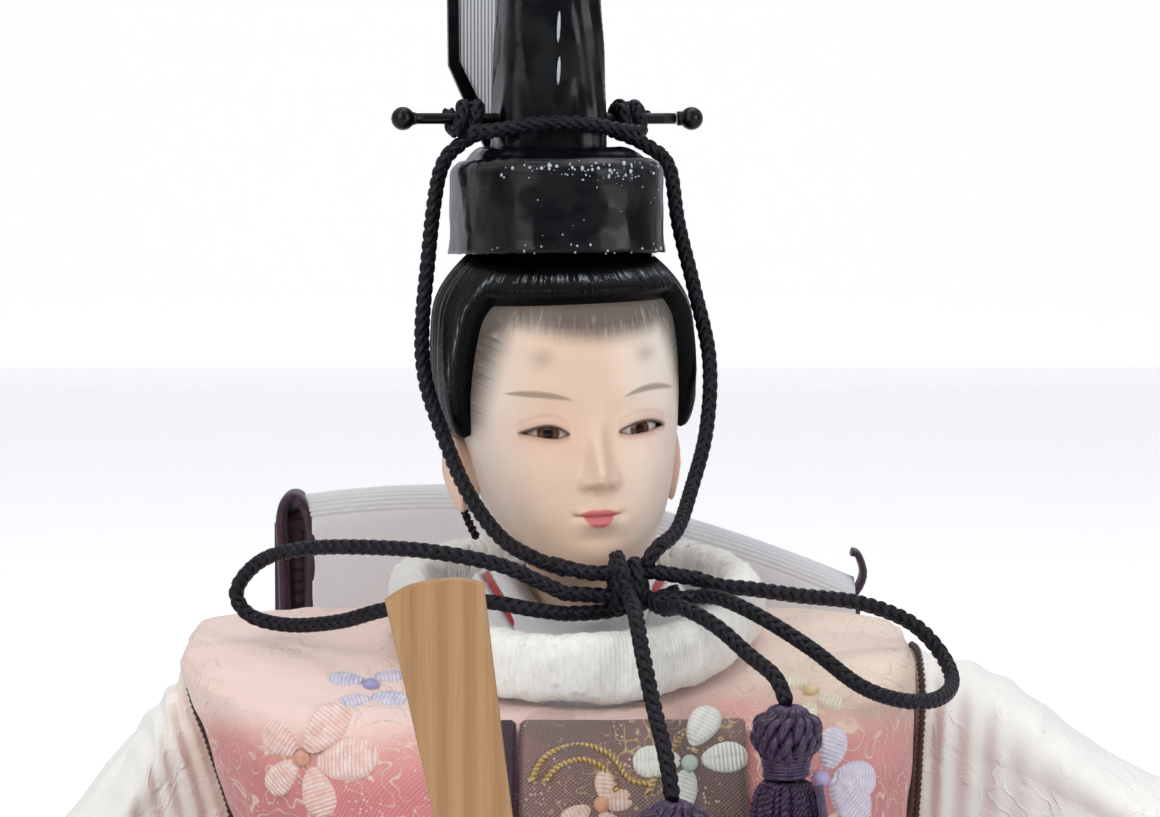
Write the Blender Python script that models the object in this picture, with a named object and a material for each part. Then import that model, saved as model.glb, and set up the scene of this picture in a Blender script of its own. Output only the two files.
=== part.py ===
"""Hina doll: the seated emperor of a doll festival set, in brocade, with a tall cap and a wooden tablet.

Metres, +Z up. The doll faces -Y and stands on z = 0 with the neck axis at x = y = 0. Left and right are the
doll's own, so its left is at +X. Head pieces are built in the face's own frame, whose origin is under the
chin on the neck axis and which is turned a little to the doll's left.
"""

import math

import bmesh
import bpy
from mathutils import Matrix, Vector

TURN = 2 * math.pi

# Fits shared by all pieces
CLEARANCE = 0.0004
CLOTH = 0.0014
OVERRUN = 0.002

# How square the plain outlines are, where 2 is an ellipse, and how near its poles a ball's rings go
ROUND_POWER = 2.67
POLE_ANGLE = math.radians(78)
BASE_POWER = 4
SKIRT_POWER = 2.4

# How far apart the points lie that a surface's slope is taken from
SLOPE_STEP_SHARE = 0.02

# Height of the chin, from which the straw core, the shoulders, the collars and the train are measured
CHIN_HEIGHT = 0.120

# Base and torso
BASE_HALF_WIDTH = 0.033
BASE_FRONT = 0.0275
BASE_BACK = 0.0275
BASE_THICKNESS = 0.007
CORE_RADIUS = 0.012
CORE_DROP = 0.016
CORE_TOP = CHIN_HEIGHT - CORE_DROP
PEG_RADIUS = 0.0025
PEG_IN_TORSO = 0.034
PEG_IN_HEAD = 0.012
PADDING_SHARE = 0.912
PADDING_DROP = 0.0056
PADDING_ROWS = (0.15, 2, 4, 5, 5.7, 6.2, 6.8, 7.1)

# Robe
WAIST_HEIGHT = 0.046
SHOULDER_DROP = 0.008
SHOULDER_HEIGHT = CHIN_HEIGHT - SHOULDER_DROP
CHEST_HALF_WIDTH = 0.0423
CHEST_FRONT = 0.038
CHEST_BACK = 0.028
RIGHT_SHOULDER_FLARE = 0.007
OPENING_HALF_WIDTH = 0.0195
OPENING_FRONT = 0.0272
OPENING_BACK = 0.0145
COLLAR_HALF_HEIGHT = 0.0040
COLLAR_HALF_THICKNESS = 0.0026
UNDER_COLLAR_WALL = 0.0012
UNDER_COLLAR_INSET = 0.0021
UNDER_COLLAR_STEP = 0.0021
UNDER_COLLAR_NARROWING = 0.0046
UNDER_COLLAR_SINK = 0.0008
UNDER_COLLAR_FRONT_DROP = 0.0064
UNDER_COLLAR_SIDE_DROP = 0.0017
UNDER_COLLAR_RISE = 0.0005
PANEL_LEFT = 0.0200
PANEL_RIGHT = 0.0065
PANEL_TRIM = 0.0022
BELT_HEIGHT = 0.0070
BELT_THICKNESS = 0.0018
STRIP_END_ROW = 5.7

# Arms and sleeves
ARM_RADIUS = 0.0018
ARM_DROP = 0.015
ARM_HEIGHT = SHOULDER_HEIGHT - ARM_DROP
ARM_BACK = 0.0068
SLEEVE_REACH = 0.122
SLEEVE_DEPTH = 0.060
SLEEVE_HALF_THICKNESS = 0.0115
SLEEVE_WALL = 0.0013
CUFF_WALL = 0.0008
CUFF_GAP = 0.0005
CUFF_STEP = 0.0016
CUFF_DEPTH = 0.014
SLEEVE_FOLD = 0.0013
SLEEVE_FOLDS = 3
SEAM_ROWS = 3
ARM_ROOM_SHARE = 1.9
FINGERS = 4
FINGER_GROOVE_SHARE = 0.10
HAND_LENGTH = 0.0200
HAND_HALF_HEIGHT = 0.0046
HAND_HALF_THICKNESS = 0.0034
HAND_END_SHARE = 0.4

# Legs and skirt
LEG_HALF_WIDTH = 0.0265
LEG_HALF_DEPTH = 0.0300
LEG_HEIGHT = 0.0380
LEG_CENTRE = 0.0600
LEG_POWER = 2.35
LEG_CROWN_POWER = 0.9
LEG_PLEATS = 7
PLEAT_DEPTH = 0.0011
SKIRT_HALF_WIDTH = 0.0430
SKIRT_HEM_HEIGHT = 0.0150
SKIRT_FLARE = 0.0080
SKIRT_FOLDS = 3
SKIRT_CREST_SHARE = 0.34
BACK_HEM = 0.0340
BACK_FOLDS = 7
BACK_FOLD_DEPTH = 0.0016
BACK_SWEEP = math.radians(128)
SIDE_FLARE_SHARE = 0.9
FOOT_LENGTH = 0.0180
FOOT_HALF_WIDTH = 0.0046
FOOT_HEIGHT = 0.0115
FOOT_START_SHARE = 0.72
FOOT_TAPER_SHARE = 0.25

# Folded train on the back
TRAIN_HALF_WIDTH = 0.0380
TRAIN_RISE = 0.0055
TRAIN_TOP = CHIN_HEIGHT + TRAIN_RISE
TRAIN_FOLD_RADIUS = 0.0034
TRAIN_FRONT_BOTTOM = 0.058
TRAIN_BACK_BOTTOM = 0.033
TRAIN_LINING = 0.0009
TRAIN_TILT_SHARE = 0.149
TRAIN_ARCH_DROP = 0.0058
TRAIN_END_SLANT = 0.0046
TRAIN_WAVE = 0.0010
TRAIN_WAVES = 2.5

# Head, in the face's frame
HEAD_YAW = math.radians(12)
HEAD_ROLL = math.radians(-2)
HEAD_HEIGHT = 0.0420
FACE_HALF_WIDTH = 0.0140
FACE_FRONT = 0.0163
HEAD_BACK = 0.0202
NECK_RADIUS = 0.0062
NECK_LENGTH = 0.0120
NOSE_HEIGHT = 0.0135
NOSE_REACH = 0.0030
EYE_HEIGHT = 0.0185
EYE_SPREAD = 0.0062
EYE_HALF_WIDTH = 0.0033
EYE_HALF_HEIGHT = 0.0022
EYE_HALF_DEPTH = 0.0017
EYE_TURN = math.radians(26)
LID = 0.0006
SLIT_HALF_WIDTH = 0.0031
SLIT_HALF_HEIGHT = 0.0008
EAR_HEIGHT = 0.0118
EAR_HALF_HEIGHT = 0.0040
EAR_HALF_DEPTH = 0.0026
EAR_REACH = 0.0014
EAR_BACK = 0.0040
HAIR_THICKNESS = 0.0014
HAIR_FIT = 0.0010
HAIRLINE_HEIGHT = 0.0340
HAIR_SIDE_HEIGHT = 0.0172
HAIR_NAPE_HEIGHT = 0.0110
HAIR_FRONT_SHARE = 0.85
HAIR_BACK_SHARE = 2.6
HAIR_TOP_SHARE = 0.55
TOPKNOT_RADIUS = 0.0042
TOPKNOT_TOP_SHARE = 0.4

# Cap, in the face's frame
CAP_SIDE = -0.00135
CAP_BACK = 0.0065
CAP_RIM_HEIGHT = 0.0394
CAP_PITCH = math.radians(2.2)
CAP_FIT = 0.0008
CAP_WALL = 0.0008
CAP_WALL_HEIGHT = 0.0100
CAP_DOME_RISE = 0.0034
CAP_SHOULDER_SHARE = 0.16
CAP_SHOULDER_RISE_SHARE = 0.55
CAP_FLARE_SHARE = 1.02
CAP_FLARE_TOP_SHARE = 0.3
CAP_POWER = 2.9
CAP_SIDES = 28
CROWN_SIDE = -0.0018
CROWN_BACK = 0.0080
CROWN_POWER = 4.5
CROWN_HALF_WIDTH = 0.0069
CROWN_HALF_DEPTH = 0.0065
CROWN_TOP_HALF_WIDTH = 0.0060
CROWN_HEIGHT = 0.0800
PIN_RADIUS = 0.00077
PIN_HEIGHT = 0.0565
PIN_HALF_LENGTH = 0.0188
PIN_BALL_RADIUS = 0.0015
TAIL_SIDE = -0.0028
TAIL_HALF_WIDTH = 0.0090
TAIL_TOP = 0.1250
TAIL_SHOULDER_HEIGHT = 0.0635
TAIL_BAR = 0.0014
TAIL_THICKNESS = 0.0010
TAIL_CORNER = 0.0021
TAIL_POINT_SHARE = 0.3
TAIL_FOOT_SHARE = 1.6
TAIL_SIDE_SHARE = 0.4
TAIL_LEAN = math.radians(3)
STEM_HALF_WIDTH = 0.0015
STEM_LENGTH = 0.0090
SOCKET_WALL = 0.0010
GAUZE_THICKNESS = 0.0004

# Cords, bow and tassels
CORD_RADIUS = 0.00103
KNOT_HALF_LENGTH = 0.0070
KNOT_HALF_DEPTH = 0.0030
KNOT_HALF_HEIGHT = 0.0034
KNOT_PLACE = (0.0066, -0.0215, 0.1203)
KNOT_TURNS = 1.6
KNOT_LEAST_GAP = 0.0005
TASSEL_HEAD_RADIUS = 0.0041
TASSEL_HEAD_HEIGHT = 0.0046
TASSEL_BAND_RADIUS = 0.0029
TASSEL_BAND_HEIGHT = 0.0028
TASSEL_SKIRT_RADIUS = 0.0053
TASSEL_SKIRT_LENGTH = 0.0160

# Shaku, the flat tablet in the right hand
SHAKU_LENGTH = 0.0755
SHAKU_TOP_WIDTH = 0.0110
SHAKU_GRIP_WIDTH = 0.0066
SHAKU_THICKNESS = 0.0015
SHAKU_GRIP_BEYOND_HAND = 0.00082
SHAKU_LEAN = math.radians(9.6)
SHAKU_BELOW_GRIP = 0.0100
SHAKU_CROWN = 0.0014
SHAKU_FLARE_POWER = 1.6

# Outlines in shares of the sizes above, from the bottom up. Each head row gives the half width, the reach
# in front and behind, the height in front, at the sides and behind, and how far back its widest place lies.
HEAD_SHARES = (
    (0.53, 0.59, 0.47, 0.004, 0.066, 0.170, 0.00),
    (0.645, 0.835, 0.645, 0.000, 0.100, 0.225, 0.02),
    (0.745, 0.957, 0.79, 0.028, 0.170, 0.295, 0.05),
    (0.845, 1.000, 0.90, 0.100, 0.265, 0.390, 0.10),
    (0.930, 0.994, 0.96, 0.215, 0.380, 0.485, 0.15),
    (0.985, 0.982, 0.99, 0.345, 0.500, 0.580, 0.20),
    (1.000, 0.975, 1.00, 0.475, 0.605, 0.655, 0.22),
    (0.993, 0.965, 0.99, 0.595, 0.700, 0.725, 0.22),
    (0.960, 0.930, 0.955, 0.710, 0.790, 0.795, 0.22),
    (0.830, 0.810, 0.870, 0.815, 0.862, 0.868, 0.22),
    (0.630, 0.560, 0.745, 0.890, 0.925, 0.930, 0.22),
    (0.400, 0.240, 0.560, 0.955, 0.975, 0.978, 0.22),
)
HEAD_POWER = 2.4

# Height in front, at the sides and behind as shares of the robe's rise, then half width, front and back
ROBE_SHARES = (
    (0.000, 0.000, 0.000, 0.83, 0.89, 0.89),
    (0.210, 0.210, 0.210, 0.90, 0.96, 0.96),
    (0.420, 0.420, 0.420, 0.96, 1.00, 1.00),
    (0.625, 0.635, 0.640, 0.985, 0.99, 1.00),
    (0.765, 0.790, 0.790, 0.995, 0.95, 0.96),
    (0.857, 0.905, 0.910, 1.000, 0.89, 0.84),
    (0.900, 0.977, 0.977, 0.990, 0.83, 0.66),
    (0.915, 1.000, 1.008, 0.910, 0.775, 0.53),
)
ROBE_POWERS = (2.3, 2.4, 2.6, 2.8, 3.2, 3.6, 4.0, 3.6, 2.6)
ROBE_OPENING_SHARES = (0.918, 0.990, 1.022)
FLARE_SHARES = (0, 0, 0, 0.10, 0.45, 0.80, 1.00, 0.92, 0)

# Each sleeve row gives x as a share of the reach, y of the depth, the top and bottom of the shoulder's
# height, the half thickness, the arm's height, and how much the cloth thins towards its hem
LEFT_SLEEVE_SHARES = (
    (0.355, 0.113, 0.970, 0.56, 0.66, 1.000, 0.30),
    (0.450, 0.120, 0.925, 0.44, 0.80, 0.975, 0.36),
    (0.590, 0.080, 0.835, 0.28, 0.84, 0.885, 0.46),
    (0.770, -0.030, 0.745, 0.12, 0.84, 0.775, 0.52),
    (0.925, -0.220, 0.680, 0.035, 0.84, 0.695, 0.56),
    (0.975, -0.500, 0.640, 0.020, 0.84, 0.645, 0.56),
    (0.890, -0.780, 0.615, 0.020, 0.86, 0.620, 0.52),
    (0.735, -0.950, 0.610, 0.060, 0.90, 0.620, 0.44),
    (0.570, -1.010, 0.620, 0.160, 0.92, 0.630, 0.34),
    (0.420, -1.020, 0.632, 0.300, 0.92, 0.635, 0.26),
    (0.270, -1.000, 0.640, 0.390, 0.90, 0.640, 0.20),
)
RIGHT_SLEEVE_SHARES = (
    (0.412, 0.113, 0.955, 0.56, 0.64, 1.000, 0.30),
    (0.480, 0.115, 0.880, 0.44, 0.78, 0.930, 0.36),
    (0.575, 0.070, 0.740, 0.28, 0.84, 0.790, 0.46),
    (0.740, -0.040, 0.665, 0.12, 0.84, 0.700, 0.52),
    (0.895, -0.220, 0.640, 0.035, 0.84, 0.660, 0.56),
    (0.950, -0.500, 0.625, 0.020, 0.84, 0.635, 0.56),
    (0.870, -0.780, 0.610, 0.020, 0.86, 0.620, 0.52),
    (0.715, -0.950, 0.610, 0.060, 0.90, 0.620, 0.44),
    (0.550, -1.010, 0.620, 0.170, 0.92, 0.630, 0.34),
    (0.380, -1.020, 0.632, 0.340, 0.92, 0.635, 0.26),
    (0.215, -1.000, 0.640, 0.390, 0.90, 0.640, 0.20),
)

# Rows along the hand from the wrist: place, half height and half thickness
HAND_SHARES = (
    (0.00, 0.58, 0.70),
    (0.20, 0.60, 0.70),
    (0.42, 0.90, 0.94),
    (0.62, 1.00, 1.00),
    (0.82, 0.97, 0.97),
    (0.95, 0.72, 0.72),
)

# Rows along the foot from the heel: place, half width and height
FOOT_SHARES = (
    (0.00, 0.55, 0.55),
    (0.12, 0.88, 0.95),
    (0.40, 1.00, 1.00),
    (0.72, 0.98, 0.74),
    (0.92, 0.80, 0.52),
    (1.00, 0.42, 0.30),
)

# Rows of a tassel's head and skirt downwards, of the ear outwards and of the bow knot along its length:
# place and size. The topknot's rows, upwards, give the size alone.
TASSEL_HEAD_SHARES = (
    (0.00, 0.30),
    (0.07, 0.50),
    (0.25, 0.86),
    (0.50, 1.00),
    (0.75, 0.90),
    (0.93, 0.72),
)
TASSEL_SKIRT_SHARES = ((0.00, 0.55), (0.12, 0.74), (0.60, 0.94), (1.00, 1.00))
EAR_SHARES = ((-1.5, 0.90), (0.2, 1.00), (0.8, 0.86), (1.0, 0.60))
BOW_KNOT_SHARES = ((-1.0, 0.72), (-0.7, 0.92), (-0.3, 1.00), (0.3, 1.00), (0.7, 0.92), (1.0, 0.72))
TOPKNOT_SHARES = (0.85, 1.00, 0.90, 0.80)

# Cord routes, chosen by hand along the photographed cords, in world coordinates
RIGHT_CHIN_ROUTE = (
    (-0.0163, 0.0053, 0.1718),
    (-0.0173, 0.0046, 0.1694),
    (-0.0180, 0.0030, 0.1650),
    (-0.0186, 0.0010, 0.1587),
    (-0.0193, -0.0010, 0.1500),
    (-0.0188, -0.0030, 0.1438),
    (-0.0167, -0.0062, 0.1378),
    (-0.0134, -0.0112, 0.1308),
    (-0.0092, -0.0156, 0.1256),
    (-0.0050, -0.0190, 0.1234),
    (-0.0012, -0.0206, 0.1222),
)
LEFT_CHIN_ROUTE = (
    (0.0111, 0.0100, 0.1718),
    (0.0123, 0.0092, 0.1694),
    (0.0132, 0.0068, 0.1630),
    (0.0151, 0.0036, 0.1550),
    (0.0169, -0.0006, 0.1463),
    (0.0164, -0.0052, 0.1378),
    (0.0143, -0.0104, 0.1307),
    (0.0124, -0.0160, 0.1264),
    (0.0100, -0.0208, 0.1250),
)
RIGHT_LOOP_ROUTE = (
    (-0.0013, -0.0225, 0.1196),
    (-0.0045, -0.0232, 0.1212),
    (-0.0090, -0.0238, 0.1232),
    (-0.0162, -0.0232, 0.1246),
    (-0.0236, -0.0200, 0.1248),
    (-0.0325, -0.0150, 0.1241),
    (-0.0387, -0.0110, 0.1221),
    (-0.0421, -0.0090, 0.1181),
    (-0.0404, -0.0100, 0.1151),
    (-0.0352, -0.0130, 0.1143),
    (-0.0286, -0.0180, 0.1155),
    (-0.0229, -0.0225, 0.1176),
    (-0.0161, -0.0262, 0.1190),
    (-0.0107, -0.0266, 0.1192),
    (-0.0050, -0.0250, 0.1180),
    (-0.0013, -0.0230, 0.1172),
)
LEFT_LOOP_ROUTE = (
    (0.0148, -0.0215, 0.1212),
    (0.0176, -0.0212, 0.1203),
    (0.0212, -0.0200, 0.1198),
    (0.0274, -0.0175, 0.1186),
    (0.0350, -0.0140, 0.1172),
    (0.0414, -0.0120, 0.1145),
    (0.0451, -0.0120, 0.1108),
    (0.0461, -0.0170, 0.1079),
    (0.0435, -0.0250, 0.1072),
    (0.0389, -0.0310, 0.1080),
    (0.0334, -0.0345, 0.1104),
    (0.0276, -0.0345, 0.1148),
    (0.0220, -0.0315, 0.1180),
    (0.0175, -0.0265, 0.1195),
    (0.0148, -0.0228, 0.1192),
)
LONG_END_ROUTE = (
    (0.0068, -0.0249, 0.1186),
    (0.0070, -0.0290, 0.1188),
    (0.0074, -0.0325, 0.1170),
    (0.0080, -0.0352, 0.1138),
    (0.0092, -0.0385, 0.1084),
    (0.0101, -0.0418, 0.1052),
    (0.0108, -0.0444, 0.1019),
    (0.0111, -0.0460, 0.0994),
)
SHORT_END_ROUTE = (
    (0.0108, -0.0248, 0.1180),
    (0.0128, -0.0295, 0.1188),
    (0.0166, -0.0332, 0.1172),
    (0.0203, -0.0362, 0.1143),
    (0.0231, -0.0404, 0.1124),
    (0.0243, -0.0424, 0.1098),
)
FRONT_CORD_ROUTE = (
    (-0.0126, 0.0032, 0.0548),
    (-0.0100, 0.0012, 0.0550),
    (-0.0060, -0.0001, 0.0557),
    (-0.0018, -0.0005, 0.0560),
    (0.0024, -0.0001, 0.0557),
    (0.0064, 0.0012, 0.0550),
    (0.0090, 0.0032, 0.0548),
)


# Shaping helpers


def finish(name, colour, roughness, metallic=0.0):
    material = bpy.data.materials.new(name)
    material.use_nodes = True
    shader = material.node_tree.nodes["Principled BSDF"]
    shader.inputs["Base Color"].default_value = (*colour, 1)
    shader.inputs["Roughness"].default_value = roughness
    shader.inputs["Metallic"].default_value = metallic
    return material


def empty(name, place, parent=None, turn=None):
    """A frame that pieces hang from; turn is a matrix or None."""
    frame = bpy.data.objects.new(name, None)
    frame.empty_display_size = CORE_RADIUS
    frame.matrix_local = Matrix.Translation(place) @ (turn or Matrix()).to_4x4()
    bpy.context.scene.collection.objects.link(frame)
    frame.parent = parent
    return frame


def solid(name, vertices, faces, material, parent=None):
    mesh = bpy.data.meshes.new(name)
    mesh.from_pydata([tuple(vertex) for vertex in vertices], [], faces)
    shape = bmesh.new()
    shape.from_mesh(mesh)
    bmesh.ops.recalc_face_normals(shape, faces=shape.faces)
    shape.to_mesh(mesh)
    shape.free()
    mesh.shade_smooth()
    mesh.set_sharp_from_angle(angle=math.radians(40))
    piece = bpy.data.objects.new(name, mesh)
    piece.data.materials.append(material)
    piece.parent = parent
    bpy.context.scene.collection.objects.link(piece)
    return piece


def band_faces(first, second, count):
    return [
        (first + i, first + (i + 1) % count, second + (i + 1) % count, second + i)
        for i in range(count)
    ]


def lofted(name, rings, material, parent=None):
    """A solid through closed rings of equal length, capped by a fan at each end."""
    count = len(rings[0])
    vertices = [point for ring in rings for point in ring]
    faces = []
    for k in range(len(rings) - 1):
        faces += band_faces(k * count, (k + 1) * count, count)
    for ring, start in ((rings[0], 0), (rings[-1], (len(rings) - 1) * count)):
        centre = len(vertices)
        vertices.append(sum(ring, Vector()) / count)
        faces += [(start + i, start + (i + 1) % count, centre) for i in range(count)]
    return solid(name, vertices, faces, material, parent)


def looped(name, rings, material, parent=None):
    """A closed skin through rings that come back to the first one: a shell open at both ends, or a ring."""
    count = len(rings[0])
    vertices = [point for ring in rings for point in ring]
    faces = []
    for k in range(len(rings)):
        faces += band_faces(k * count, (k + 1) % len(rings) * count, count)
    return solid(name, vertices, faces, material, parent)


def closed_shell(name, outer, inner, material, parent=None):
    """A shell open at its first outer and last inner ring, with a fan on each ring at its closed end."""
    count = len(outer[0])
    rings = outer + inner
    vertices = [point for ring in rings for point in ring]
    faces = []
    for k in range(len(rings)):
        if k != len(outer) - 1:
            faces += band_faces(k * count, (k + 1) % len(rings) * count, count)
    for k in (len(outer) - 1, len(outer)):
        centre = len(vertices)
        vertices.append(sum(rings[k], Vector()) / count)
        faces += [(k * count + i, k * count + (i + 1) % count, centre) for i in range(count)]
    return solid(name, vertices, faces, material, parent)


def sheet(name, front, back, material, parent=None):
    """Cloth between two grids of points of equal size."""
    rows, columns = len(front), len(front[0])
    vertices = [point for grid in (front, back) for row in grid for point in row]
    other = rows * columns
    faces = []
    for r in range(rows - 1):
        for c in range(columns - 1):
            a = r * columns + c
            quad = (a, a + 1, a + columns + 1, a + columns)
            faces.append(quad)
            faces.append(tuple(other + v for v in reversed(quad)))
    rim = [(0, c) for c in range(columns)]
    rim += [(r, columns - 1) for r in range(1, rows)]
    rim += [(rows - 1, c) for c in range(columns - 2, -1, -1)]
    rim += [(r, 0) for r in range(rows - 2, 0, -1)]
    edge = [r * columns + c for r, c in rim]
    for i, a in enumerate(edge):
        b = edge[(i + 1) % len(edge)]
        faces.append((a, b, other + b, other + a))
    return solid(name, vertices, faces, material, parent)


def spans(count, start=0.0, end=1.0):
    """Evenly spaced values from start to end, both included."""
    return [start + (end - start) * i / (count - 1) for i in range(count)]


def turns(count):
    return [TURN * i / count for i in range(count)]


def smooth_row(rows, place):
    """A row between the given ones, on a smooth curve through them all, straight past its ends."""
    last = len(rows) - 1
    k = min(max(int(math.floor(place)), 0), last - 1)
    t = place - k
    before = rows[max(k - 1, 0)]
    after = rows[min(k + 2, last)]
    values = []
    for a, b, c, d in zip(before, rows[k], rows[k + 1], after):
        out, into = (c - a) / 2, (d - b) / 2
        if t < 0:
            values.append(b + t * out)
        elif t > 1:
            values.append(c + (t - 1) * into)
        else:
            bend = 2 * t**3 - 3 * t**2
            values.append(
                (bend + 1) * b + (t**3 - 2 * t**2 + t) * out - bend * c + (t**3 - t**2) * into
            )
    return values


def corner(angle, power):
    """A point of the unit superellipse: across to +X, and towards the front where the angle is 0."""
    sine, cosine = math.sin(angle), math.cos(angle)
    share = 2 / power
    return math.copysign(abs(sine) ** share, sine), math.copysign(abs(cosine) ** share, cosine)


def oval_point(oval, angle, power):
    """A point of an outline round the z axis. Angle 0 is the front and a quarter turn is +X."""
    z_front, z_side, z_back, half_width, front, back = oval
    cosine = math.cos(angle)
    reach, z_end = (front, z_front) if cosine > 0 else (back, z_back)
    across, ahead = corner(angle, power)
    return Vector((half_width * across, -reach * ahead, z_side + (z_end - z_side) * cosine**2))


def normal_of(surface, u, v):
    """The direction square to a surface, from points a little to each side."""
    step = SLOPE_STEP_SHARE
    along = surface(u + step, v) - surface(u - step, v)
    across = surface(u, v + step) - surface(u, v - step)
    return along.cross(across).normalized()


def cylinder(name, start, end, radius, sides, material, parent=None):
    start, end = Vector(start), Vector(end)
    axis = (end - start).normalized()
    side = axis.orthogonal().normalized()
    other = axis.cross(side)
    rings = [
        [point + radius * (math.cos(a) * side + math.sin(a) * other) for a in turns(sides)]
        for point in (start, end)
    ]
    return lofted(name, rings, material, parent)


def cut(piece, cutter):
    cutter.hide_render = True
    cutter.display_type = "WIRE"
    modifier = piece.modifiers.new("cut " + cutter.name, "BOOLEAN")
    modifier.operation = "DIFFERENCE"
    modifier.object = cutter


def join(piece, other):
    other.hide_render = True
    other.display_type = "WIRE"
    modifier = piece.modifiers.new("join " + other.name, "BOOLEAN")
    modifier.operation = "UNION"
    modifier.object = other


def smooth_route(route, spacing):
    """Points a given distance apart on a smooth curve through the route's own points."""
    steps = 24
    fine = [
        Vector(smooth_row(route, k / steps)) for k in range((len(route) - 1) * steps + 1)
    ]
    lengths = [0.0]
    for a, b in zip(fine, fine[1:]):
        lengths.append(lengths[-1] + (b - a).length)
    count = max(4, round(lengths[-1] / spacing) + 1)
    points, k = [], 0
    for target in spans(count, 0, lengths[-1]):
        while k < len(fine) - 2 and lengths[k + 1] < target:
            k += 1
        share = (target - lengths[k]) / (lengths[k + 1] - lengths[k])
        points.append(fine[k].lerp(fine[k + 1], min(share, 1)))
    return points


def tube(name, points, radius, material, parent=None, sides_step=2):
    curve = bpy.data.curves.new(name, "CURVE")
    curve.dimensions = "3D"
    curve.bevel_depth = radius
    curve.bevel_resolution = sides_step
    curve.use_fill_caps = True
    curve.materials.append(material)
    line = curve.splines.new("POLY")
    line.points.add(len(points) - 1)
    start = parent.matrix_world.translation if parent else Vector()
    for spot, point in zip(line.points, points):
        spot.co = (*(point - start), 1)
    piece = bpy.data.objects.new(name, curve)
    piece.parent = parent
    bpy.context.scene.collection.objects.link(piece)
    return piece


def free_cord(name, route, material, parent):
    return tube(name, smooth_route(route, 4 * CORD_RADIUS), CORD_RADIUS, material, parent)


# Base, straw torso and padding


def base_board(wood):
    rings = []
    for z, inset in ((0, 0), (BASE_THICKNESS, CLOTH)):
        oval = (z, z, z, BASE_HALF_WIDTH - inset, BASE_FRONT - inset, BASE_BACK - inset)
        rings.append([oval_point(oval, a, BASE_POWER) for a in turns(32)])
    return lofted("base_board", rings, wood)


def body_core(straw):
    core = cylinder(
        "body_core",
        (0, 0, BASE_THICKNESS + CLEARANCE),
        (0, 0, CORE_TOP),
        CORE_RADIUS,
        24,
        straw,
    )
    bottom = CORE_TOP - PEG_IN_TORSO
    top = CORE_TOP + OVERRUN
    cut(core, cylinder("peg_bore", (0, 0, bottom), (0, 0, top), PEG_RADIUS + CLEARANCE, 16, straw))
    cut(core, arm_bore("core_arm_bore", straw))
    return core


def arm_bore(name, material):
    reach = CHEST_HALF_WIDTH + RIGHT_SHOULDER_FLARE + OVERRUN
    radius = ARM_RADIUS + 2 * CLEARANCE
    return cylinder(
        name, (-reach, ARM_BACK, ARM_HEIGHT), (reach, ARM_BACK, ARM_HEIGHT), radius, 14, material
    )


def chest_sizes(shares):
    """Half width, front and back of the robe at shares of the chest's sizes."""
    return [share * size for share, size in zip(shares, (CHEST_HALF_WIDTH, CHEST_FRONT, CHEST_BACK))]


def robe_rows():
    """Rows of the robe's outside from the waist to the neck opening, each with its flare."""
    rise = SHOULDER_HEIGHT - WAIST_HEIGHT
    rows = []
    for shares in ROBE_SHARES:
        heights = [WAIST_HEIGHT + share * rise for share in shares[:3]]
        rows.append((*heights, *chest_sizes(shares[3:])))
    heights = [WAIST_HEIGHT + share * rise for share in ROBE_OPENING_SHARES]
    rows.append((*heights, OPENING_HALF_WIDTH, OPENING_FRONT, OPENING_BACK))
    return [(*row, power, flare) for row, power, flare in zip(rows, ROBE_POWERS, FLARE_SHARES)]


def robe_surface(angle, place):
    """A point on the robe's outside; place runs over the rows from the waist at 0 to the opening at 8."""
    *oval, power, flare = smooth_row(robe_rows(), place)
    point = oval_point(oval, angle, power)
    if point.x < 0:
        point.x *= 1 + max(flare, 0) * RIGHT_SHOULDER_FLARE / CHEST_HALF_WIDTH
    return point


def robe_point(angle, place, offset=0.0):
    point = robe_surface(angle, place)
    if offset:
        point += offset * normal_of(robe_surface, angle, place)
    return point


def row_above_waist(rise):
    """The row at a small height above the waist."""
    return rise / (SHOULDER_HEIGHT - WAIST_HEIGHT) / ROBE_SHARES[1][1]


def robe_rings(places, offset, count=28):
    return [[robe_point(a, place, offset) for a in turns(count)] for place in places]


def torso_padding(wadding):
    """Soft filling between the straw and the robe, a little smaller and lower than the robe's inside."""
    outer = []
    for place in PADDING_ROWS:
        ring = []
        for a in turns(24):
            point = robe_surface(a, place)
            down = PADDING_DROP * place / len(ROBE_SHARES)
            ring.append(Vector((point.x * PADDING_SHARE, point.y * PADDING_SHARE, point.z - down)))
        outer.append(ring)
    radius = CORE_RADIUS + 3 * CLEARANCE
    top = min(point.z for point in outer[-1]) - CLEARANCE
    inner = [
        [Vector((radius * math.sin(a), -radius * math.cos(a), z)) for a in turns(24)]
        for z in (top, outer[0][0].z)
    ]
    padding = looped("torso_padding", outer + inner, wadding)
    cut(padding, arm_bore("padding_arm_bore", wadding))
    return padding


# Robe


def robe_body(brocade):
    outer = robe_rings((0, 2, 3.6, 4.5, 5.1, 5.7, 6.2, 6.8, 7.4, 8), 0)
    inner = robe_rings((8, 7.4, 6.8, 6.2, 5.7, 5.1, 4.5, 2.4, 0), -CLOTH)
    robe = looped("robe_body", outer + inner, brocade)
    cut(robe, arm_bore("robe_arm_bore", brocade))
    return robe


def front_angle(x, place):
    """The angle at which the robe's front has the given x."""
    low, high = 0.0, math.pi / 2
    for _ in range(30):
        middle = (low + high) / 2
        if abs(robe_surface(math.copysign(middle, x), place).x) < abs(x):
            low = middle
        else:
            high = middle
    return math.copysign((low + high) / 2, x)


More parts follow.
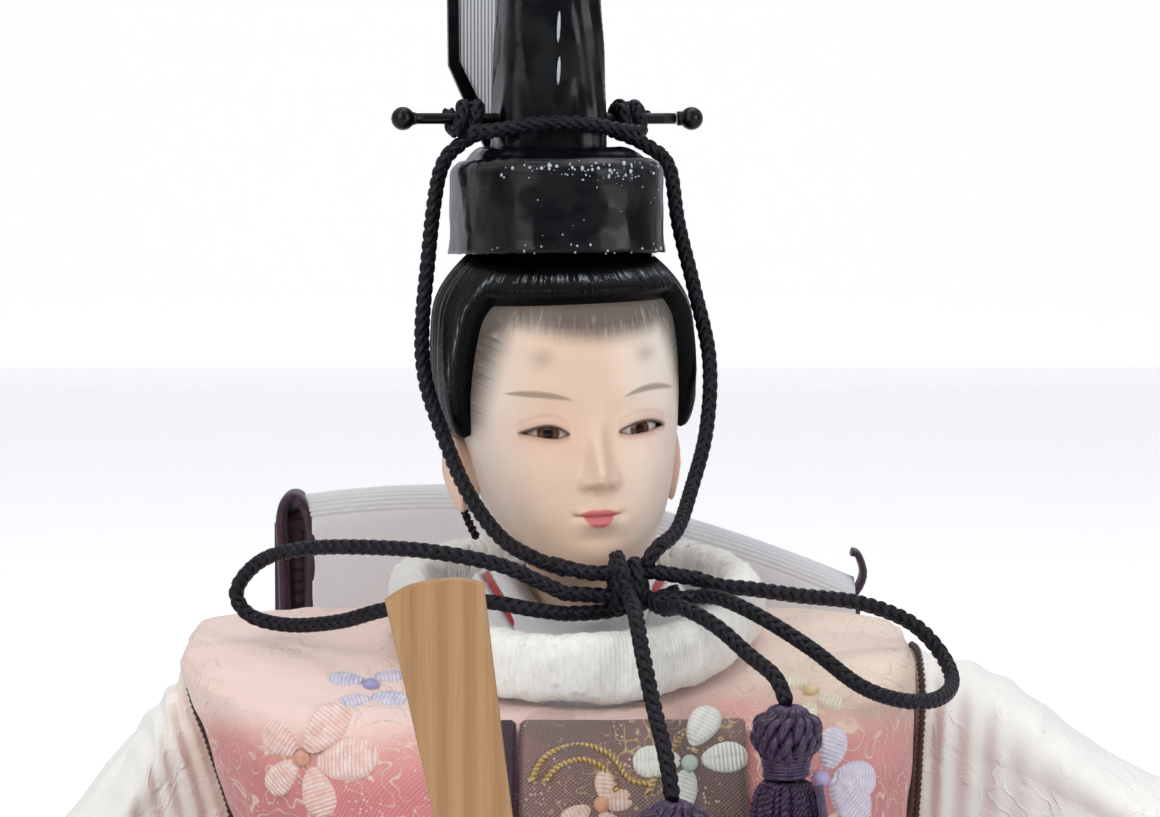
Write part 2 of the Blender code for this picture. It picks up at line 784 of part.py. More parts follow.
def chest_strip(name, sides, near, far, material):
    """A strip of cloth on the robe's front between two x positions, from under the collar to the belt."""
    places = spans(9, row_above_waist(BELT_HEIGHT + 3 * CLEARANCE), STRIP_END_ROW)
    grids = []
    for offset in (near, far):
        grid = []
        for place in places:
            angles = [front_angle(x, place) for x in sides]
            grid.append([robe_point(a, place, offset) for a in angles])
        grids.append(grid)
    return sheet(name, grids[1], grids[0], material)


def robe_front_panel(brocade):
    near = 1.5 * CLEARANCE
    sides = spans(6, -PANEL_RIGHT, PANEL_LEFT)
    return chest_strip("robe_front_panel", sides, near, near + CLOTH, brocade)


def panel_trim(silk):
    right = PANEL_RIGHT + CLEARANCE
    near = 1.5 * CLEARANCE
    sides = spans(3, -right - PANEL_TRIM, -right)
    return chest_strip("panel_trim", sides, near, near + CLOTH, silk)


def collar_row(outward, lift):
    """Heights and sizes of an oval that follows the robe's neck opening, further out or in and higher."""
    *oval, _, _ = robe_rows()[-1]
    heights = [z + lift for z in oval[:3]]
    return (*heights, *(size + outward for size in oval[3:]))


def robe_collar(crepe):
    outward = CLOTH
    lift = COLLAR_HALF_HEIGHT + 2 * CLEARANCE
    power = ROBE_POWERS[-1]
    rings = []
    for section_angle in turns(8):
        up, across = corner(section_angle, ROUND_POWER)
        row = collar_row(outward + COLLAR_HALF_THICKNESS * across, lift + COLLAR_HALF_HEIGHT * up)
        rings.append([oval_point(row, a, power) for a in turns(28)])
    return looped("robe_collar", rings, crepe)


def under_collar(name, number, silk):
    """One of three nested bands between the robe's collar and the neck, low in front and high behind."""
    inset = UNDER_COLLAR_INSET + number * UNDER_COLLAR_STEP
    rings = []
    for wall in (0, UNDER_COLLAR_WALL):
        bottom = collar_row(-inset - wall, -UNDER_COLLAR_SINK)
        drops = (UNDER_COLLAR_FRONT_DROP, UNDER_COLLAR_SIDE_DROP, 0)
        tops = [CHIN_HEIGHT - drop + number * UNDER_COLLAR_RISE for drop in drops]
        sizes = bottom[3:]
        narrowed = [size - UNDER_COLLAR_NARROWING for size in sizes[:2]]
        top = (*tops, *narrowed, sizes[2])
        middle = [(a + b) / 2 for a, b in zip(bottom, top)]
        rows = (bottom, middle, top) if wall == 0 else (top, middle, bottom)
        rings += [[oval_point(row, a, SKIRT_POWER) for a in turns(20)] for row in rows]
    return looped(name, rings, silk)


def waist_belt(silk):
    rings = []
    start = row_above_waist(CLEARANCE)
    end = row_above_waist(CLEARANCE + BELT_HEIGHT)
    middle = (start + end) / 2
    for place, offset in (
        (start, CLEARANCE),
        (start, BELT_THICKNESS),
        (middle, BELT_THICKNESS + CLEARANCE),
        (end, BELT_THICKNESS),
        (end, CLEARANCE),
    ):
        rings += robe_rings((place,), offset)
    return looped("waist_belt", rings, silk)


# Legs, feet and skirt


def leg_point(side, plan_angle, lift_angle, grow=0.0):
    """A point on a trouser leg, which is a puffed form cut flat at the floor."""
    wide, deep, high = LEG_HALF_WIDTH + grow, LEG_HALF_DEPTH + grow, LEG_HEIGHT + grow
    level = math.cos(lift_angle) ** (2 / LEG_POWER)
    plan_x, plan_y = corner(plan_angle, LEG_POWER)
    centre = side * (LEG_HALF_WIDTH + 2 * CLEARANCE)
    return Vector((
        centre + wide * level * plan_x,
        -LEG_CENTRE - deep * level * plan_y,
        high * math.sin(lift_angle) ** LEG_CROWN_POWER,
    ))


def trouser_leg(name, side, silk):
    rings = []
    for lift in spans(7, 0, math.radians(84)):
        ring = []
        for a in turns(28):
            pleat = -PLEAT_DEPTH * (1 - math.cos(LEG_PLEATS * a)) / 2
            ring.append(leg_point(side, a, lift, pleat * math.cos(lift)))
        rings.append(ring)
    return lofted(name, rings, silk)


def skirt_profile(x, along):
    """A point under the lap cloth: along runs from the waist at 0 over the legs' crest to the hem at 1."""
    gap = CLEARANCE * 2
    centre = LEG_HALF_WIDTH + 2 * CLEARANCE
    beyond = max(abs(x) - centre, 0) / (LEG_HALF_WIDTH + gap)
    level = (1 - beyond**LEG_POWER) ** (1 / LEG_POWER)
    crest = SKIRT_CREST_SHARE
    high = (LEG_HEIGHT + gap) * level
    if along < crest:
        t = along / crest
        waist = CHEST_FRONT * ROBE_SHARES[0][4]
        start_y = -waist * math.sqrt(max(0, 1 - (x / CHEST_HALF_WIDTH) ** 2 / 2))
        start_z = WAIST_HEIGHT - CLOTH - 2 * CLEARANCE
        rest = math.sin(t * math.pi / 2)
        return Vector((x, start_y + (-LEG_CENTRE - start_y) * t, start_z + (high - start_z) * rest))
    t = (along - crest) / (1 - crest)
    lowest = math.asin((SKIRT_HEM_HEIGHT / (LEG_HEIGHT + gap)) ** (1 / LEG_CROWN_POWER))
    lift = math.pi / 2 + (lowest - math.pi / 2) * t
    return Vector((
        x,
        -LEG_CENTRE - (LEG_HALF_DEPTH + gap) * level * math.cos(lift) ** (2 / LEG_POWER),
        high * math.sin(lift) ** LEG_CROWN_POWER,
    ))


def robe_skirt_front(brocade):
    """The lap cloth, with soft folds that run from the waist to the hem."""
    rows, columns = 10, 15
    under, over = [], []
    for along in spans(rows):
        half = SKIRT_HALF_WIDTH - SKIRT_FLARE * (1 - along)
        xs = spans(columns, -half, half)

        def point(x, v):
            return skirt_profile(x, min(max(v, 0), 1))

        low, high = [], []
        for x in xs:
            side = point(x + CLOTH, along) - point(x - CLOTH, along)
            down = point(x, along + SLOPE_STEP_SHARE) - point(x, along - SLOPE_STEP_SHARE)
            out = side.cross(down).normalized()
            out = -out if out.z - out.y < 0 else out
            fold = PLEAT_DEPTH * along * (1 - math.cos(SKIRT_FOLDS * TURN * x / (2 * half))) / 2
            base = point(x, along) + fold * out
            low.append(base)
            high.append(base + CLOTH * out)
        under.append(low)
        over.append(high)
    return sheet("robe_skirt_front", over, under, brocade)


def robe_skirt_back(brocade):
    """The skirt behind and at the sides, from the belt to the floor."""
    rise = WAIST_HEIGHT - 1.5 * CLEARANCE
    sizes = chest_sizes(ROBE_SHARES[0][3:])
    front, back = [], []
    for down in spans(5):
        z = rise - down * (rise - 2 * CLEARANCE)
        swing = math.sin(down * math.pi / 2)
        flare = (BACK_HEM - sizes[2]) * swing
        inner_row, outer_row = [], []
        for sweep in spans(29, -BACK_SWEEP, BACK_SWEEP):
            angle = math.pi + sweep
            fold = BACK_FOLD_DEPTH * down * math.cos(BACK_FOLDS * sweep)
            for wall, row in ((0, inner_row), (CLOTH, outer_row)):
                grow = flare + fold + wall
                oval = (z, z, z, sizes[0] + grow * SIDE_FLARE_SHARE, sizes[1], sizes[2] + grow)
                row.append(oval_point(oval, angle, SKIRT_POWER))
        front.append(outer_row)
        back.append(inner_row)
    return sheet("robe_skirt_back", front, back, brocade)


def foot(name, side, cotton):
    """A foot in its sock, toe forward, resting between the legs' fronts."""
    back = -LEG_CENTRE - LEG_HALF_DEPTH * FOOT_START_SHARE
    centre = side * (FOOT_HALF_WIDTH + CLEARANCE)
    rings = []
    for along, wide, high in FOOT_SHARES:
        y = back - along * FOOT_LENGTH
        half, top = wide * FOOT_HALF_WIDTH, high * FOOT_HEIGHT
        ring = []
        for a in turns(12):
            level = (1 - math.cos(a)) / 2
            ring.append(Vector((
                centre + half * math.sin(a) * (1 - FOOT_TAPER_SHARE * level),
                y,
                2 * CLEARANCE + top * level,
            )))
        rings.append(ring)
    return lofted(name, rings, cotton)


# Arms, sleeves, cuffs and hands


def sleeve_rows(side):
    """Rows of a sleeve from the shoulder to its mouth: x, y, top, bottom, half thickness, arm and taper."""
    shares = LEFT_SLEEVE_SHARES if side > 0 else RIGHT_SLEEVE_SHARES
    tall = SHOULDER_HEIGHT
    sizes = (side * SLEEVE_REACH, SLEEVE_DEPTH, tall, tall, SLEEVE_HALF_THICKNESS, ARM_HEIGHT, 1)
    return [[share * size for share, size in zip(row, sizes)] for row in shares]


def arm_place(row):
    return Vector((row[0], row[1], row[5]))


def sleeve_frame(side, place):
    """The row at a place along the sleeve, and the level direction square to it."""
    rows = sleeve_rows(side)
    step = 0.1
    ahead, behind = smooth_row(rows, place + step), smooth_row(rows, place - step)
    run = Vector((ahead[0] - behind[0], ahead[1] - behind[1], 0)).normalized()
    return smooth_row(rows, place), Vector((run.y, -run.x, 0))


def mouth_frame(side, distance):
    """The same at a distance beyond the sleeve's mouth, or before it when negative, on straight lines."""
    before, last = sleeve_rows(side)[-2:]
    run = Vector((last[0] - before[0], last[1] - before[1], 0))
    share = distance / run.length
    row = [b + (b - a) * share for a, b in zip(before, last)]
    run.normalize()
    return row, Vector((run.y, -run.x, 0))


def seam_shift(side, place, z):
    """How far a point near the shoulder moves so that the sleeve's end follows the robe's side."""
    fade = max(0, 1 - place / SEAM_ROWS)
    if not fade:
        return 0
    share = (z - WAIST_HEIGHT) / (SHOULDER_HEIGHT - WAIST_HEIGHT)
    heights = [row[1] for row in ROBE_SHARES]
    last = len(heights) - 1
    k = 0
    while k < last - 1 and heights[k + 1] < share:
        k += 1
    along = k + min(max((share - heights[k]) / (heights[k + 1] - heights[k]), 0), 1)
    edge = abs(robe_surface(side * math.pi / 2, along).x)
    top = abs(robe_surface(side * math.pi / 2, last - 1).x)
    return side * fade * (edge - top)


def sleeve_ring(frame, inset, count=16, side=0, place=0):
    """The sleeve's teardrop outline, thick along the arm and thin at the hem, with its long folds."""
    (x, y, top, bottom, half, arm, taper), across = frame
    ring = []
    for a in turns(count):
        sine, cosine = math.sin(a), math.cos(a)
        end = top - inset - arm if cosine > 0 else arm - bottom - inset
        z = arm + cosine * end
        wide = (half - inset) * (1 + taper * cosine)
        fold = 0
        if side:
            low = max(0, -cosine)
            fold = SLEEVE_FOLD * low * math.sin(SLEEVE_FOLDS * TURN * place / 5 + 5 * low)
        offset = math.copysign(abs(sine) ** 0.9, sine) * wide + fold
        shift = seam_shift(side, place, z) if side else 0
        ring.append(Vector((x + shift, y, z)) + offset * across)
    return ring


def arm_ring(frame, count=16):
    row, across = frame
    centre = arm_place(row)
    reach = ARM_RADIUS + 3 * CLEARANCE
    ring = []
    for a in turns(count):
        up = Vector((0, 0, reach * ARM_ROOM_SHARE * math.cos(a)))
        ring.append(centre + reach * math.sin(a) * across + up)
    return ring


def sleeve(name, side, damask):
    last = len(LEFT_SLEEVE_SHARES) - 1
    places = spans(13, 0, last - 0.4)
    outer = [sleeve_ring(sleeve_frame(side, place), 0, side=side, place=place) for place in places]
    outer.append(sleeve_ring(mouth_frame(side, 0), 0))
    floor = mouth_frame(side, -CUFF_DEPTH)
    pocket = [sleeve_ring(mouth_frame(side, 0), SLEEVE_WALL), sleeve_ring(floor, SLEEVE_WALL)]
    bore = [arm_ring(floor)]
    bore += [arm_ring(sleeve_frame(side, place)) for place in spans(7, last - 1, 0)]
    return looped(name, outer + pocket + bore, damask)


def cuff(name, side, layer, silk):
    near = SLEEVE_WALL + (layer + 1) * CUFF_GAP + layer * CUFF_WALL
    ends = (-CUFF_DEPTH + (layer + 1) * CLEARANCE, (layer + 1) * CUFF_STEP)
    outer = [sleeve_ring(mouth_frame(side, end), near) for end in ends]
    inner = [sleeve_ring(mouth_frame(side, end), near + CUFF_WALL) for end in ends[::-1]]
    return looped(name, outer + inner, silk)


def arm_frame(wrap):
    """One wrapped wire from wrist to wrist through the torso."""
    last = len(LEFT_SLEEVE_SHARES) - 1
    routes = []
    for side in (-1, 1):
        reach = CHEST_HALF_WIDTH * side
        half = [Vector((reach * 0.5, ARM_BACK, ARM_HEIGHT))]
        half += [arm_place(smooth_row(sleeve_rows(side), place)) for place in spans(7, 0, last - 1)]
        half.append(arm_place(mouth_frame(side, -2 * CUFF_STEP)[0]))
        routes.append(half)
    route = routes[0][::-1] + routes[1]
    rings = []
    for i, point in enumerate(route):
        before, after = route[max(i - 1, 0)], route[min(i + 1, len(route) - 1)]
        run = (after - before).normalized()
        side = run.cross(Vector((0, 0, 1))).normalized()
        up = side.cross(run)
        rings.append([point + ARM_RADIUS * (math.cos(a) * side + math.sin(a) * up) for a in turns(8)])
    return lofted("arm_frame", rings, wrap)


def hand_start(side):
    return arm_place(mouth_frame(side, -2 * CUFF_STEP)[0])


def hand_length():
    return HAND_LENGTH + 2 * CUFF_STEP


def hand(name, side, skin):
    """A closed hand that points from the sleeve's mouth towards the middle, with four finger ridges."""
    run = Vector((-side, 0, 0))
    start = hand_start(side) + 2 * CLEARANCE * run
    length = hand_length()
    rings = []
    for along, high, thick in HAND_SHARES:
        rings.append(hand_ring(start + along * length * run, high, thick, along))
    high, thick = (share * HAND_END_SHARE for share in HAND_SHARES[-1][1:])
    rings.append(hand_ring(start + length * run, high, thick, 1))
    return lofted(name, rings, skin)


def hand_ring(centre, high, thick, along):
    ring = []
    for a in turns(16):
        up, front = math.cos(a), -math.sin(a)
        groove = FINGER_GROOVE_SHARE * (1 + math.cos(FINGERS * math.pi * up)) / 2
        shrink = 1 - groove * (1 if along > 0.5 else 0)
        ring.append(centre + Vector((
            0,
            front * thick * HAND_HALF_THICKNESS * shrink,
            up * high * HAND_HALF_HEIGHT,
        )))
    return ring


def shaku_frame():
    """The tablet's frame: its origin is in the grip and its z axis runs up the tablet."""
    fingers = hand_start(-1).x + 2 * CLEARANCE + hand_length()
    place = Vector((fingers + SHAKU_GRIP_BEYOND_HAND, -SLEEVE_DEPTH, hand_start(-1).z))
    return empty("shaku_axis", place, turn=Matrix.Rotation(-SHAKU_LEAN, 3, "Y"))


def hand_right(skin, frame):
    piece = hand("hand_right", -1, skin)
    half_width = SHAKU_GRIP_WIDTH / 2 + 2 * CLEARANCE
    half_thickness = SHAKU_THICKNESS / 2 + CLEARANCE
    reach = HAND_HALF_HEIGHT + 2 * OVERRUN
    corners = ((-1, -1), (1, -1), (1, 1), (-1, 1))
    rings = [
        [Vector((sx * half_width, sy * half_thickness, z)) for sx, sy in corners]
        for z in (-reach, reach)
    ]
    cut(piece, lofted("grip_slot", rings, skin, frame))
    return piece


def shaku(wood, frame):
    """The tablet: broad and gently crowned at the top, narrowing through the grip to the foot."""
    top = SHAKU_LENGTH - SHAKU_BELOW_GRIP
    half_top, half_grip = SHAKU_TOP_WIDTH / 2, SHAKU_GRIP_WIDTH / 2
    outline = []
    for share in spans(9):
        x = half_top * (1 - 2 * share)
        crown = SHAKU_CROWN * (1 - (x / half_top) ** 2)
        outline.append((x, top - SHAKU_CROWN + crown))
    left = []
    for share in spans(6, 1, 0)[1:]:
        width = half_grip + (half_top - half_grip) * share**SHAKU_FLARE_POWER
        left.append((-width, share * (top - SHAKU_CROWN)))
    left.append((-half_grip, -SHAKU_BELOW_GRIP))
    outline += left
    outline += [(-x, z) for x, z in reversed(left)]
    half = SHAKU_THICKNESS / 2
    rings = [[Vector((x, y, z)) for x, z in outline] for y in (-half, half)]
    return lofted("shaku", rings, wood, frame)


# Folded train on the back

def train_path(x, inward):
    """The train's section at x, up the front layer, over the fold and down the back layer."""
    front_y = CHEST_BACK + CLEARANCE + inward
    radius = TRAIN_FOLD_RADIUS - inward
    centre_y = front_y + radius
    arch = TRAIN_ARCH_DROP * (x / TRAIN_HALF_WIDTH) ** 2
    top = TRAIN_TOP - TRAIN_TILT_SHARE * x - arch - TRAIN_FOLD_RADIUS
    points = [(front_y, z) for z in spans(3, TRAIN_FRONT_BOTTOM, top)]
    for turn in spans(6, 0, math.pi)[1:-1]:
        points.append((centre_y - radius * math.cos(turn), top + radius * math.sin(turn)))
    points += [(centre_y + radius, z) for z in spans(5, top, TRAIN_BACK_BOTTOM)]
    return points


def train_grid(inward, overhang):
    columns = 10
    count = len(train_path(0, inward))
    grid = []
    for r in range(count):
        share = min(max((r - 2) / 5, 0), 1)
        right = -TRAIN_HALF_WIDTH - share * TRAIN_END_SLANT + TRAIN_END_SLANT / 2 - overhang
        left = TRAIN_HALF_WIDTH + overhang
        row = []
        for x in spans(columns, right, left):
            y, z = train_path(x, inward)[r]
            turn = TURN * TRAIN_WAVES * x / (2 * TRAIN_HALF_WIDTH)
            wave = TRAIN_WAVE * math.sin(turn) * max(0, (r - 7) / 4)
            row.append(Vector((x, y + wave, z)))
        grid.append(row)
    return grid


def train_fold(silk):
    return sheet("train_fold", train_grid(0, 0), train_grid(CLOTH, 0), silk)


def train_lining(silk):
    near = CLOTH + 2 * CLEARANCE
    overhang = 2 * CLEARANCE
    return sheet(
        "train_lining", train_grid(near, overhang), train_grid(near + TRAIN_LINING, overhang), silk
    )


# Head, eyes and hair


def head_rows():
    neck = (NECK_RADIUS, NECK_RADIUS, NECK_RADIUS)
    rows = [(-NECK_LENGTH, -NECK_LENGTH, -NECK_LENGTH, *neck, 0)]
    heights = [share * HEAD_HEIGHT for share in HEAD_SHARES[0][3:6]]
    rows.append((heights[0], heights[1] * 0.6, heights[2] * 0.75, *neck, 0))
    for wide, front, back, z_front, z_side, z_back, middle in HEAD_SHARES:
        heights = [share * HEAD_HEIGHT for share in (z_front, z_side, z_back)]
        centre = middle * HEAD_BACK
        sizes = (wide * FACE_HALF_WIDTH, front * FACE_FRONT + centre, back * HEAD_BACK - centre)
        rows.append((*heights, *sizes, centre))
    return rows


HEAD_TABLE = head_rows()
HEAD_ROWS = len(HEAD_TABLE)
FACE_ROW = 3


def bump(x, z, centre_x, centre_z, wide, high):
    return math.exp(-(((x - centre_x) / wide) ** 2) - ((z - centre_z) / high) ** 2)


def head_surface(angle, place):
    *oval, centre = smooth_row(HEAD_TABLE, place)
    point = oval_point(oval, angle, HEAD_POWER)
    point.y += centre
    return point


def face_relief(x, z):
    """How far the features stand out from the plain head: nose, eye hollows, lips and chin."""
    width = NOSE_REACH * 0.7
    nose = NOSE_REACH * bump(x, z, 0, NOSE_HEIGHT, width, width)
    bridge = NOSE_REACH * 0.45 * bump(x, z, 0, (NOSE_HEIGHT + EYE_HEIGHT) / 2, width, NOSE_REACH * 1.4)
    hollows = sum(
        NOSE_REACH * 0.25 * bump(x, z, side * EYE_SPREAD, EYE_HEIGHT, EYE_HALF_WIDTH, EYE_HALF_HEIGHT)
        for side in (-1, 1)
    )
    lips = NOSE_REACH * 0.25 * bump(x, z, 0, NOSE_HEIGHT * 0.61, NOSE_REACH, NOSE_REACH * 0.5)
    return nose + bridge + lips - hollows


def head(skin):
    count = 30
    angles = []
    for a in turns(count):
        around = a if a < math.pi else a - TURN
        angles.append(around - 0.5 * math.sin(around))
    places = [0, 1, 2, 3, 3.7, 4.3, 4.9, 5.3, 5.8, 6.3, 6.8, 7.4, 8, 9.3, 10.6, 11.7, 12.4, 13]
    rings = []
    for place in places:
        ring = []
        for angle in angles:
            point = head_surface(angle, place)
            if place >= FACE_ROW and math.cos(angle) > 0:
                point.y -= face_relief(point.x, point.z)
            ring.append(point)
        rings.append(ring)
    piece = lofted("head", rings, skin, FACE)
    reach = PEG_IN_HEAD + CLEARANCE
    bore = cylinder(
        "head_bore",
        (0, 0, -NECK_LENGTH - OVERRUN),
        (0, 0, reach),
        PEG_RADIUS + CLEARANCE,
        16,
        skin,
        CAP,
    )
    cut(piece, bore)
    for side in (-1, 1):
        cut(piece, eyeball(f"eye_pocket {side}", side, CLEARANCE, 14, skin))
        cut(piece, eye_slit(side, skin))
        join(piece, ear(side, skin))
    return piece


def face_depth(x, z):
    """The y of the face's surface at a place in front, relief included."""
    low, high = 0.0, math.pi / 2
    for _ in range(24):
        angle = (low + high) / 2
        place = row_at_height(angle, z)
        if head_surface(angle, place).x < abs(x):
            low = angle
        else:
            high = angle
    return head_surface(low, row_at_height(low, z)).y - face_relief(x, z)


def eye_frame(side):
    """The middle of a glass eye, behind the face's surface and turned with it."""
    depth = EYE_HALF_DEPTH + CLEARANCE + LID
    turn = Matrix.Rotation(side * EYE_TURN, 3, "Z")
    front = Vector((side * EYE_SPREAD, face_depth(EYE_SPREAD, EYE_HEIGHT), EYE_HEIGHT))
    return front + turn @ Vector((0, depth, 0)), turn


def eyeball(name, side, grow, sides, material):
    centre, turn = eye_frame(side)
    sizes = (EYE_HALF_WIDTH + grow, EYE_HALF_DEPTH + grow, EYE_HALF_HEIGHT + grow)
    return lofted(name, ball_rings(centre, sizes, sides, turn), material, FACE)


def ball_rings(centre, sizes, sides, turn=Matrix.Identity(3)):
    """Level rings of an ellipsoid with these half sizes, from a little above its lowest point."""
    wide, deep, high = sizes
    rings = []
    for rise in spans(sides // 2 - 1, -1, 1):
        lift = rise * POLE_ANGLE
        level, z = math.cos(lift), high * math.sin(lift)
        rings.append([
            centre + turn @ Vector((wide * level * math.cos(a), deep * level * math.sin(a), z))
            for a in turns(sides)
        ])
    return rings


def pin_ball(name, side, lacquer):
    centre = Vector((CROWN_SIDE + side * PIN_HALF_LENGTH, CROWN_BACK, PIN_HEIGHT))
    return lofted(name, ball_rings(centre, 3 * (PIN_BALL_RADIUS,), 12), lacquer, CAP)


def eye_slit(side, skin):
    """The almond opening between the lids."""
    centre, _ = eye_frame(side)
    rings = []
    for y in (centre.y, -FACE_FRONT - NOSE_REACH):
        ring = []
        for a in turns(12):
            x = SLIT_HALF_WIDTH * math.cos(a)
            z = SLIT_HALF_HEIGHT * math.copysign(abs(math.sin(a)) ** 1.3, math.sin(a))
            ring.append(Vector((side * EYE_SPREAD + x, y, centre.z + z)))
        rings.append(ring)
    return lofted(f"eye_slit {side}", rings, skin, FACE)


def ear(side, skin):
    """An ear that stands out a little from the side of the head, joined to it."""
    rings = []
    for along, size in EAR_SHARES:
        x = side * (FACE_HALF_WIDTH * 0.95 + along * EAR_REACH)
        ring = []
        for a in turns(10):
            z = EAR_HEIGHT + size * EAR_HALF_HEIGHT * math.cos(a)
            y = EAR_BACK + size * EAR_HALF_DEPTH * math.sin(a) * (1 + 0.25 * math.cos(a))
            ring.append(Vector((x, y, z)))
        rings.append(ring)
    return lofted(f"ear {side}", rings, skin, FACE)


def row_at_height(angle, height):
    low, high = 2.0, HEAD_ROWS - 1.0
    for _ in range(40):
        middle = (low + high) / 2
        if head_surface(angle, middle).z < height:
            low = middle
        else:
            high = middle
    return low


def hairline(angle):
    """The row at which the hair starts: high over the forehead, lower at the temples and at the nape."""
    front = min(max((math.cos(angle) - 0.18) / 0.42, 0), 1)
    front = front * front * (3 - 2 * front)
    nape = max(-math.cos(angle), 0) ** 2
    height = HAIR_SIDE_HEIGHT + (HAIRLINE_HEIGHT - HAIR_SIDE_HEIGHT) * front
    height += (HAIR_NAPE_HEIGHT - HAIR_SIDE_HEIGHT) * nape
    return row_at_height(angle, height)


def hair_point(angle, share, outside):
    """A point of the wig: share runs from the hairline at 0 to the crown at 1."""
    start = hairline(angle)
    place = start + (HEAD_ROWS - 1.3 - start) * share
    end_share = HAIR_BACK_SHARE if math.cos(angle) < 0 else HAIR_FRONT_SHARE
    thick = HAIR_THICKNESS * (1 + (end_share - 1) * math.cos(angle) ** 2)
    thick *= 1 + (HAIR_TOP_SHARE - 1) * share**2
    edge = min(1, 0.45 + share * 6)
    offset = HAIR_FIT + (thick * edge if outside else 0)
    return head_surface(angle, place) + offset * normal_of(head_surface, angle, place)


def hair(black):
    shares = (0, 0.06, 0.2, 0.45, 0.7, 0.88, 1)
    angles = turns(28)
    outer = [[hair_point(a, share, True) for a in angles] for share in shares]
    inner = [[hair_point(a, share, False) for a in angles] for share in shares]
    return closed_shell("hair", outer, inner[::-1], black, FACE)


def hair_top():
    return max((ROLL @ hair_point(a, 1, True)).z for a in turns(12))


def hair_outline(height):
    """Half width and reach of the wig in front and behind at a height, for the cap that sits on it."""
    points = [
        hair_point(a, share, True) for a in turns(48) for share in spans(25, 0, 1)
    ]
    near = [p for p in (ROLL @ point for point in points) if p.z > height]
    return (
        max(abs(p.x - CAP_SIDE) for p in near),
        max(-(p.y - CAP_BACK) for p in near),
        max(p.y - CAP_BACK for p in near),
    )


def topknot(black):
    """The tied hair that stands up inside the cap's crown and that the pin goes through."""
    bottom = hair_top() + CLEARANCE
    top = PIN_HEIGHT + (CROWN_HEIGHT - PIN_HEIGHT) * TOPKNOT_TOP_SHARE
    rings = []
    for z, share in zip((bottom, bottom + OVERRUN, PIN_HEIGHT, top), TOPKNOT_SHARES):
        rings.append([
            Vector((
                CROWN_SIDE + share * TOPKNOT_RADIUS * math.sin(a),
                CROWN_BACK - share * TOPKNOT_RADIUS * math.cos(a),
                z,
            ))
            for a in turns(14)
        ])
    piece = lofted("topknot", rings, black, CAP)
    cut(piece, pin_bore("topknot_pin_bore", black))
    return piece


# Cap, pin and tail

def pin_bore(name, material):
    reach = CROWN_HALF_WIDTH + OVERRUN
    start = (CROWN_SIDE - reach, CROWN_BACK, PIN_HEIGHT)
    end = (CROWN_SIDE + reach, CROWN_BACK, PIN_HEIGHT)
    return cylinder(name, start, end, PIN_RADIUS + CLEARANCE, 14, material, CAP)


def cap_sizes():
    """Outer half width, front and back of the cap's base at its rim, fitted round the wig."""
    wide, front, _ = hair_outline(CAP_RIM_HEIGHT)
    back = hair_outline(CAP_RIM_HEIGHT - CAP_WALL)[2]
    return [size + CAP_FIT + CAP_WALL for size in (wide, front, back)]


def cap_ring(share, z, inset, sizes):
    """A level ring of the cap base, at a share of the rim's size, drawn towards the crown's place."""
    shift = 1 - share
    centre_x = CAP_SIDE + (CROWN_SIDE - CAP_SIDE) * shift
    centre_y = CAP_BACK + (CROWN_BACK - CAP_BACK) * shift
    half, front, back = (size * share - inset for size in sizes)
    slope = math.tan(CAP_PITCH)
    ring = []
    for a in turns(CAP_SIDES):
        point = oval_point((0, 0, 0, half, front, back), a, CAP_POWER)
        ring.append(Vector((centre_x + point.x, centre_y + point.y, z - slope * point.y)))
    return ring


def cap_base(lacquer):
    sizes = cap_sizes()
    rim, wall_top = CAP_RIM_HEIGHT, CAP_RIM_HEIGHT + CAP_WALL_HEIGHT
    flare_top = rim + CAP_FLARE_TOP_SHARE * CAP_WALL_HEIGHT
    outer = [cap_ring(CAP_FLARE_SHARE, rim, 0, sizes)]
    outer += [cap_ring(1, z, 0, sizes) for z in (flare_top, wall_top)]
    for turn in spans(4, 0, math.pi / 2)[1:]:
        share = 1 - CAP_SHOULDER_SHARE * (1 - math.cos(turn))
        z = wall_top + CAP_SHOULDER_RISE_SHARE * CAP_DOME_RISE * math.sin(turn)
        outer.append(cap_ring(share, z, 0, sizes))
    gap = 2 * CLEARANCE
    mouth = []
    for inset in (0, CAP_WALL):
        ring = []
        for a in turns(CAP_SIDES):
            oval = (0, 0, 0, CROWN_HALF_WIDTH + gap, CROWN_HALF_DEPTH + gap, CROWN_HALF_DEPTH + gap)
            point = oval_point(oval, a, CROWN_POWER)
            top = wall_top + CAP_DOME_RISE - inset
            ring.append(Vector((CROWN_SIDE + point.x, CROWN_BACK + point.y, top)))
        mouth.append(ring)
    inner = [cap_ring(1 - CAP_SHOULDER_SHARE, z - CAP_WALL, CAP_WALL, sizes)]
    inner += [cap_ring(1, z, CAP_WALL, sizes) for z in (wall_top - CAP_WALL, rim)]
    return looped("cap_base", outer + mouth + inner, lacquer, CAP)


def crown_ring(z, inset):
    bottom, top = PIN_HEIGHT, CROWN_HEIGHT
    share = min(max((z - bottom) / (top - bottom), 0), 1)
    half = CROWN_HALF_WIDTH + (CROWN_TOP_HALF_WIDTH - CROWN_HALF_WIDTH) * share - inset
    deep = CROWN_HALF_DEPTH + (CROWN_TOP_HALF_WIDTH - CROWN_HALF_WIDTH) * share - inset
    ring = []
    for a in turns(24):
        point = oval_point((z, z, z, half, deep, deep), a, CROWN_POWER)
        ring.append(Vector((CROWN_SIDE + point.x, CROWN_BACK + point.y, z)))
    return ring


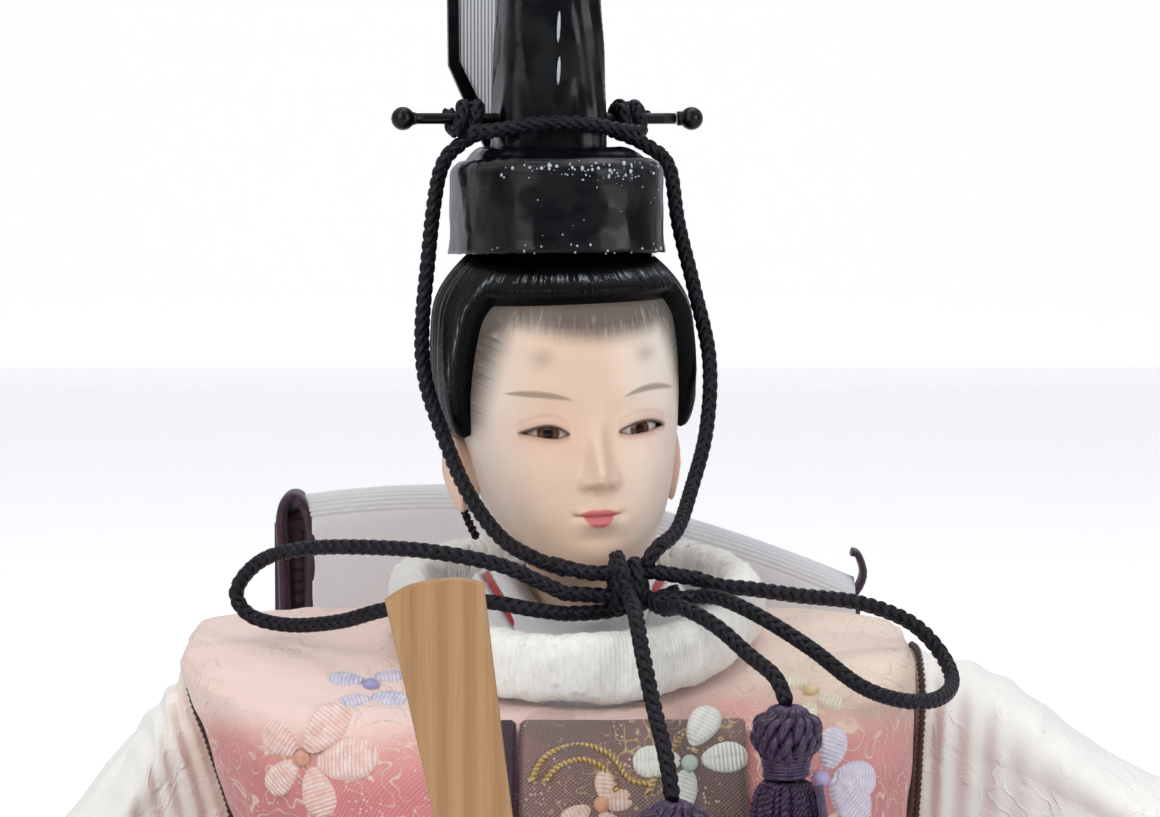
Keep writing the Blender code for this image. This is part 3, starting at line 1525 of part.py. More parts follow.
def cap_crown(lacquer):
    """The tall box on the cap: closed on top, open below over the topknot, bored for the pin."""
    bottom = CAP_RIM_HEIGHT + CAP_WALL_HEIGHT + CAP_DOME_RISE * 0.5
    edge = CAP_WALL
    outer = [crown_ring(bottom, 0), crown_ring(PIN_HEIGHT, 0)]
    outer += [crown_ring(CROWN_HEIGHT - edge, 0), crown_ring(CROWN_HEIGHT, edge)]
    inner = [crown_ring(z, edge) for z in (CROWN_HEIGHT - 2 * edge, PIN_HEIGHT, bottom)]
    piece = closed_shell("cap_crown", outer, inner, lacquer, CAP)
    cut(piece, pin_bore("crown_pin_bore", lacquer))
    return piece


def cap_pin(lacquer):
    """The pin and the ball at its right end."""
    end = PIN_HALF_LENGTH - PIN_BALL_RADIUS - CLEARANCE
    start = (CROWN_SIDE - PIN_HALF_LENGTH, CROWN_BACK, PIN_HEIGHT)
    rod = cylinder(
        "cap_pin", start, (CROWN_SIDE + end, CROWN_BACK, PIN_HEIGHT), PIN_RADIUS, 12, lacquer, CAP
    )
    join(rod, pin_ball("pin_ball_right", -1, lacquer))
    return rod


def pin_knot(name, side, cord):
    """The cord wound round the pin beside the crown, as one unbroken tube."""
    pitch = 2 * CORD_RADIUS + KNOT_LEAST_GAP
    radius = PIN_RADIUS + CLEARANCE + CORD_RADIUS
    start = CROWN_HALF_WIDTH + CLEARANCE + CORD_RADIUS
    points = []
    for turn in spans(round(10 * KNOT_TURNS) + 1, 0, KNOT_TURNS):
        angle = TURN * (turn + 0.25)
        points.append(Vector((
            CROWN_SIDE + side * (start + pitch * turn),
            CROWN_BACK - radius * math.cos(angle),
            PIN_HEIGHT - radius * math.sin(angle),
        )))
    gaps = [
        (a - b).length - 2 * CORD_RADIUS for i, a in enumerate(points) for b in points[i + 7 :]
    ]
    print(f"{name}: least gap to itself {min(gaps) * 1000:.2f} mm")
    placed = [CAP.matrix_world @ point for point in points]
    return tube(name, placed, CORD_RADIUS, cord, HEAD, 1)


def cap_front_cord(cord):
    route = [CAP.matrix_world @ Vector(point) for point in FRONT_CORD_ROUTE]
    return free_cord("cap_front_cord", [tuple(point) for point in route], cord, HEAD)


def socket_back():
    return cap_sizes()[2] + CAP_BACK


def tail_place():
    """Where the tail's stem stands: behind the back wall of the cap's base."""
    y = socket_back() + 2 * CLEARANCE + SOCKET_WALL + CLEARANCE + TAIL_THICKNESS / 2
    return Vector((TAIL_SIDE, y, CAP_RIM_HEIGHT + CAP_WALL_HEIGHT - STEM_LENGTH / 2))


def box(name, low, high, material, parent):
    corners = ((0, 0), (1, 0), (1, 1), (0, 1))
    pair = (Vector(low), Vector(high))
    rings = [
        [Vector((pair[i].x, pair[j].y, pair[k].z)) for i, j in corners] for k in (0, 1)
    ]
    return lofted(name, rings, material, parent)


def tail_socket(lacquer, frame):
    """A small sleeve on the back of the cap that holds the tail's stem."""
    hole_x, hole_y = STEM_HALF_WIDTH + CLEARANCE, TAIL_THICKNESS / 2 + CLEARANCE
    low, high = -STEM_LENGTH / 2, STEM_LENGTH / 2 - CLEARANCE
    wall = SOCKET_WALL
    piece = box(
        "tail_socket",
        (-hole_x - wall, -hole_y - wall, low),
        (hole_x + wall, hole_y + wall, high),
        lacquer,
        frame,
    )
    bore_low, bore_high = low + wall, high + OVERRUN
    bore = box("stem_bore", (-hole_x, -hole_y, bore_low), (hole_x, hole_y, bore_high), lacquer, frame)
    cut(piece, bore)
    return piece


def tail_outline(inset):
    """Half of the tail's outline from the stem up, on its left side."""
    start = STEM_LENGTH / 2
    shoulder = TAIL_SHOULDER_HEIGHT - tail_place().z
    top = TAIL_TOP - tail_place().z
    half = TAIL_HALF_WIDTH - inset
    foot_half = max(STEM_HALF_WIDTH + TAIL_BAR - inset, STEM_HALF_WIDTH * TAIL_POINT_SHARE)
    rows = [(foot_half, start + inset * TAIL_FOOT_SHARE), (half, shoulder + inset * TAIL_SIDE_SHARE)]
    for turn in spans(4, 0, math.pi / 2):
        x = half - TAIL_CORNER * (1 - math.cos(turn))
        rows.append((x, top - inset - TAIL_CORNER * (1 - math.sin(turn))))
    return rows


def tail_plate(name, inset, thickness, material, frame):
    half = tail_outline(inset)
    outline = half + [(-x, z) for x, z in reversed(half)]
    rings = [[Vector((x, y, z)) for x, z in outline] for y in (-thickness / 2, thickness / 2)]
    return lofted(name, rings, material, frame)


def tail_frame(lacquer, frame):
    piece = tail_plate("tail_frame", 0, TAIL_THICKNESS, lacquer, frame)
    window = tail_plate("tail_window", TAIL_BAR, TAIL_THICKNESS + 2 * OVERRUN, lacquer, frame)
    half = TAIL_THICKNESS / 2
    stem = box(
        "tail_stem",
        (-STEM_HALF_WIDTH, -half, -STEM_LENGTH / 2 + SOCKET_WALL + CLEARANCE),
        (STEM_HALF_WIDTH, half, STEM_LENGTH / 2 + TAIL_BAR),
        lacquer,
        frame,
    )
    join(piece, stem)
    cut(piece, window)
    return piece


def tail_gauze(gauze, frame):
    return tail_plate("tail_gauze", TAIL_BAR + CLEARANCE, GAUZE_THICKNESS, gauze, frame)


# Peg, bow and tassels


def neck_peg(wood, frame):
    bottom = CORE_TOP - PEG_IN_TORSO + CLEARANCE - CHIN_HEIGHT
    top = PEG_IN_HEAD - CLEARANCE
    return cylinder("neck_peg", (0, 0, bottom), (0, 0, top), PEG_RADIUS, 16, wood, frame)


def bow_knot(cord, frame):
    centre = Vector(KNOT_PLACE) - frame.location
    rings = []
    for along, size in BOW_KNOT_SHARES:
        ring = []
        for a in turns(14):
            up, ahead = corner(a, ROUND_POWER)
            ring.append(centre + Vector((
                along * KNOT_HALF_LENGTH,
                KNOT_HALF_DEPTH * size * ahead,
                KNOT_HALF_HEIGHT * size * up,
            )))
        rings.append(ring)
    return lofted("bow_knot", rings, cord, frame)


def turned(name, top, rows, sides, material, frame):
    """A round piece that hangs down from a point; each row gives a drop and a radius."""
    centre = top - frame.location
    rings = []
    for drop, radius in rows:
        rings.append([
            centre + Vector((radius * math.sin(a), -radius * math.cos(a), -drop)) for a in turns(sides)
        ])
    return lofted(name, rings, material, frame)


def tassel(number, route, silk, frame):
    """A silk head with its neck band, and the skirt of threads below."""
    top = Vector(route[-1]) - Vector((0, 0, 3 * CLEARANCE))
    head_r, head_h = TASSEL_HEAD_RADIUS, TASSEL_HEAD_HEIGHT
    band_r, band_h = TASSEL_BAND_RADIUS, TASSEL_BAND_HEIGHT
    rows = [(drop * head_h, size * head_r) for drop, size in TASSEL_HEAD_SHARES]
    rows += [(head_h, band_r), (head_h + band_h, band_r)]
    turned(f"tassel_head_{number}", top, rows, 14, silk, frame)
    start = head_h + band_h + CLEARANCE
    skirt_r, length = TASSEL_SKIRT_RADIUS, TASSEL_SKIRT_LENGTH
    rows = [(start + drop * length, size * skirt_r) for drop, size in TASSEL_SKIRT_SHARES]
    turned(f"tassel_skirt_{number}", top, rows, 14, silk, frame)


for stale in list(bpy.data.objects):
    bpy.data.objects.remove(stale)

NECK = empty("neck_axis", Vector((0, 0, CHIN_HEIGHT)))
HEAD = empty("head_axis", Vector((0, 0, 0)), NECK)
ROLL = Matrix.Rotation(HEAD_ROLL, 3, "Y")
CAP = empty("cap_frame", Vector((0, 0, 0)), HEAD, Matrix.Rotation(HEAD_YAW, 3, "Z"))
FACE = empty("face_frame", Vector((0, 0, 0)), CAP, ROLL)
bpy.context.view_layer.update()


def build():
    wood = finish("plain_wood", (0.62, 0.42, 0.22), 0.6)
    straw = finish("straw", (0.66, 0.55, 0.30), 0.85)
    wadding = finish("wadding", (0.85, 0.83, 0.78), 0.95)
    wrap = finish("paper_wrap", (0.78, 0.74, 0.64), 0.9)
    brocade = finish("pink_brocade", (0.78, 0.48, 0.44), 0.5)
    mauve = finish("mauve_brocade", (0.42, 0.24, 0.26), 0.4, 0.3)
    damask = finish("cream_damask", (0.80, 0.74, 0.66), 0.6)
    crepe = finish("white_crepe", (0.84, 0.84, 0.80), 0.8)
    silk = finish("white_silk", (0.86, 0.86, 0.86), 0.6)
    red = finish("red_silk", (0.55, 0.05, 0.05), 0.5)
    purple = finish("purple_silk", (0.10, 0.03, 0.08), 0.5)
    cotton = finish("sock_cotton", (0.88, 0.88, 0.88), 0.8)
    skin = finish("painted_skin", (0.78, 0.60, 0.49), 0.4)
    glass = finish("eye_glass", (0.05, 0.03, 0.02), 0.1)
    black = finish("wig_silk", (0.01, 0.01, 0.012), 0.35)
    lacquer = finish("black_lacquer", (0.008, 0.008, 0.010), 0.2)
    gauze = finish("gauze", (0.55, 0.55, 0.56), 0.6)
    cord = finish("braided_cord", (0.016, 0.012, 0.022), 0.5)
    tassel_silk = finish("tassel_silk", (0.03, 0.012, 0.03), 0.5)

    base_board(wood)
    body_core(straw)
    torso_padding(wadding)
    robe_body(brocade)
    robe_front_panel(mauve)
    panel_trim(purple)
    robe_collar(crepe)
    for number, (name, colour) in enumerate((
        ("under_collar_outer", silk), ("under_collar_red", red), ("under_collar_inner", silk)
    )):
        under_collar(name, number, colour)
    waist_belt(purple)
    for side, word in ((1, "left"), (-1, "right")):
        trouser_leg(f"trouser_leg_{word}", side, purple)
        foot(f"foot_{word}", side, cotton)
        sleeve(f"sleeve_{word}", side, damask)
        for layer, (shade, colour) in enumerate((("purple", purple), ("white", silk), ("red", red))):
            cuff(f"cuff_{word}_{shade}", side, layer, colour)
    robe_skirt_front(brocade)
    robe_skirt_back(brocade)
    train_fold(silk)
    train_lining(purple)
    arm_frame(wrap)
    hand("hand_left", 1, skin)
    tablet = shaku_frame()
    hand_right(skin, tablet)
    shaku(wood, tablet)

    head(skin)
    for side, word in ((1, "left"), (-1, "right")):
        eyeball(f"eye_{word}", side, 0, 14, glass)
        pin_knot(f"pin_knot_{word}", side, cord)
    hair(black)
    topknot(black)
    cap_base(lacquer)
    cap_crown(lacquer)
    cap_pin(lacquer)
    pin_ball("pin_ball_left", 1, lacquer)
    cap_front_cord(cord)
    free_cord("chin_cord_right", RIGHT_CHIN_ROUTE, cord, HEAD)
    free_cord("chin_cord_left", LEFT_CHIN_ROUTE, cord, HEAD)
    socket = empty("tail_axis", tail_place(), CAP, Matrix.Rotation(-TAIL_LEAN, 3, "X"))
    tail_socket(lacquer, socket)
    tail_frame(lacquer, socket)
    tail_gauze(gauze, socket)

    neck_peg(wood, NECK)
    bow_knot(cord, NECK)
    free_cord("bow_loop_right", RIGHT_LOOP_ROUTE, cord, NECK)
    free_cord("bow_loop_left", LEFT_LOOP_ROUTE, cord, NECK)
    free_cord("bow_end_long", LONG_END_ROUTE, cord, NECK)
    free_cord("bow_end_short", SHORT_END_ROUTE, cord, NECK)
    tassel("long", LONG_END_ROUTE, tassel_silk, NECK)
    tassel("short", SHORT_END_ROUTE, tassel_silk, NECK)


build()
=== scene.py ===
"""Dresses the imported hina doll: cords, tassels, painted face, wig, lacquered cap, silks and brocade.

Metres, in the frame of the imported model. Left and right are the doll's own, so its left is at +X.
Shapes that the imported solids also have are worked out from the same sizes, and then made finer.
"""

import math

import bmesh
import bpy
import numpy as np
from mathutils import Matrix, Vector


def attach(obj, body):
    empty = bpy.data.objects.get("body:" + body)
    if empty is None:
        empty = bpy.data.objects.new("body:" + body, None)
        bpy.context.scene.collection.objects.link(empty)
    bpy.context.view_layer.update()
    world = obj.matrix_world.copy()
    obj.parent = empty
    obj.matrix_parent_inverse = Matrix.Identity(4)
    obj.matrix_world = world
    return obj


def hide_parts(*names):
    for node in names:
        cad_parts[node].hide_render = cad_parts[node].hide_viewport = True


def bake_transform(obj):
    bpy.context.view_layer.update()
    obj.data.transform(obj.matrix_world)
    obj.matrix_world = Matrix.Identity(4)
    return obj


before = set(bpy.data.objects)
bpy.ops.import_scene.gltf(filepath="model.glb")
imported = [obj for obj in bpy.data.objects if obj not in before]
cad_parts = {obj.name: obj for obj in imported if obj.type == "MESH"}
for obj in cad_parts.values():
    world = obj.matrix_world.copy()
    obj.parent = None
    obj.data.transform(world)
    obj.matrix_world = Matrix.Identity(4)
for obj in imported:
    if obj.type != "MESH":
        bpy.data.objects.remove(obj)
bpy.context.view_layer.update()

TURN = 2 * math.pi
CLEARANCE = 0.0004
CLOTH = 0.0014
RANDOM = np.random.default_rng(11)


def tone(code, level=1.0):
    """A colour from its six-digit web code, as the shader wants it."""
    parts = [int(code[i : i + 2], 16) / 255 for i in (0, 2, 4)]
    linear = [p / 12.92 if p < 0.04045 else ((p + 0.055) / 1.055) ** 2.4 for p in parts]
    return (*(level * value for value in linear), 1)


class Finish:
    """A node material for one slot. Each method adds a node and gives its output."""

    def __init__(self, slot, colour=None, rough=0.6, **sockets):
        self.slot = slot
        self.material = bpy.data.materials.new(slot)
        self.material.use_nodes = True
        self.tree = self.material.node_tree
        self.shader = self.tree.nodes["Principled BSDF"]
        self.feed(self.shader.inputs["Roughness"], rough)
        if colour:
            self.colour(colour)
        for name, value in sockets.items():
            self.feed(self.shader.inputs[name.replace("_", " ")], value)
        coords = self.tree.nodes.new("ShaderNodeTexCoord")
        self.here, self.flat = coords.outputs["Object"], coords.outputs["UV"]

    def feed(self, socket, value):
        if isinstance(value, bpy.types.NodeSocket):
            self.tree.links.new(value, socket)
        else:
            socket.default_value = value

    def node(self, kind, inputs, **settings):
        node = self.tree.nodes.new("ShaderNode" + kind)
        for name, value in settings.items():
            setattr(node, name, value)
        for key, value in inputs.items():
            self.feed(node.inputs[key], value)
        return node

    def colour(self, value):
        self.feed(self.shader.inputs["Base Color"], value)

    def rough(self, value):
        self.feed(self.shader.inputs["Roughness"], value)

    def noise(self, scale, detail=2.0, at=None):
        inputs = {"Vector": at or self.here, "Scale": scale, "Detail": detail}
        return self.node("TexNoise", inputs).outputs["Fac"]

    def cells(self, scale, at=None, feature="F1", **inputs):
        inputs = {"Vector": at or self.here, "Scale": scale, **inputs}
        return self.node("TexVoronoi", inputs, feature=feature).outputs["Distance"]

    def wave(self, scale, at=None, direction="X", distortion=0.0, detail=0.0, detail_scale=1.0):
        inputs = {"Vector": at or self.here, "Scale": scale, "Distortion": distortion}
        inputs |= {"Detail": detail, "Detail Scale": detail_scale}
        settings = {"bands_direction": direction, "wave_profile": "SIN"}
        return self.node("TexWave", inputs, **settings).outputs["Fac"]

    def stretch(self, sizes, at=None, turn=(0, 0, 0), shift=(0, 0, 0)):
        inputs = {"Vector": at or self.here, "Scale": sizes, "Rotation": turn, "Location": shift}
        return self.node("Mapping", inputs).outputs["Vector"]

    def math(self, kind, a, b=0.0):
        return self.node("Math", {0: a, 1: b}, operation=kind).outputs[0]

    def ramp(self, value, low, high, start=0.0, end=1.0):
        inputs = {"Value": value, 1: low, 2: high, 3: start, 4: end}
        return self.node("MapRange", inputs, interpolation_type="SMOOTHSTEP").outputs[0]

    def mix(self, share, a, b, kind="MIX"):
        node = self.node("Mix", {"Factor": share}, data_type="RGBA", blend_type=kind)
        self.feed(node.inputs[6], a)
        self.feed(node.inputs[7], b)
        return node.outputs[2]

    def painted(self, name):
        return self.node("Attribute", {}, attribute_name=name).outputs["Color"]

    def amount(self, name):
        return self.node("Attribute", {}, attribute_name=name).outputs["Fac"]

    def bump(self, height, distance, strength=1.0, over=None):
        inputs = {"Height": height, "Distance": distance, "Strength": strength}
        if over:
            inputs["Normal"] = over
        normal = self.node("Bump", inputs).outputs["Normal"]
        self.feed(self.shader.inputs["Normal"], normal)
        return normal


def piece(name, points, faces, finish, smooth=True, spots=None, paint=None):
    """A mesh piece; spots are flat places per point for woven finishes, paint is extra data per point."""
    mesh = bpy.data.meshes.new(name)
    points = np.asarray(points, float).reshape(-1, 3)
    mesh.from_pydata(points.tolist(), [], [tuple(int(v) for v in face) for face in faces])
    mesh.polygons.foreach_set("use_smooth", np.full(len(mesh.polygons), smooth))
    if spots is not None:
        corners = np.empty(len(mesh.loops), int)
        mesh.loops.foreach_get("vertex_index", corners)
        layer = mesh.uv_layers.new(name="flat")
        layer.data.foreach_set("uv", np.asarray(spots, float).reshape(-1, 2)[corners].ravel())
    for key, values in (paint or {}).items():
        values = np.asarray(values, float)
        if values.ndim > 1 and values.shape[-1] == 3:
            flat = np.ones((len(points), 4))
            flat[:, :3] = values.reshape(-1, 3)
            data = mesh.attributes.new(key, "FLOAT_COLOR", "POINT").data
            data.foreach_set("color", flat.ravel())
        else:
            mesh.attributes.new(key, "FLOAT", "POINT").data.foreach_set("value", values.ravel())
    mesh.materials.append(finish.material)
    mesh.update()
    made = bpy.data.objects.new(name, mesh)
    bpy.context.scene.collection.objects.link(made)
    return made


def face_out(made):
    """Turns all faces of a closed piece outwards."""
    shape = bmesh.new()
    shape.from_mesh(made.data)
    bmesh.ops.recalc_face_normals(shape, faces=shape.faces)
    shape.to_mesh(made.data)
    shape.free()
    return made


def crisp(made, degrees=40):
    made.data.set_sharp_from_angle(angle=math.radians(degrees))
    return made


def net(rows, columns, closed=False, ring=False, start=0):
    """Quads of a grid of points; closed joins its columns round, ring joins its last row to its first."""
    across = columns if closed else columns - 1
    down = rows if ring else rows - 1
    r, c = np.meshgrid(np.arange(down), np.arange(across), indexing="ij")
    after_r, after_c = (r + 1) % rows, (c + 1) % columns
    quads = [r * columns + c, r * columns + after_c, after_r * columns + after_c, after_r * columns + c]
    return (np.stack(quads, -1).reshape(-1, 4) + start).tolist()


def lofted(name, grid, finish, closed=True, ends=True, ring=False, **more):
    """A skin through a grid of points, with a fan over each end when it is a closed loft."""
    grid = np.asarray(grid, float)
    rows, columns = grid.shape[:2]
    points = grid.reshape(-1, 3)
    faces = net(rows, columns, closed, ring)
    if closed and ends and not ring:
        for row in (0, rows - 1):
            centre = len(points)
            points = np.vstack([points, points[row * columns : (row + 1) * columns].mean(0)])
            for i in range(columns):
                faces.append((row * columns + i, row * columns + (i + 1) % columns, centre))
        if more.get("spots") is not None:
            flat = np.asarray(more["spots"], float).reshape(-1, 2)
            more["spots"] = np.vstack([flat, flat[:1], flat[-1:]])
        if more.get("paint"):
            for key, values in more["paint"].items():
                values = np.asarray(values, float)
                wide = values.reshape(rows * columns, -1)
                more["paint"][key] = np.vstack([wide, wide[:1], wide[-1:]]).squeeze()
    return face_out(piece(name, points, faces, finish, **more))


def two_sided(name, outer, inner, finish, closed=True, **more):
    """A shell between two grids of equal size, closed along its rims."""
    outer, inner = np.asarray(outer, float), np.asarray(inner, float)
    rows, columns = outer.shape[:2]
    if closed:
        grid = np.concatenate([outer, inner[::-1]])
        if more.get("spots") is not None:
            more["spots"] = np.concatenate([more["spots"], np.asarray(more["spots"])[::-1]])
        if more.get("paint"):
            paint = more["paint"]
            more["paint"] = {k: np.concatenate([v, np.asarray(v)[::-1]]) for k, v in paint.items()}
        return lofted(name, grid, finish, ring=True, **more)
    other = rows * columns
    faces = net(rows, columns) + net(rows, columns, start=other)
    edge = [(0, c) for c in range(columns)] + [(r, columns - 1) for r in range(1, rows)]
    edge += [(rows - 1, c) for c in range(columns - 2, -1, -1)] + [(r, 0) for r in range(rows - 2, 0, -1)]
    rim = [r * columns + c for r, c in edge]
    faces += [(a, b, other + b, other + a) for a, b in zip(rim, rim[1:] + rim[:1])]
    if more.get("spots") is not None:
        more["spots"] = np.concatenate([more["spots"], more["spots"]])
    if more.get("paint"):
        more["paint"] = {k: np.concatenate([v, v]) for k, v in more["paint"].items()}
    return face_out(piece(name, np.concatenate([outer, inner]), faces, finish, **more))


def dress(made, body, finish, *nodes):
    """Fixes a piece to a body and hides the solids that it stands for."""
    if body:
        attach(made, body)
    if nodes:
        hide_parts(*nodes)
    return made


def row_at(rows, place):
    """Rows between the given ones, on a smooth curve through them all, straight past its ends."""
    rows, place = np.asarray(rows, float), np.asarray(place, float)
    last = len(rows) - 1
    k = np.clip(np.floor(place).astype(int), 0, last - 1)
    t = (place - k)[..., None]
    a, b = rows[np.maximum(k - 1, 0)], rows[k]
    c, d = rows[k + 1], rows[np.minimum(k + 2, last)]
    out, into = (c - a) / 2, (d - b) / 2
    bend = 2 * t**3 - 3 * t**2
    inside = (bend + 1) * b + (t**3 - 2 * t**2 + t) * out - bend * c + (t**3 - t**2) * into
    return np.where(t < 0, b + t * out, np.where(t > 1, c + (t - 1) * into, inside))


def round_angles(count, start=0.0):
    return start + np.linspace(0, TURN, count, endpoint=False)


def meshed(*values):
    """Values per row, column or point of a grid, joined as the grid's own points."""
    return np.stack(np.broadcast_arrays(*values), -1)


def sided(name, side):
    return f"{name}_left" if side > 0 else f"{name}_right"


def plain_colour(code, shape):
    return np.broadcast_to(np.array(tone(code)[:3]), (*shape, 3)).copy()


def blended(base, colour, share):
    share = np.clip(share, 0, 1)[..., None]
    return base * (1 - share) + np.array(colour[:3]) * share


def layered(colour, *layers):
    """Paints layers over a colour in turn, each given by a colour code and its share."""
    for code, share in layers:
        colour = blended(colour, tone(code), share)
    return colour


def soft(value, low, high):
    t = np.clip((value - low) / (high - low), 0, 1)
    return t * t * (3 - 2 * t)


def tenths(*places):
    """Places given in tenths of a millimetre."""
    return np.array(places) / 10000


def corner(angle, power):
    sine, cosine = np.sin(angle), np.cos(angle)
    return np.sign(sine) * np.abs(sine) ** (2 / power), np.sign(cosine) * np.abs(cosine) ** (2 / power)


def oval_points(oval, angle, power):
    """Points of an outline round the z axis. Angle 0 is the front and a quarter turn is +X."""
    z_front, z_side, z_back, half, front, back = np.moveaxis(np.asarray(oval, float)[..., :6], -1, 0)
    cosine = np.cos(angle)
    reach, z_end = np.where(cosine > 0, front, back), np.where(cosine > 0, z_front, z_back)
    across, ahead = corner(angle, power)
    return np.stack([half * across, -reach * ahead, z_side + (z_end - z_side) * cosine**2], -1)


def normals(surface, u, v, step=0.02):
    """Directions square to a surface, from points a little to each side."""
    along = surface(u + step, v) - surface(u - step, v)
    across = surface(u, v + step) - surface(u, v - step)
    out = np.cross(along, across)
    return out / np.linalg.norm(out, axis=-1, keepdims=True)


def unit(vectors):
    return vectors / np.maximum(np.linalg.norm(vectors, axis=-1, keepdims=True), 1e-12)


def speckle(points, scale, seed=0):
    """Smooth uneven values of about -1 to 1 at the points, the same on every run."""
    source = np.random.default_rng(seed)
    total = np.zeros(np.asarray(points).shape[:-1])
    for _ in range(12):
        way = source.normal(size=3)
        total += np.sin((points @ way) * scale * source.uniform(0.6, 1.6) + source.uniform(0, TURN))
    return total / 3.5


# Camera, floor and light


LENS, SENSOR = 104.276, 36
CAMERA_PLACE, CAMERA_AIM = (0.0006, -0.4234, 0.177005), (0.0006, -0.0050, 0.1404)
FLOOR_HALF, FLOOR_FRONT, FLOOR_BACK, FLOOR_BEND, WALL_TOP = 2.2, -1.4, 1.72, 0.06, 2.4
FLOOR_LIFT, WALL_LIFT = 0.36, 0.50
LIGHT_AIM = Vector((0, 0, 0.14))
LAMPS = (
    ("key", (-0.62, -0.95, 0.78), 6.4, 0.75, (1.0, 0.99, 0.975)),
    ("fill", (0.85, -0.80, 0.42), 3.6, 0.55, (0.94, 0.97, 1.0)),
    ("top", (0.10, 0.35, 1.05), 1.9, 0.50, (1.0, 1.0, 1.0)),
)


def stage():
    scene = bpy.context.scene
    scene.view_settings.view_transform = "Standard"
    camera = bpy.data.objects.new("camera", bpy.data.cameras.new("camera"))
    camera.data.lens = LENS
    camera.data.sensor_width = SENSOR
    camera.data.clip_start = 0.01
    camera.location = CAMERA_PLACE
    aim = Vector(CAMERA_AIM) - camera.location
    camera.rotation_euler = aim.to_track_quat("-Z", "Y").to_euler()
    scene.collection.objects.link(camera)
    scene.camera = camera

    floor_finish = Finish("floor", rough=0.55)
    floor_finish.colour(tone("F6F6F8"))
    lift(floor_finish, FLOOR_LIFT)
    rows, grid = [], []
    for y in np.linspace(FLOOR_FRONT, FLOOR_BACK, 14):
        rows.append((y, 0.0))
    for turn in np.linspace(0, math.pi / 2, 8)[1:]:
        rows.append((FLOOR_BACK + FLOOR_BEND * math.sin(turn), FLOOR_BEND * (1 - math.cos(turn))))
    rows.append((FLOOR_BACK + FLOOR_BEND, WALL_TOP))
    for y, z in rows:
        grid.append([(x, y, z) for x in np.linspace(-FLOOR_HALF, FLOOR_HALF, 12)])
    wall_finish = Finish("backdrop", rough=0.9)
    wall_finish.colour(tone("E6E6EA"))
    lift(wall_finish, WALL_LIFT)
    floor = lofted("floor", grid[:17], floor_finish, closed=False)
    wall = lofted("backdrop", grid[16:], wall_finish, closed=False)

    world = bpy.data.worlds.new("studio")
    world.use_nodes = True
    tree = world.node_tree
    background = tree.nodes["Background"]
    background.inputs["Color"].default_value = (0.97, 0.985, 1.0, 1)
    way = tree.nodes.new("ShaderNodeTexCoord")
    split = tree.nodes.new("ShaderNodeSeparateXYZ")
    tree.links.new(way.outputs["Generated"], split.inputs[0])
    glow = None
    for axis, low, high, share in (("Z", -0.1, 0.9, 0.54), ("Y", -0.2, 0.9, 0.28)):
        step = tree.nodes.new("ShaderNodeMapRange")
        step.interpolation_type = "SMOOTHSTEP"
        for index, value in ((1, low), (2, high), (3, 0.0), (4, share)):
            step.inputs[index].default_value = value
        tree.links.new(split.outputs[axis], step.inputs[0])
        total = tree.nodes.new("ShaderNodeMath")
        total.inputs[1].default_value = 0.19
        if glow:
            tree.links.new(glow, total.inputs[1])
        tree.links.new(step.outputs[0], total.inputs[0])
        glow = total.outputs[0]
    tree.links.new(glow, background.inputs["Strength"])
    scene.world = world
    for name, place, power, size, colour in LAMPS:
        lamp = bpy.data.lights.new(name, "AREA")
        lamp.energy, lamp.size, lamp.color = power, size, colour
        stand = bpy.data.objects.new(name, lamp)
        stand.location = place
        stand.rotation_euler = (LIGHT_AIM - Vector(place)).to_track_quat("-Z", "Y").to_euler()
        scene.collection.objects.link(stand)


def lift(finish, strength):
    """Lets the camera, also through clear things, see a paler floor or wall with its shadows kept."""
    light = finish.node("LightPath", {})
    seen = light.outputs["Is Camera Ray"]
    seen = finish.math("MAXIMUM", seen, light.outputs["Is Transmission Ray"])
    finish.feed(finish.shader.inputs["Emission Strength"], finish.math("MULTIPLY", seen, strength))
    finish.shader.inputs["Emission Color"].default_value = (1, 1, 1, 1)


stage()


# Cords, bow and tassels

CHIN_HEIGHT = 0.120
HEAD_YAW = math.radians(12)
HEAD_ROLL = math.radians(-2)
CORD_RADIUS = 0.00103
CROWN_SIDE, CROWN_BACK = -0.0018, 0.0080
PIN_HEIGHT = 0.0565
PIN_RADIUS = 0.00077
CROWN_HALF_WIDTH, CROWN_HALF_DEPTH = 0.0069, 0.0065
WIND_TURNS = 2.35
BRAID_LAY = 0.0056
BRAID_STEP = 0.0003
TASSEL_DROP, TASSEL_LENGTH, TASSEL_RADIUS = 0.0080, 0.0158, 0.0051

CAP_FRAME = np.array(Matrix.Translation((0, 0, CHIN_HEIGHT)) @ Matrix.Rotation(HEAD_YAW, 4, "Z"))
FACE_FRAME = CAP_FRAME @ np.array(Matrix.Rotation(HEAD_ROLL, 4, "Y"))

# Cord routes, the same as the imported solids'
RIGHT_CHIN_ROUTE = tenths(
    (-163, 53, 1718), (-173, 46, 1694), (-180, 30, 1650), (-186, 10, 1587), (-193, -10, 1500),
    (-188, -30, 1438), (-167, -62, 1378), (-134, -112, 1308), (-92, -156, 1256), (-50, -190, 1234),
    (-12, -206, 1222),
)
LEFT_CHIN_ROUTE = tenths(
    (111, 100, 1718), (123, 92, 1694), (132, 68, 1630), (151, 36, 1550), (169, -6, 1463),
    (164, -52, 1378), (143, -104, 1307), (124, -160, 1264), (100, -208, 1250),
)
RIGHT_LOOP_ROUTE = tenths(
    (-13, -225, 1196), (-45, -232, 1212), (-90, -238, 1232), (-162, -232, 1246), (-236, -200, 1248),
    (-325, -150, 1241), (-387, -110, 1221), (-421, -90, 1181), (-404, -100, 1151),
    (-352, -130, 1143), (-286, -180, 1155), (-229, -225, 1176), (-161, -262, 1190),
    (-107, -266, 1192), (-50, -250, 1180), (-13, -230, 1172),
)
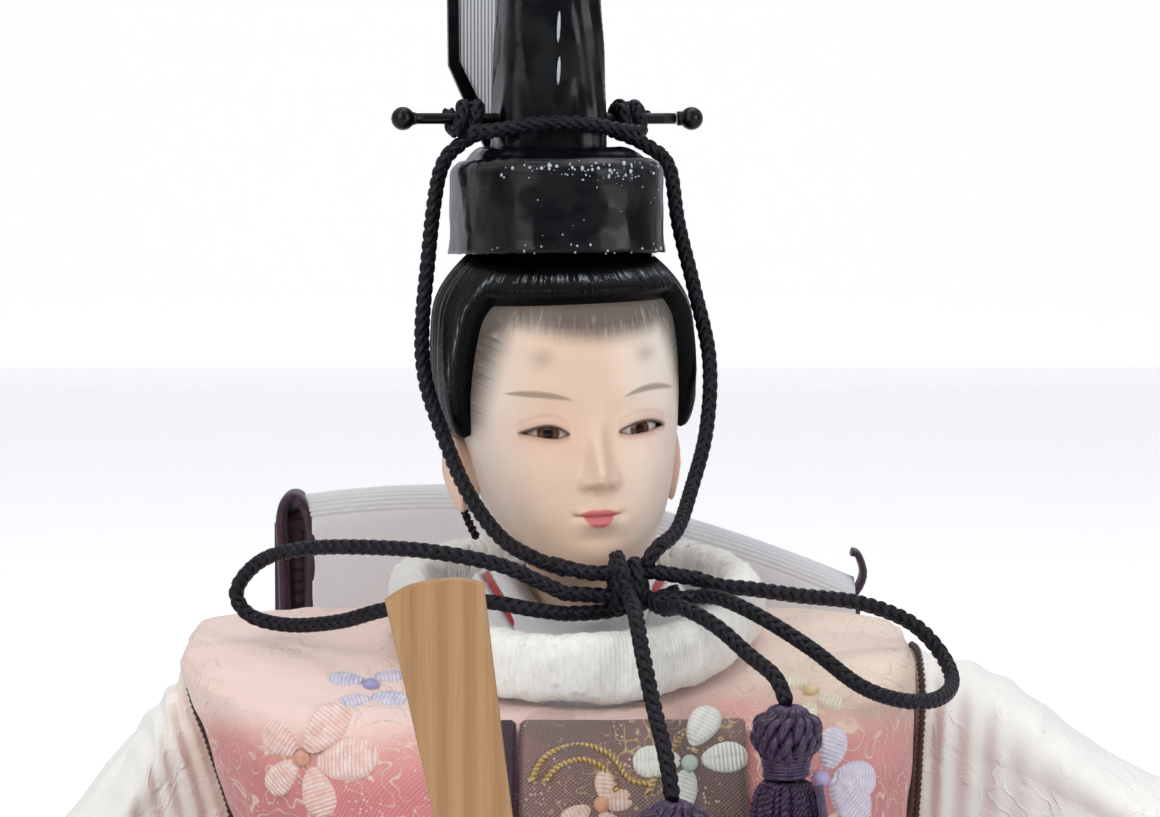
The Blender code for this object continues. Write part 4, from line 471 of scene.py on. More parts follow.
LEFT_LOOP_ROUTE = tenths(
    (148, -215, 1212), (176, -212, 1203), (212, -200, 1198), (274, -175, 1186), (350, -140, 1172),
    (414, -120, 1145), (451, -120, 1108), (461, -170, 1079), (435, -250, 1072), (389, -310, 1080),
    (334, -345, 1104), (276, -345, 1148), (220, -315, 1180), (175, -265, 1195), (148, -228, 1192),
)
LONG_END_ROUTE = tenths(
    (68, -249, 1186), (70, -290, 1188), (74, -325, 1170), (80, -352, 1138), (92, -385, 1084),
    (101, -418, 1052), (108, -444, 1019), (111, -460, 994),
)
SHORT_END_ROUTE = tenths(
    (108, -248, 1180), (128, -295, 1188), (166, -332, 1172), (203, -362, 1143), (231, -404, 1124),
    (243, -424, 1098),
)
FRONT_CORD_ROUTE = tenths(
    (-126, 32, 548), (-100, 12, 550), (-60, -1, 557), (-18, -5, 560), (24, -1, 557), (64, 12, 550),
    (90, 32, 548),
)

# Short runs inside the bow's knot, from cord end to cord end
KNOT_RUNS = (
    (
        (-0.0030, -0.0198, 0.1229), (0.0020, -0.0214, 0.1219), (0.0080, -0.0214, 0.1222),
        (0.0148, -0.0215, 0.1212)
    ),
    (
        (-0.0013, -0.0225, 0.1196), (0.0040, -0.0219, 0.1192), (0.0095, -0.0222, 0.1188),
        (0.0148, -0.0228, 0.1192)
    ),
    (
        (-0.0013, -0.0230, 0.1172), (0.0035, -0.0212, 0.1172), (0.0085, -0.0205, 0.1182),
        (0.0125, -0.0205, 0.1196)
    ),
    (
        (0.0106, -0.0200, 0.1254), (0.0092, -0.0214, 0.1240), (0.0080, -0.0212, 0.1212),
        (0.0085, -0.0225, 0.1185)
    ),
    ((0.0085, -0.0215, 0.1192), (0.0098, -0.0232, 0.1182), (0.0110, -0.0252, 0.1181)),
    (
        (0.0050, -0.0213, 0.1240), (0.0058, -0.0243, 0.1222), (0.0064, -0.0250, 0.1200),
        (0.0069, -0.0272, 0.1188)
    ),
)
KNOT_WRAPS = (0.0050, 0.0072)
KNOT_MIDDLE = (-0.0216, 0.1205)
KNOT_REACH = (0.0029, 0.0034)


def placed(matrix, points):
    points = np.asarray(points, float)
    return points @ matrix[:3, :3].T + matrix[:3, 3]


def even_route(route, spacing):
    """Points a given distance apart on a smooth curve through the route's own points."""
    fine = row_at(route, np.linspace(0, len(route) - 1, (len(route) - 1) * 24 + 1))
    lengths = np.concatenate([[0], np.cumsum(np.linalg.norm(np.diff(fine, axis=0), axis=1))])
    count = max(4, round(lengths[-1] / spacing) + 1)
    targets = np.linspace(0, lengths[-1], count)
    return np.stack([np.interp(targets, lengths, fine[:, axis]) for axis in range(3)], -1)


def carried_frames(points):
    """Two directions square to a route, and to each other, that twist as little as they can."""
    along = unit(np.gradient(points, axis=0))
    side = np.cross(along[0], (0.3, 0.2, 1.0))
    sides = []
    for way in along:
        side = side - way * (side @ way)
        side = side / np.linalg.norm(side)
        sides.append(side)
    sides = np.array(sides)
    return sides, np.cross(along, sides)


def strand(path, out, wide, thick, sides, first=0):
    """Rings of a flattened thread along a path, broad across the out direction, as points and faces."""
    along = unit(np.gradient(path, axis=0))
    across = unit(np.cross(out, along))
    out = np.cross(along, across)
    turns = np.arange(sides) * TURN / sides
    ring = wide * np.cos(turns)[:, None, None] * across + thick * np.sin(turns)[:, None, None] * out
    points = (path + ring).swapaxes(0, 1)
    count = len(path)
    faces = net(count, sides, closed=True, start=first)
    faces += [tuple(first + i for i in range(sides))]
    faces += [tuple(first + (count - 1) * sides + i for i in range(sides))]
    return points.reshape(-1, 3), faces


def gathered(parts):
    """Points and faces of many threads as one mesh's worth."""
    points, faces, first = [], [], 0
    for path, out, wide, thick, sides in parts:
        more, quads = strand(path, out, wide, thick, sides, first)
        points.append(more)
        faces += quads
        first += len(more)
    return np.concatenate(points), faces


def braid_parts(points):
    """Eight threads that pass over and under each other round a core, along points of a route."""
    side, other = carried_frames(points)
    lengths = np.concatenate([[0], np.cumsum(np.linalg.norm(np.diff(points, axis=0), axis=1))])
    place = 8 * lengths / BRAID_LAY
    parts = [(points, side, 0.00058, 0.00058, 8)]
    for number in range(4):
        for sense in (1, -1):
            angle = sense * TURN * lengths / BRAID_LAY + TURN * number / 4
            crossing = place + 2 * number if sense > 0 else 2 * number - place
            reach = 0.00067 + sense * 0.00011 * np.cos(TURN * (crossing - 0.5) / 4)
            out = np.cos(angle)[:, None] * side + np.sin(angle)[:, None] * other
            parts.append((points + reach[:, None] * out, out, 0.00041, 0.00024, 6))
    return parts


def braid(name, routes, finish):
    """A braided cord along each route, as one piece."""
    parts = []
    for route in routes:
        parts += braid_parts(even_route(route, BRAID_STEP))
    points, faces = gathered(parts)
    return piece(name, points, faces, finish)


def cord_finish():
    finish = Finish(
        "braided_cord", rough=0.42, Sheen_Weight=0.10, Specular_IOR_Level=0.25, Sheen_Roughness=0.35,
        Sheen_Tint=(0.55, 0.45, 0.8, 1)
    )
    uneven = finish.ramp(finish.noise(900, 3), 0.35, 0.7)
    finish.colour(finish.mix(uneven, tone("08070B"), tone("1B1822")))
    finish.bump(finish.noise(5200, 2), 0.00005, 0.6)
    return finish


def tassel_finish():
    finish = Finish("tassel_silk", rough=0.34, Sheen_Weight=0.3, Sheen_Tint=(0.7, 0.5, 0.9, 1))
    uneven = finish.ramp(finish.noise(1300, 3), 0.35, 0.72)
    finish.colour(finish.mix(uneven, tone("150A1C"), tone("43294D")))
    finish.bump(finish.noise(6000, 2), 0.00004, 0.6)
    return finish


def knot_wrap(x):
    turns = np.linspace(0, TURN, 25)
    y, z = KNOT_MIDDLE
    reach_y, reach_z = (size - CORD_RADIUS * 0.8 for size in KNOT_REACH)
    return [(x + 0.0003 * math.sin(a), y - reach_y * math.sin(a), z + reach_z * math.cos(a)) for a in turns]


def pin_wind(side):
    """The cord's winding round the pin beside the crown."""
    pitch = 1.8 * CORD_RADIUS
    radius = PIN_RADIUS + 0.0008
    start = CROWN_HALF_WIDTH + CLEARANCE + CORD_RADIUS
    points = []
    for turn in np.linspace(0, WIND_TURNS, 29):
        angle = TURN * (turn + 0.25)
        across = CROWN_SIDE + side * (start + pitch * turn)
        points.append((across, CROWN_BACK - radius * math.cos(angle), PIN_HEIGHT - radius * math.sin(angle)))
    return placed(CAP_FRAME, points)


def twisted(path, radius, lay, ply=2, sides=5):
    """The threads of a twisted cord along a path."""
    side, other = carried_frames(path)
    lengths = np.concatenate([[0], np.cumsum(np.linalg.norm(np.diff(path, axis=0), axis=1))])
    parts = []
    for number in range(ply):
        angle = TURN * (lengths / lay + number / ply)
        out = np.cos(angle)[:, None] * side + np.sin(angle)[:, None] * other
        parts.append((path + radius * 0.5 * out, out, radius * 0.56, radius * 0.56, sides))
    return parts


def tassel(word, top, finish):
    """A puffed head of looped threads, a wound neck, and a skirt of twisted threads."""
    top = np.array(top) - (0, 0, 3 * CLEARANCE)
    source = np.random.default_rng(5 if word == "long" else 8)
    parts = []
    profile = (
        (0.0004, 0.0002), (0.0018, -0.0002), (0.0033, -0.0012), (0.0038, -0.0026), (0.0031, -0.0041),
        (0.0023, -0.0049)
    )
    for layer, (count, share, drop) in enumerate(((15, 0.93, 0.0), (11, 0.70, 0.0002))):
        for number in range(count):
            angle = TURN * (number + 0.5 * layer) / count + source.normal(0, 0.05)
            bulge = share * source.uniform(0.92, 1.07)
            route = [
                (r * bulge * math.sin(angle), -r * bulge * math.cos(angle), z - drop) for r, z in profile
            ]
            path = even_route(route, 0.00035)
            parts += twisted(path + top, 0.00095, 0.0042, 2, 7)
    for turn in range(2):
        ring = [
            (
                0.0011 * math.sin(a), -0.0011 * math.cos(a), -0.0001 + 0.0004 * turn
            ) for a in np.linspace(0, TURN, 17)
        ]
        parts += twisted(even_route(ring, 0.0003) + top, 0.0006, 0.002, 2, 6)
    for turn in range(7):
        z = -0.0047 - 0.0004 * turn
        radius = 0.0026 + 0.00012 * math.sin(turn)
        ring = [
            (
                radius * math.sin(a), -radius * math.cos(a), z + 0.00012 * math.sin(a)
            ) for a in np.linspace(0, TURN, 33)
        ]
        path = even_route(ring, 0.0004) + top
        parts.append((path, unit(path - top - (0, 0, z)), 0.00026, 0.00026, 6))
    head = piece(f"tassel_{word}_head", *gathered(parts), finish)
    dress(head, "neck", finish, f"tassel_head_{word}")

    parts = []
    rows = ((0.0, 0.50), (0.10, 0.72), (0.35, 0.86), (0.70, 0.95), (1.0, 1.0))
    for count, share in ((34, 0.93), (26, 0.74), (16, 0.5)):
        for number in range(count):
            angle = TURN * number / count + source.normal(0, 0.05)
            sway, lean = source.normal(0, 0.07), source.uniform(0.93, 1.03)
            length = TASSEL_LENGTH * source.uniform(0.95, 1.0)
            route = []
            for down, wide in rows:
                r = TASSEL_RADIUS * wide * share * lean
                a = angle + sway * down
                route.append((r * math.sin(a), -r * math.cos(a), -TASSEL_DROP - down * length))
            parts += twisted(
                even_route(route, 0.0004) + top, 0.00042, 0.0013 * source.uniform(0.85, 1.2), 2, 5
            )
    fold = [
        (0.0036, -0.0020, -0.0080), (0.0042, -0.0026, -0.0120), (0.0047, -0.0020, -0.0170),
        (0.0049, -0.0012, -0.0232)
    ]
    path = even_route(fold, 0.0004) + top
    parts.append((path, unit(path - top - (0, 0, -0.012)), 0.0011, 0.00012, 8))
    skirt = piece(f"tassel_{word}_skirt", *gathered(parts), finish)
    dress(skirt, "neck", finish, f"tassel_skirt_{word}")
    return [head, skirt]


def cords():
    cord, silk = cord_finish(), tassel_finish()
    long_tassel = tassel("long", LONG_END_ROUTE[-1], silk)
    short_tassel = tassel("short", SHORT_END_ROUTE[-1], silk)
    for name, route, node in (
        ("loop_right", RIGHT_LOOP_ROUTE, "bow_loop_right"),
        ("loop_left", LEFT_LOOP_ROUTE, "bow_loop_left"),
        ("end_long", LONG_END_ROUTE, "bow_end_long"),
        ("end_short", SHORT_END_ROUTE, "bow_end_short"),
    ):
        dress(braid(name, [route], cord), "neck", cord, node)
    wraps = [knot_wrap(x) for x in KNOT_WRAPS]
    knot = dress(braid("knot", [*KNOT_RUNS, *wraps], cord), "neck", cord, "bow_knot")
    front = braid("front_cord", [placed(CAP_FRAME, FRONT_CORD_ROUTE)], cord)
    dress(front, "head", cord, "cap_front_cord")
    winds = []
    for side, word, route in ((1, "left", LEFT_CHIN_ROUTE), (-1, "right", RIGHT_CHIN_ROUTE)):
        wind = pin_wind(side)
        last = np.array(route[0])
        tail = [wind[0], (wind[0] + last) / 2 + (0, -0.0006, 0.0004), last]
        winds.append(braid(f"wind_{word}", [wind, tail], cord))
        dress(winds[-1], "head", cord, f"pin_knot_{word}")
        chin = braid(f"chin_{word}", [route], cord)
        dress(chin, None, cord, f"chin_cord_{word}")
        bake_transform(chin)
    nape = (
        (-0.0150, 0.0040, 0.1302), (-0.0146, 0.0036, 0.1280), (-0.0138, 0.0030, 0.1256),
        (-0.0126, 0.0024, 0.1232)
    )
    thread = piece("nape_thread", *gathered(twisted(even_route(nape, 0.0003), 0.0006, 0.0017, 2, 6)), cord)
    dress(thread, "head", cord)


cords()


# Head, painted face, eyes and ears

HEAD_HEIGHT = 0.0420
FACE_HALF_WIDTH, FACE_FRONT, HEAD_BACK = 0.0140, 0.0163, 0.0202
NECK_RADIUS, NECK_LENGTH = 0.0062, 0.0120
HEAD_POWER = 2.4
HEAD_SHARES = (
    (0.53, 0.59, 0.47, 0.004, 0.066, 0.170, 0.00),
    (0.645, 0.835, 0.645, 0.000, 0.100, 0.225, 0.02),
    (0.745, 0.957, 0.79, 0.028, 0.170, 0.295, 0.05),
    (0.845, 1.000, 0.90, 0.100, 0.265, 0.390, 0.10),
    (0.930, 0.994, 0.96, 0.215, 0.380, 0.485, 0.15),
    (0.985, 0.982, 0.99, 0.345, 0.500, 0.580, 0.20),
    (1.000, 0.975, 1.00, 0.475, 0.605, 0.655, 0.22),
    (0.993, 0.965, 0.99, 0.595, 0.700, 0.725, 0.22),
    (0.960, 0.930, 0.955, 0.710, 0.790, 0.795, 0.22),
    (0.830, 0.810, 0.870, 0.815, 0.862, 0.868, 0.22),
    (0.630, 0.560, 0.745, 0.890, 0.925, 0.930, 0.22),
    (0.400, 0.240, 0.560, 0.955, 0.975, 0.978, 0.22),
)


def head_rows():
    heights = [share * HEAD_HEIGHT for share in HEAD_SHARES[0][3:6]]
    rows = [(*3 * (-NECK_LENGTH,), *3 * (NECK_RADIUS,), 0)]
    rows.append((heights[0], heights[1] * 0.6, heights[2] * 0.75, *3 * (NECK_RADIUS,), 0))
    for wide, front, back, z_front, z_side, z_back, middle in HEAD_SHARES:
        centre = middle * HEAD_BACK
        sizes = (wide * FACE_HALF_WIDTH, front * FACE_FRONT + centre, back * HEAD_BACK - centre)
        rows.append((*(share * HEAD_HEIGHT for share in (z_front, z_side, z_back)), *sizes, centre))
    return np.array(rows)


HEAD_TABLE = head_rows()


def head_surface(angle, place):
    rows = row_at(HEAD_TABLE, place)
    points = oval_points(rows, angle, HEAD_POWER)
    points[..., 1] += rows[..., 6]
    return points


# The face's places, in millimetres of the face's own frame: across and up
NOSE_LINE = ((22.5, 0.0, 1.9), (20.5, 0.30, 1.6), (18.5, 0.85, 1.3), (16.5, 1.60, 1.2), (14.8, 2.40, 1.25),
             (13.4, 2.95, 1.40), (12.5, 2.65, 1.50), (11.8, 1.60, 1.50), (11.2, 0.50, 1.4), (10.6, 0.0, 1.2))
EYE_HEIGHT, EYE_TURN, EYE_SIZES = 18.4, math.radians(24), (0.0034, 0.0017, 0.0023)
EYES = (
    {"side": -1, "outer": (-9.00, 18.38), "inner": (-3.30, 18.15), "top": (-5.75, 19.28), "low": (-5.20, 17.78),
     "iris": (-5.75, 18.45)},
    {"side": 1, "outer": (9.25, 18.48), "inner": (2.85, 18.15), "top": (6.30, 19.28), "low": (5.40, 17.86),
     "iris": (5.70, 18.40)},
)
BROWS = (((-10.35, 23.30), (-7.70, 23.32), (-2.90, 22.50)), ((3.80, 22.62), (7.80, 23.48), (11.0, 22.95)))
SMUDGES = ((-6.18, 27.64), (6.81, 27.68))
MOUTH = (-0.25, 8.17)
HAIR_EDGE = ((-13.6, 17.0), (-13.35, 20.2), (-12.44, 24.85), (-11.29, 28.66), (-9.39, 32.04), (-4.7, 31.3),
             (0.8, 30.5), (6.35, 31.0), (9.6, 31.4), (11.3, 28.6), (12.4, 24.8), (13.4, 20.2), (13.6, 17.0))


def bump(x, z, centre_x, centre_z, wide, high):
    return np.exp(-(((x - centre_x) / wide) ** 2) - ((z - centre_z) / high) ** 2)


def relief(x, z):
    """How far the face stands out from the plain head, in millimetres."""
    line = np.array(NOSE_LINE)[::-1]
    height, width = (np.interp(z, line[:, 0], line[:, axis]) for axis in (1, 2))
    total = height * np.exp(-((x + 0.05) / width) ** 2)
    for side in (-1, 1):
        total += 0.75 * bump(x, z, side * 1.75 - 0.05, 12.35, 0.85, 0.95)
        total -= 0.25 * bump(x, z, side * 0.9 - 0.05, 11.45, 0.5, 0.35)
        total -= 0.75 * bump(x, z, side * 5.6 - 0.2, 19.2, 4.6, 2.9)
        total += 0.62 * bump(x, z, side * 6.1 - 0.2, 19.0, 3.2, 1.7)
        total += 0.22 * bump(x, z, side * 6.6, 23.0, 5.0, 1.9)
        total += 0.45 * bump(x, z, side * 8.0, 12.0, 4.2, 5.0)
        total -= 0.28 * bump(x, z, MOUTH[0] + side * 2.95, 8.3, 0.7, 0.6)
        total += 0.16 * bump(x, z, MOUTH[0] + side * 0.75, 9.0, 0.6, 0.4)
    mouth_x = x - MOUTH[0]
    wide = np.exp(-(mouth_x / 2.5) ** 4)
    total += 0.45 * bump(mouth_x, z, 0, 8.2, 4.3, 2.4)
    total += 0.34 * wide * np.exp(-((z - 8.75) / 0.52) ** 2)
    total += 0.52 * np.exp(-(mouth_x / 1.9) ** 4) * np.exp(-((z - 7.35) / 0.62) ** 2)
    total -= 0.30 * wide * np.exp(-((z - 8.15) / 0.17) ** 2)
    total -= 0.14 * bump(x, z, -0.1, 10.1, 0.55, 0.8)
    total -= 0.35 * bump(x, z, MOUTH[0], 5.5, 2.9, 0.95)
    total += 0.40 * bump(x, z, MOUTH[0], 3.0, 3.0, 1.9)
    return total


def lid_edges(eye, x):
    """The heights of the upper and lower lid's edge, and how far along the eye each x lies."""
    (x0, z0), (x1, z1) = eye["outer"], eye["inner"]
    t = (x - x0) / (x1 - x0)
    inside = np.clip(t, 0, 1)
    straight = z0 + (z1 - z0) * inside
    edges = []
    for (peak_x, peak_z), power in ((eye["top"], 0.85), (eye["low"], 0.95)):
        peak = (peak_x - x0) / (x1 - x0)
        rise = peak_z - (z0 + (z1 - z0) * peak)
        edges.append(straight + rise * np.sin(math.pi * inside ** (math.log(0.5) / math.log(peak))) ** power)
    return edges[0], edges[1], t


def painted_face(x, y, z):
    """The face's colours: skin, blush, brows, lids, lips and the fine strokes of the hairline, with painted
    shade and painted highlights.
    """
    front = soft(-y, -0.5, 2.5)
    colour = plain_colour("F0E2D6", x.shape)
    # Painted shade: the face is darkened and warmed towards its middle, round x = -2.2 mm, fading out by 11.5 mm
    # to each side.
    deep = (front * (1 - soft(np.abs(x + 2.2), 3.0, 11.5)))[..., None]
    colour = colour * (1 - deep * (1 - np.array((0.88, 0.74, 0.63))))
    for side in (-1, 1):
        # Blush round the eyes and on the cheeks, stronger on the doll's left cheek, and painted shade beside the
        # nose's wings.
        colour = layered(
            colour,
            ("DDA78F", 0.28 * front * bump(x, z, side * 7.2, 18.4, 4.6, 2.8)),
            ("E3B3A0", (0.30 if side > 0 else 0.12) * front * bump(x, z, side * 9.0, 11.5, 4.6, 5.5)),
            ("B98D78", 0.30 * front * bump(x, z, side * 1.35 - 0.1, 11.75, 0.8, 0.32)),
        )
    # Painted shade on the lower chin and in the groove under the lower lip, and a painted highlight down the
    # nose's ridge.
    colour = layered(
        colour,
        ("CFA890", 0.25 * front * bump(x, z, 0, 2.0, 6.0, 2.6)),
        ("C9A894", 0.35 * front * bump(x, z, MOUTH[0], 5.6, 2.0, 0.5)),
        ("F3E6D8", 0.12 * front * bump(x, z, 0.1, 15.8, 0.7, 3.4)),
    )
    for a, b, c in BROWS:
        t = np.clip((x - a[0]) / (c[0] - a[0]), 0, 1)
        peak = (b[0] - a[0]) / (c[0] - a[0])
        line = a[1] + (c[1] - a[1]) * t
        lift = (b[1] - (a[1] + (c[1] - a[1]) * peak)) / (4 * peak * (1 - peak))
        line = line + 4 * lift * t * (1 - t)
        thick = 0.40 * np.sin(math.pi * np.clip(t, 0.001, 0.999)) ** 0.6
        inside = (x > a[0] - 0.2) & (x < c[0] + 0.2)
        share = front * inside * (1 - soft(np.abs(z - line), thick - 0.16, thick + 0.16))
        hairs = 0.82 + 0.18 * np.sin(x * 13 + z * 21)
        colour = blended(colour, tone("7E6D55"), 0.86 * share * hairs)
    for place in SMUDGES:
        colour = blended(colour, tone("8C8273"), 0.42 * front * bump(x, z, *place, 1.25, 1.15))
    for eye in EYES:
        top, low, t = lid_edges(eye, x)
        reach = soft(t, -0.07, 0.03) * (1 - soft(t, 0.985, 1.03))
        # Round each eye: a darker tint over the upper lid, a pale band on the lid's fold that is a painted
        # highlight, a darker line in the crease above it that is painted shade, and a darker band under the
        # lower lid.
        colour = layered(
            colour,
            ("C79B86", 0.50 * front * reach * bump(0, z - top, 0, 0.55, 1, 0.75)),
            ("E6CFBC", 0.30 * front * reach * bump(0, z - top, 0, 0.95, 1, 0.32)),
            ("C39A84", 0.30 * front * reach * bump(0, z - top, 0, 1.45, 1, 0.22)),
            ("BD9280", 0.55 * front * reach * bump(0, z - low, 0, -0.25, 1, 0.35)),
        )
        lash = (1 - soft(z - top, 0.20, 0.42)) * (z > (top + low) / 2)
        colour = blended(colour, tone("2E1F16"), 0.94 * front * reach * lash)
        rim = (1 - soft(low - z, 0.03, 0.20)) * (z <= (top + low) / 2)
        colour = blended(colour, tone("8C6250"), 0.75 * front * reach * rim)
    mouth_x = x - MOUTH[0]
    mid = MOUTH[1] + 0.035 * mouth_x**2 * (np.abs(mouth_x) < 3.2)
    near = np.clip(1 - (np.abs(mouth_x) / 2.45) ** 2.2, 0, 1)
    top = mid + (0.95 - 0.14 * np.exp(-(mouth_x / 0.38) ** 2)) * near**0.8
    low = mid - 1.42 * np.clip(1 - (np.abs(mouth_x) / 1.95) ** 2.2, 0, 1) ** 0.75
    lips = soft(top - z, -0.07, 0.09) * soft(z - low, -0.07, 0.10) * (np.abs(mouth_x) < 2.5)
    # Red lips, with a painted highlight on the fullest part of the lower lip.
    colour = layered(
        colour,
        ("CE6468", 0.90 * front * lips),
        ("E98B8B", 0.40 * front * lips * bump(mouth_x, z, 0.1, 7.25, 0.9, 0.32)),
    )
    line = np.exp(-((z - mid) / 0.10) ** 2) * (1 - soft(np.abs(mouth_x), 2.6, 3.15))
    colour = layered(
        colour,
        ("8E2B36", 0.85 * front * line),
        ("7D4A41", 0.7 * front * bump(x, z, MOUTH[0] - 2.85, 8.45, 0.35, 0.13)),
    )
    return hair_strokes(colour, x, z, front)


def hair_strokes(colour, x, z, front):
    source = np.random.default_rng(3)
    edge = np.array(HAIR_EDGE)
    fine = row_at(edge, np.linspace(0, len(edge) - 1, 260))
    way = unit(np.gradient(fine, axis=0))
    out = np.stack([-way[:, 1], way[:, 0]], -1)
    beyond, nearest = np.full(x.shape, -9.0), np.full(x.shape, 99.0)
    for spot, side in zip(fine[::3], out[::3]):
        far = np.hypot(x - spot[0], z - spot[1])
        signed = (x - spot[0]) * side[0] + (z - spot[1]) * side[1]
        beyond = np.where(far < nearest, signed, beyond)
        nearest = np.minimum(far, nearest)
    shade = soft(beyond, -2.4, 0.9) * soft(z, 16.0, 20.0)
    # The hairline's painted grey band, and a paler band further up under the wig's edge that is a painted
    # highlight.
    colour = layered(
        colour,
        ("463E38", 0.88 * front * shade),
        ("8E8B8C", 0.55 * front * soft(beyond, 3.0, 4.6) * soft(z, 28, 32)),
    )
    for _ in range(620):
        k = source.integers(4, len(fine) - 4)
        root = fine[k] + out[k] * source.uniform(0.5, 2.3)
        lean = out[k] * -1 + way[k] * source.normal(0.0, 0.10) + np.array((0, -0.25))
        lean = lean / np.hypot(*lean)
        long, wide = source.uniform(1.5, 2.6), source.uniform(0.045, 0.075)
        near = (np.abs(x - root[0]) < 3.4) & (np.abs(z - root[1]) < 3.4)
        dx, dz = x[near] - root[0], z[near] - root[1]
        t = (dx * lean[0] + dz * lean[1]) / long
        off = np.abs(dx * lean[1] - dz * lean[0] + 0.12 * t * t)
        share = np.exp(-(off / (wide * (1.15 - 0.7 * np.clip(t, 0, 1)))) ** 2) * (t > 0) * (t < 1)
        share *= (1 - np.clip(t, 0, 1)) ** 0.6 * soft(t, 0, 0.2) * source.uniform(0.25, 0.62) * front[near]
        pale = source.uniform() < 0.12
        colour[near] = blended(colour[near], tone("D9C8B6") if pale else tone("4A433F"), share)
    return colour


def skin_finish():
    finish = Finish("painted_skin", rough=0.40, Subsurface_Weight=0.10, Subsurface_Scale=0.0012)
    cloud = finish.ramp(finish.noise(420, 3), 0.3, 0.7, 0.985, 1.015)
    paint = finish.painted("paint")
    shade = finish.node("CombineColor", {0: cloud, 1: cloud, 2: cloud}).outputs[0]
    finish.colour(finish.mix(1.0, paint, shade, "MULTIPLY"))
    finish.rough(finish.ramp(finish.noise(900, 2), 0.3, 0.7, 0.36, 0.44))
    finish.bump(finish.noise(2600, 3), 0.00002, 0.25)
    return finish


def head(finish):
    """The head with its painted face; the almond openings of the eyes have edges that follow the lids."""
    front = np.linspace(-1, 1, 231)
    front_angles = front * 1.75 - 0.16 * np.sin(front * math.pi)
    back_angles = np.linspace(front_angles[-1], TURN + front_angles[0], 52)[1:-1]
    angles = np.concatenate([front_angles, back_angles])
    places = np.concatenate(
        [np.linspace(0, 2, 14), np.linspace(2, 9.6, 236)[1:], np.linspace(9.6, 13, 20)[1:]]
    )
    a, p = np.meshgrid(angles, places)
    points = head_surface(a, p)
    x, z = points[..., 0] * 1000, points[..., 2] * 1000
    facing = soft(np.cos(a), -0.05, 0.30) * soft(p, 2.0, 2.6)
    points[..., 1] -= relief(x, z) * facing / 1000
    gone = np.zeros(x.shape, bool)
    for eye in EYES:
        top, low, t = lid_edges(eye, x)
        reach = (t > -0.02) & (t < 1.02) & (np.cos(a) > 0)
        for edge in (top, low):
            off = edge - z
            step = np.abs(np.gradient(z, axis=0)) * 0.52
            snap = reach & (np.abs(off) < step) & (top - low > 0.05)
            z = np.where(snap, edge, z)
        gone |= reach & (z <= top + 1e-6) & (z >= low - 1e-6) & (top - low > 0.05)
    points[..., 2] = z / 1000
    paint = painted_face(x, points[..., 1] * 1000, z)
    rows, columns = a.shape
    faces = np.array(net(rows, columns, closed=True))
    faces = faces[~gone.ravel()[faces].all(1)].tolist()
    count = rows * columns
    faces.append(tuple(range(columns))[::-1])
    faces.append(tuple(range(count - columns, count)))
    made = piece("head", placed(FACE_FRAME, points.reshape(-1, 3)), faces, finish, paint={"paint": paint})
    shape = bmesh.new()
    shape.from_mesh(made.data)
    rim = [edge for edge in shape.edges if edge.is_boundary]
    layer = shape.verts.layers.float_color["paint"]
    walls = bmesh.ops.extrude_edge_only(shape, edges=rim)
    inward = Vector(placed(FACE_FRAME, [(0, 0.0010, 0)])[0] - placed(FACE_FRAME, [(0, 0, 0)])[0])
    # The walls inside the eye openings are painted dark brown: the lash line's paint where it turns over the
    # edge, and painted shade inside the openings.
    for part in walls["geom"]:
        if isinstance(part, bmesh.types.BMVert):
            part.co += inward
            part[layer] = tone("3A2219")
    bmesh.ops.recalc_face_normals(shape, faces=shape.faces)
    shape.to_mesh(made.data)
    shape.free()
    return dress(made, "head", finish, "head")


def face_depth(x, z):
    """How far forward the finished face lies at a place, in metres."""
    low, high = 0.0, math.pi / 2
    for _ in range(24):
        angle = (low + high) / 2
        floor, roof = 2.0, 12.0
        for _ in range(24):
            place = (floor + roof) / 2
            point = head_surface(np.array(angle), np.array(place))
            floor, roof = (place, roof) if point[2] < z / 1000 else (floor, place)
        low, high = (angle, high) if point[0] < abs(x) / 1000 else (low, angle)
    return point[1] - relief(np.array(x), np.array(z)) / 1000


def eyes():
    finish = Finish(
        "eye_glass", rough=0.06, IOR=1.5, Coat_Weight=0.1, Coat_Roughness=0.03, Specular_IOR_Level=0.22
    )
    finish.colour(
        finish.mix(
            finish.ramp(finish.noise(3000, 2), 0.3, 0.7, 0.0, 0.1), finish.painted("paint"), tone("2A1C12")
        )
    )
    for eye in EYES:
        side = eye["side"]
        middle_x = (eye["outer"][0] + eye["inner"][0]) / 2
        depth = face_depth(middle_x, EYE_HEIGHT)
        turn = np.array(Matrix.Rotation(side * EYE_TURN, 3, "Z"))
        centre = np.array(
            (middle_x / 1000, depth, EYE_HEIGHT / 1000)
        ) + turn @ np.array((0, 0.0017 + 0.00042, 0))
        lift, around = np.meshgrid(np.linspace(-1.5, 1.5, 61), round_angles(120), indexing="ij")
        ball = np.stack([np.cos(lift) * np.sin(around), -np.cos(lift) * np.cos(around), np.sin(lift)], -1)
        ball = (ball * EYE_SIZES) @ turn.T + centre
        x, z = ball[..., 0] * 1000, ball[..., 2] * 1000
        far = np.hypot((x - eye["iris"][0]), (z - eye["iris"][1]) * 0.96)
        colour = plain_colour("CFC6BC", x.shape)
        # The white of the eye darkens away from the iris towards its corners: painted shade from the lids.
        colour = layered(
            colour,
            ("A99A8E", soft(np.abs(x - eye["iris"][0]), 1.8, 2.9)),
            ("B89186", 0.6 * soft(x * -side, -eye["inner"][0] - 0.9, -2.6)),
            ("24150D", 1 - soft(far, 1.22, 1.38)),
            ("6A3F22", 0.85 * (soft(far, 0.5, 0.75) - soft(far, 1.0, 1.2))),
            ("0B0706", 1 - soft(far, 0.42, 0.56)),
        )
        made = lofted(sided("eye", side), placed(FACE_FRAME, ball), finish, paint={"paint": colour})
        dress(made, "head", finish, sided("eye", side))


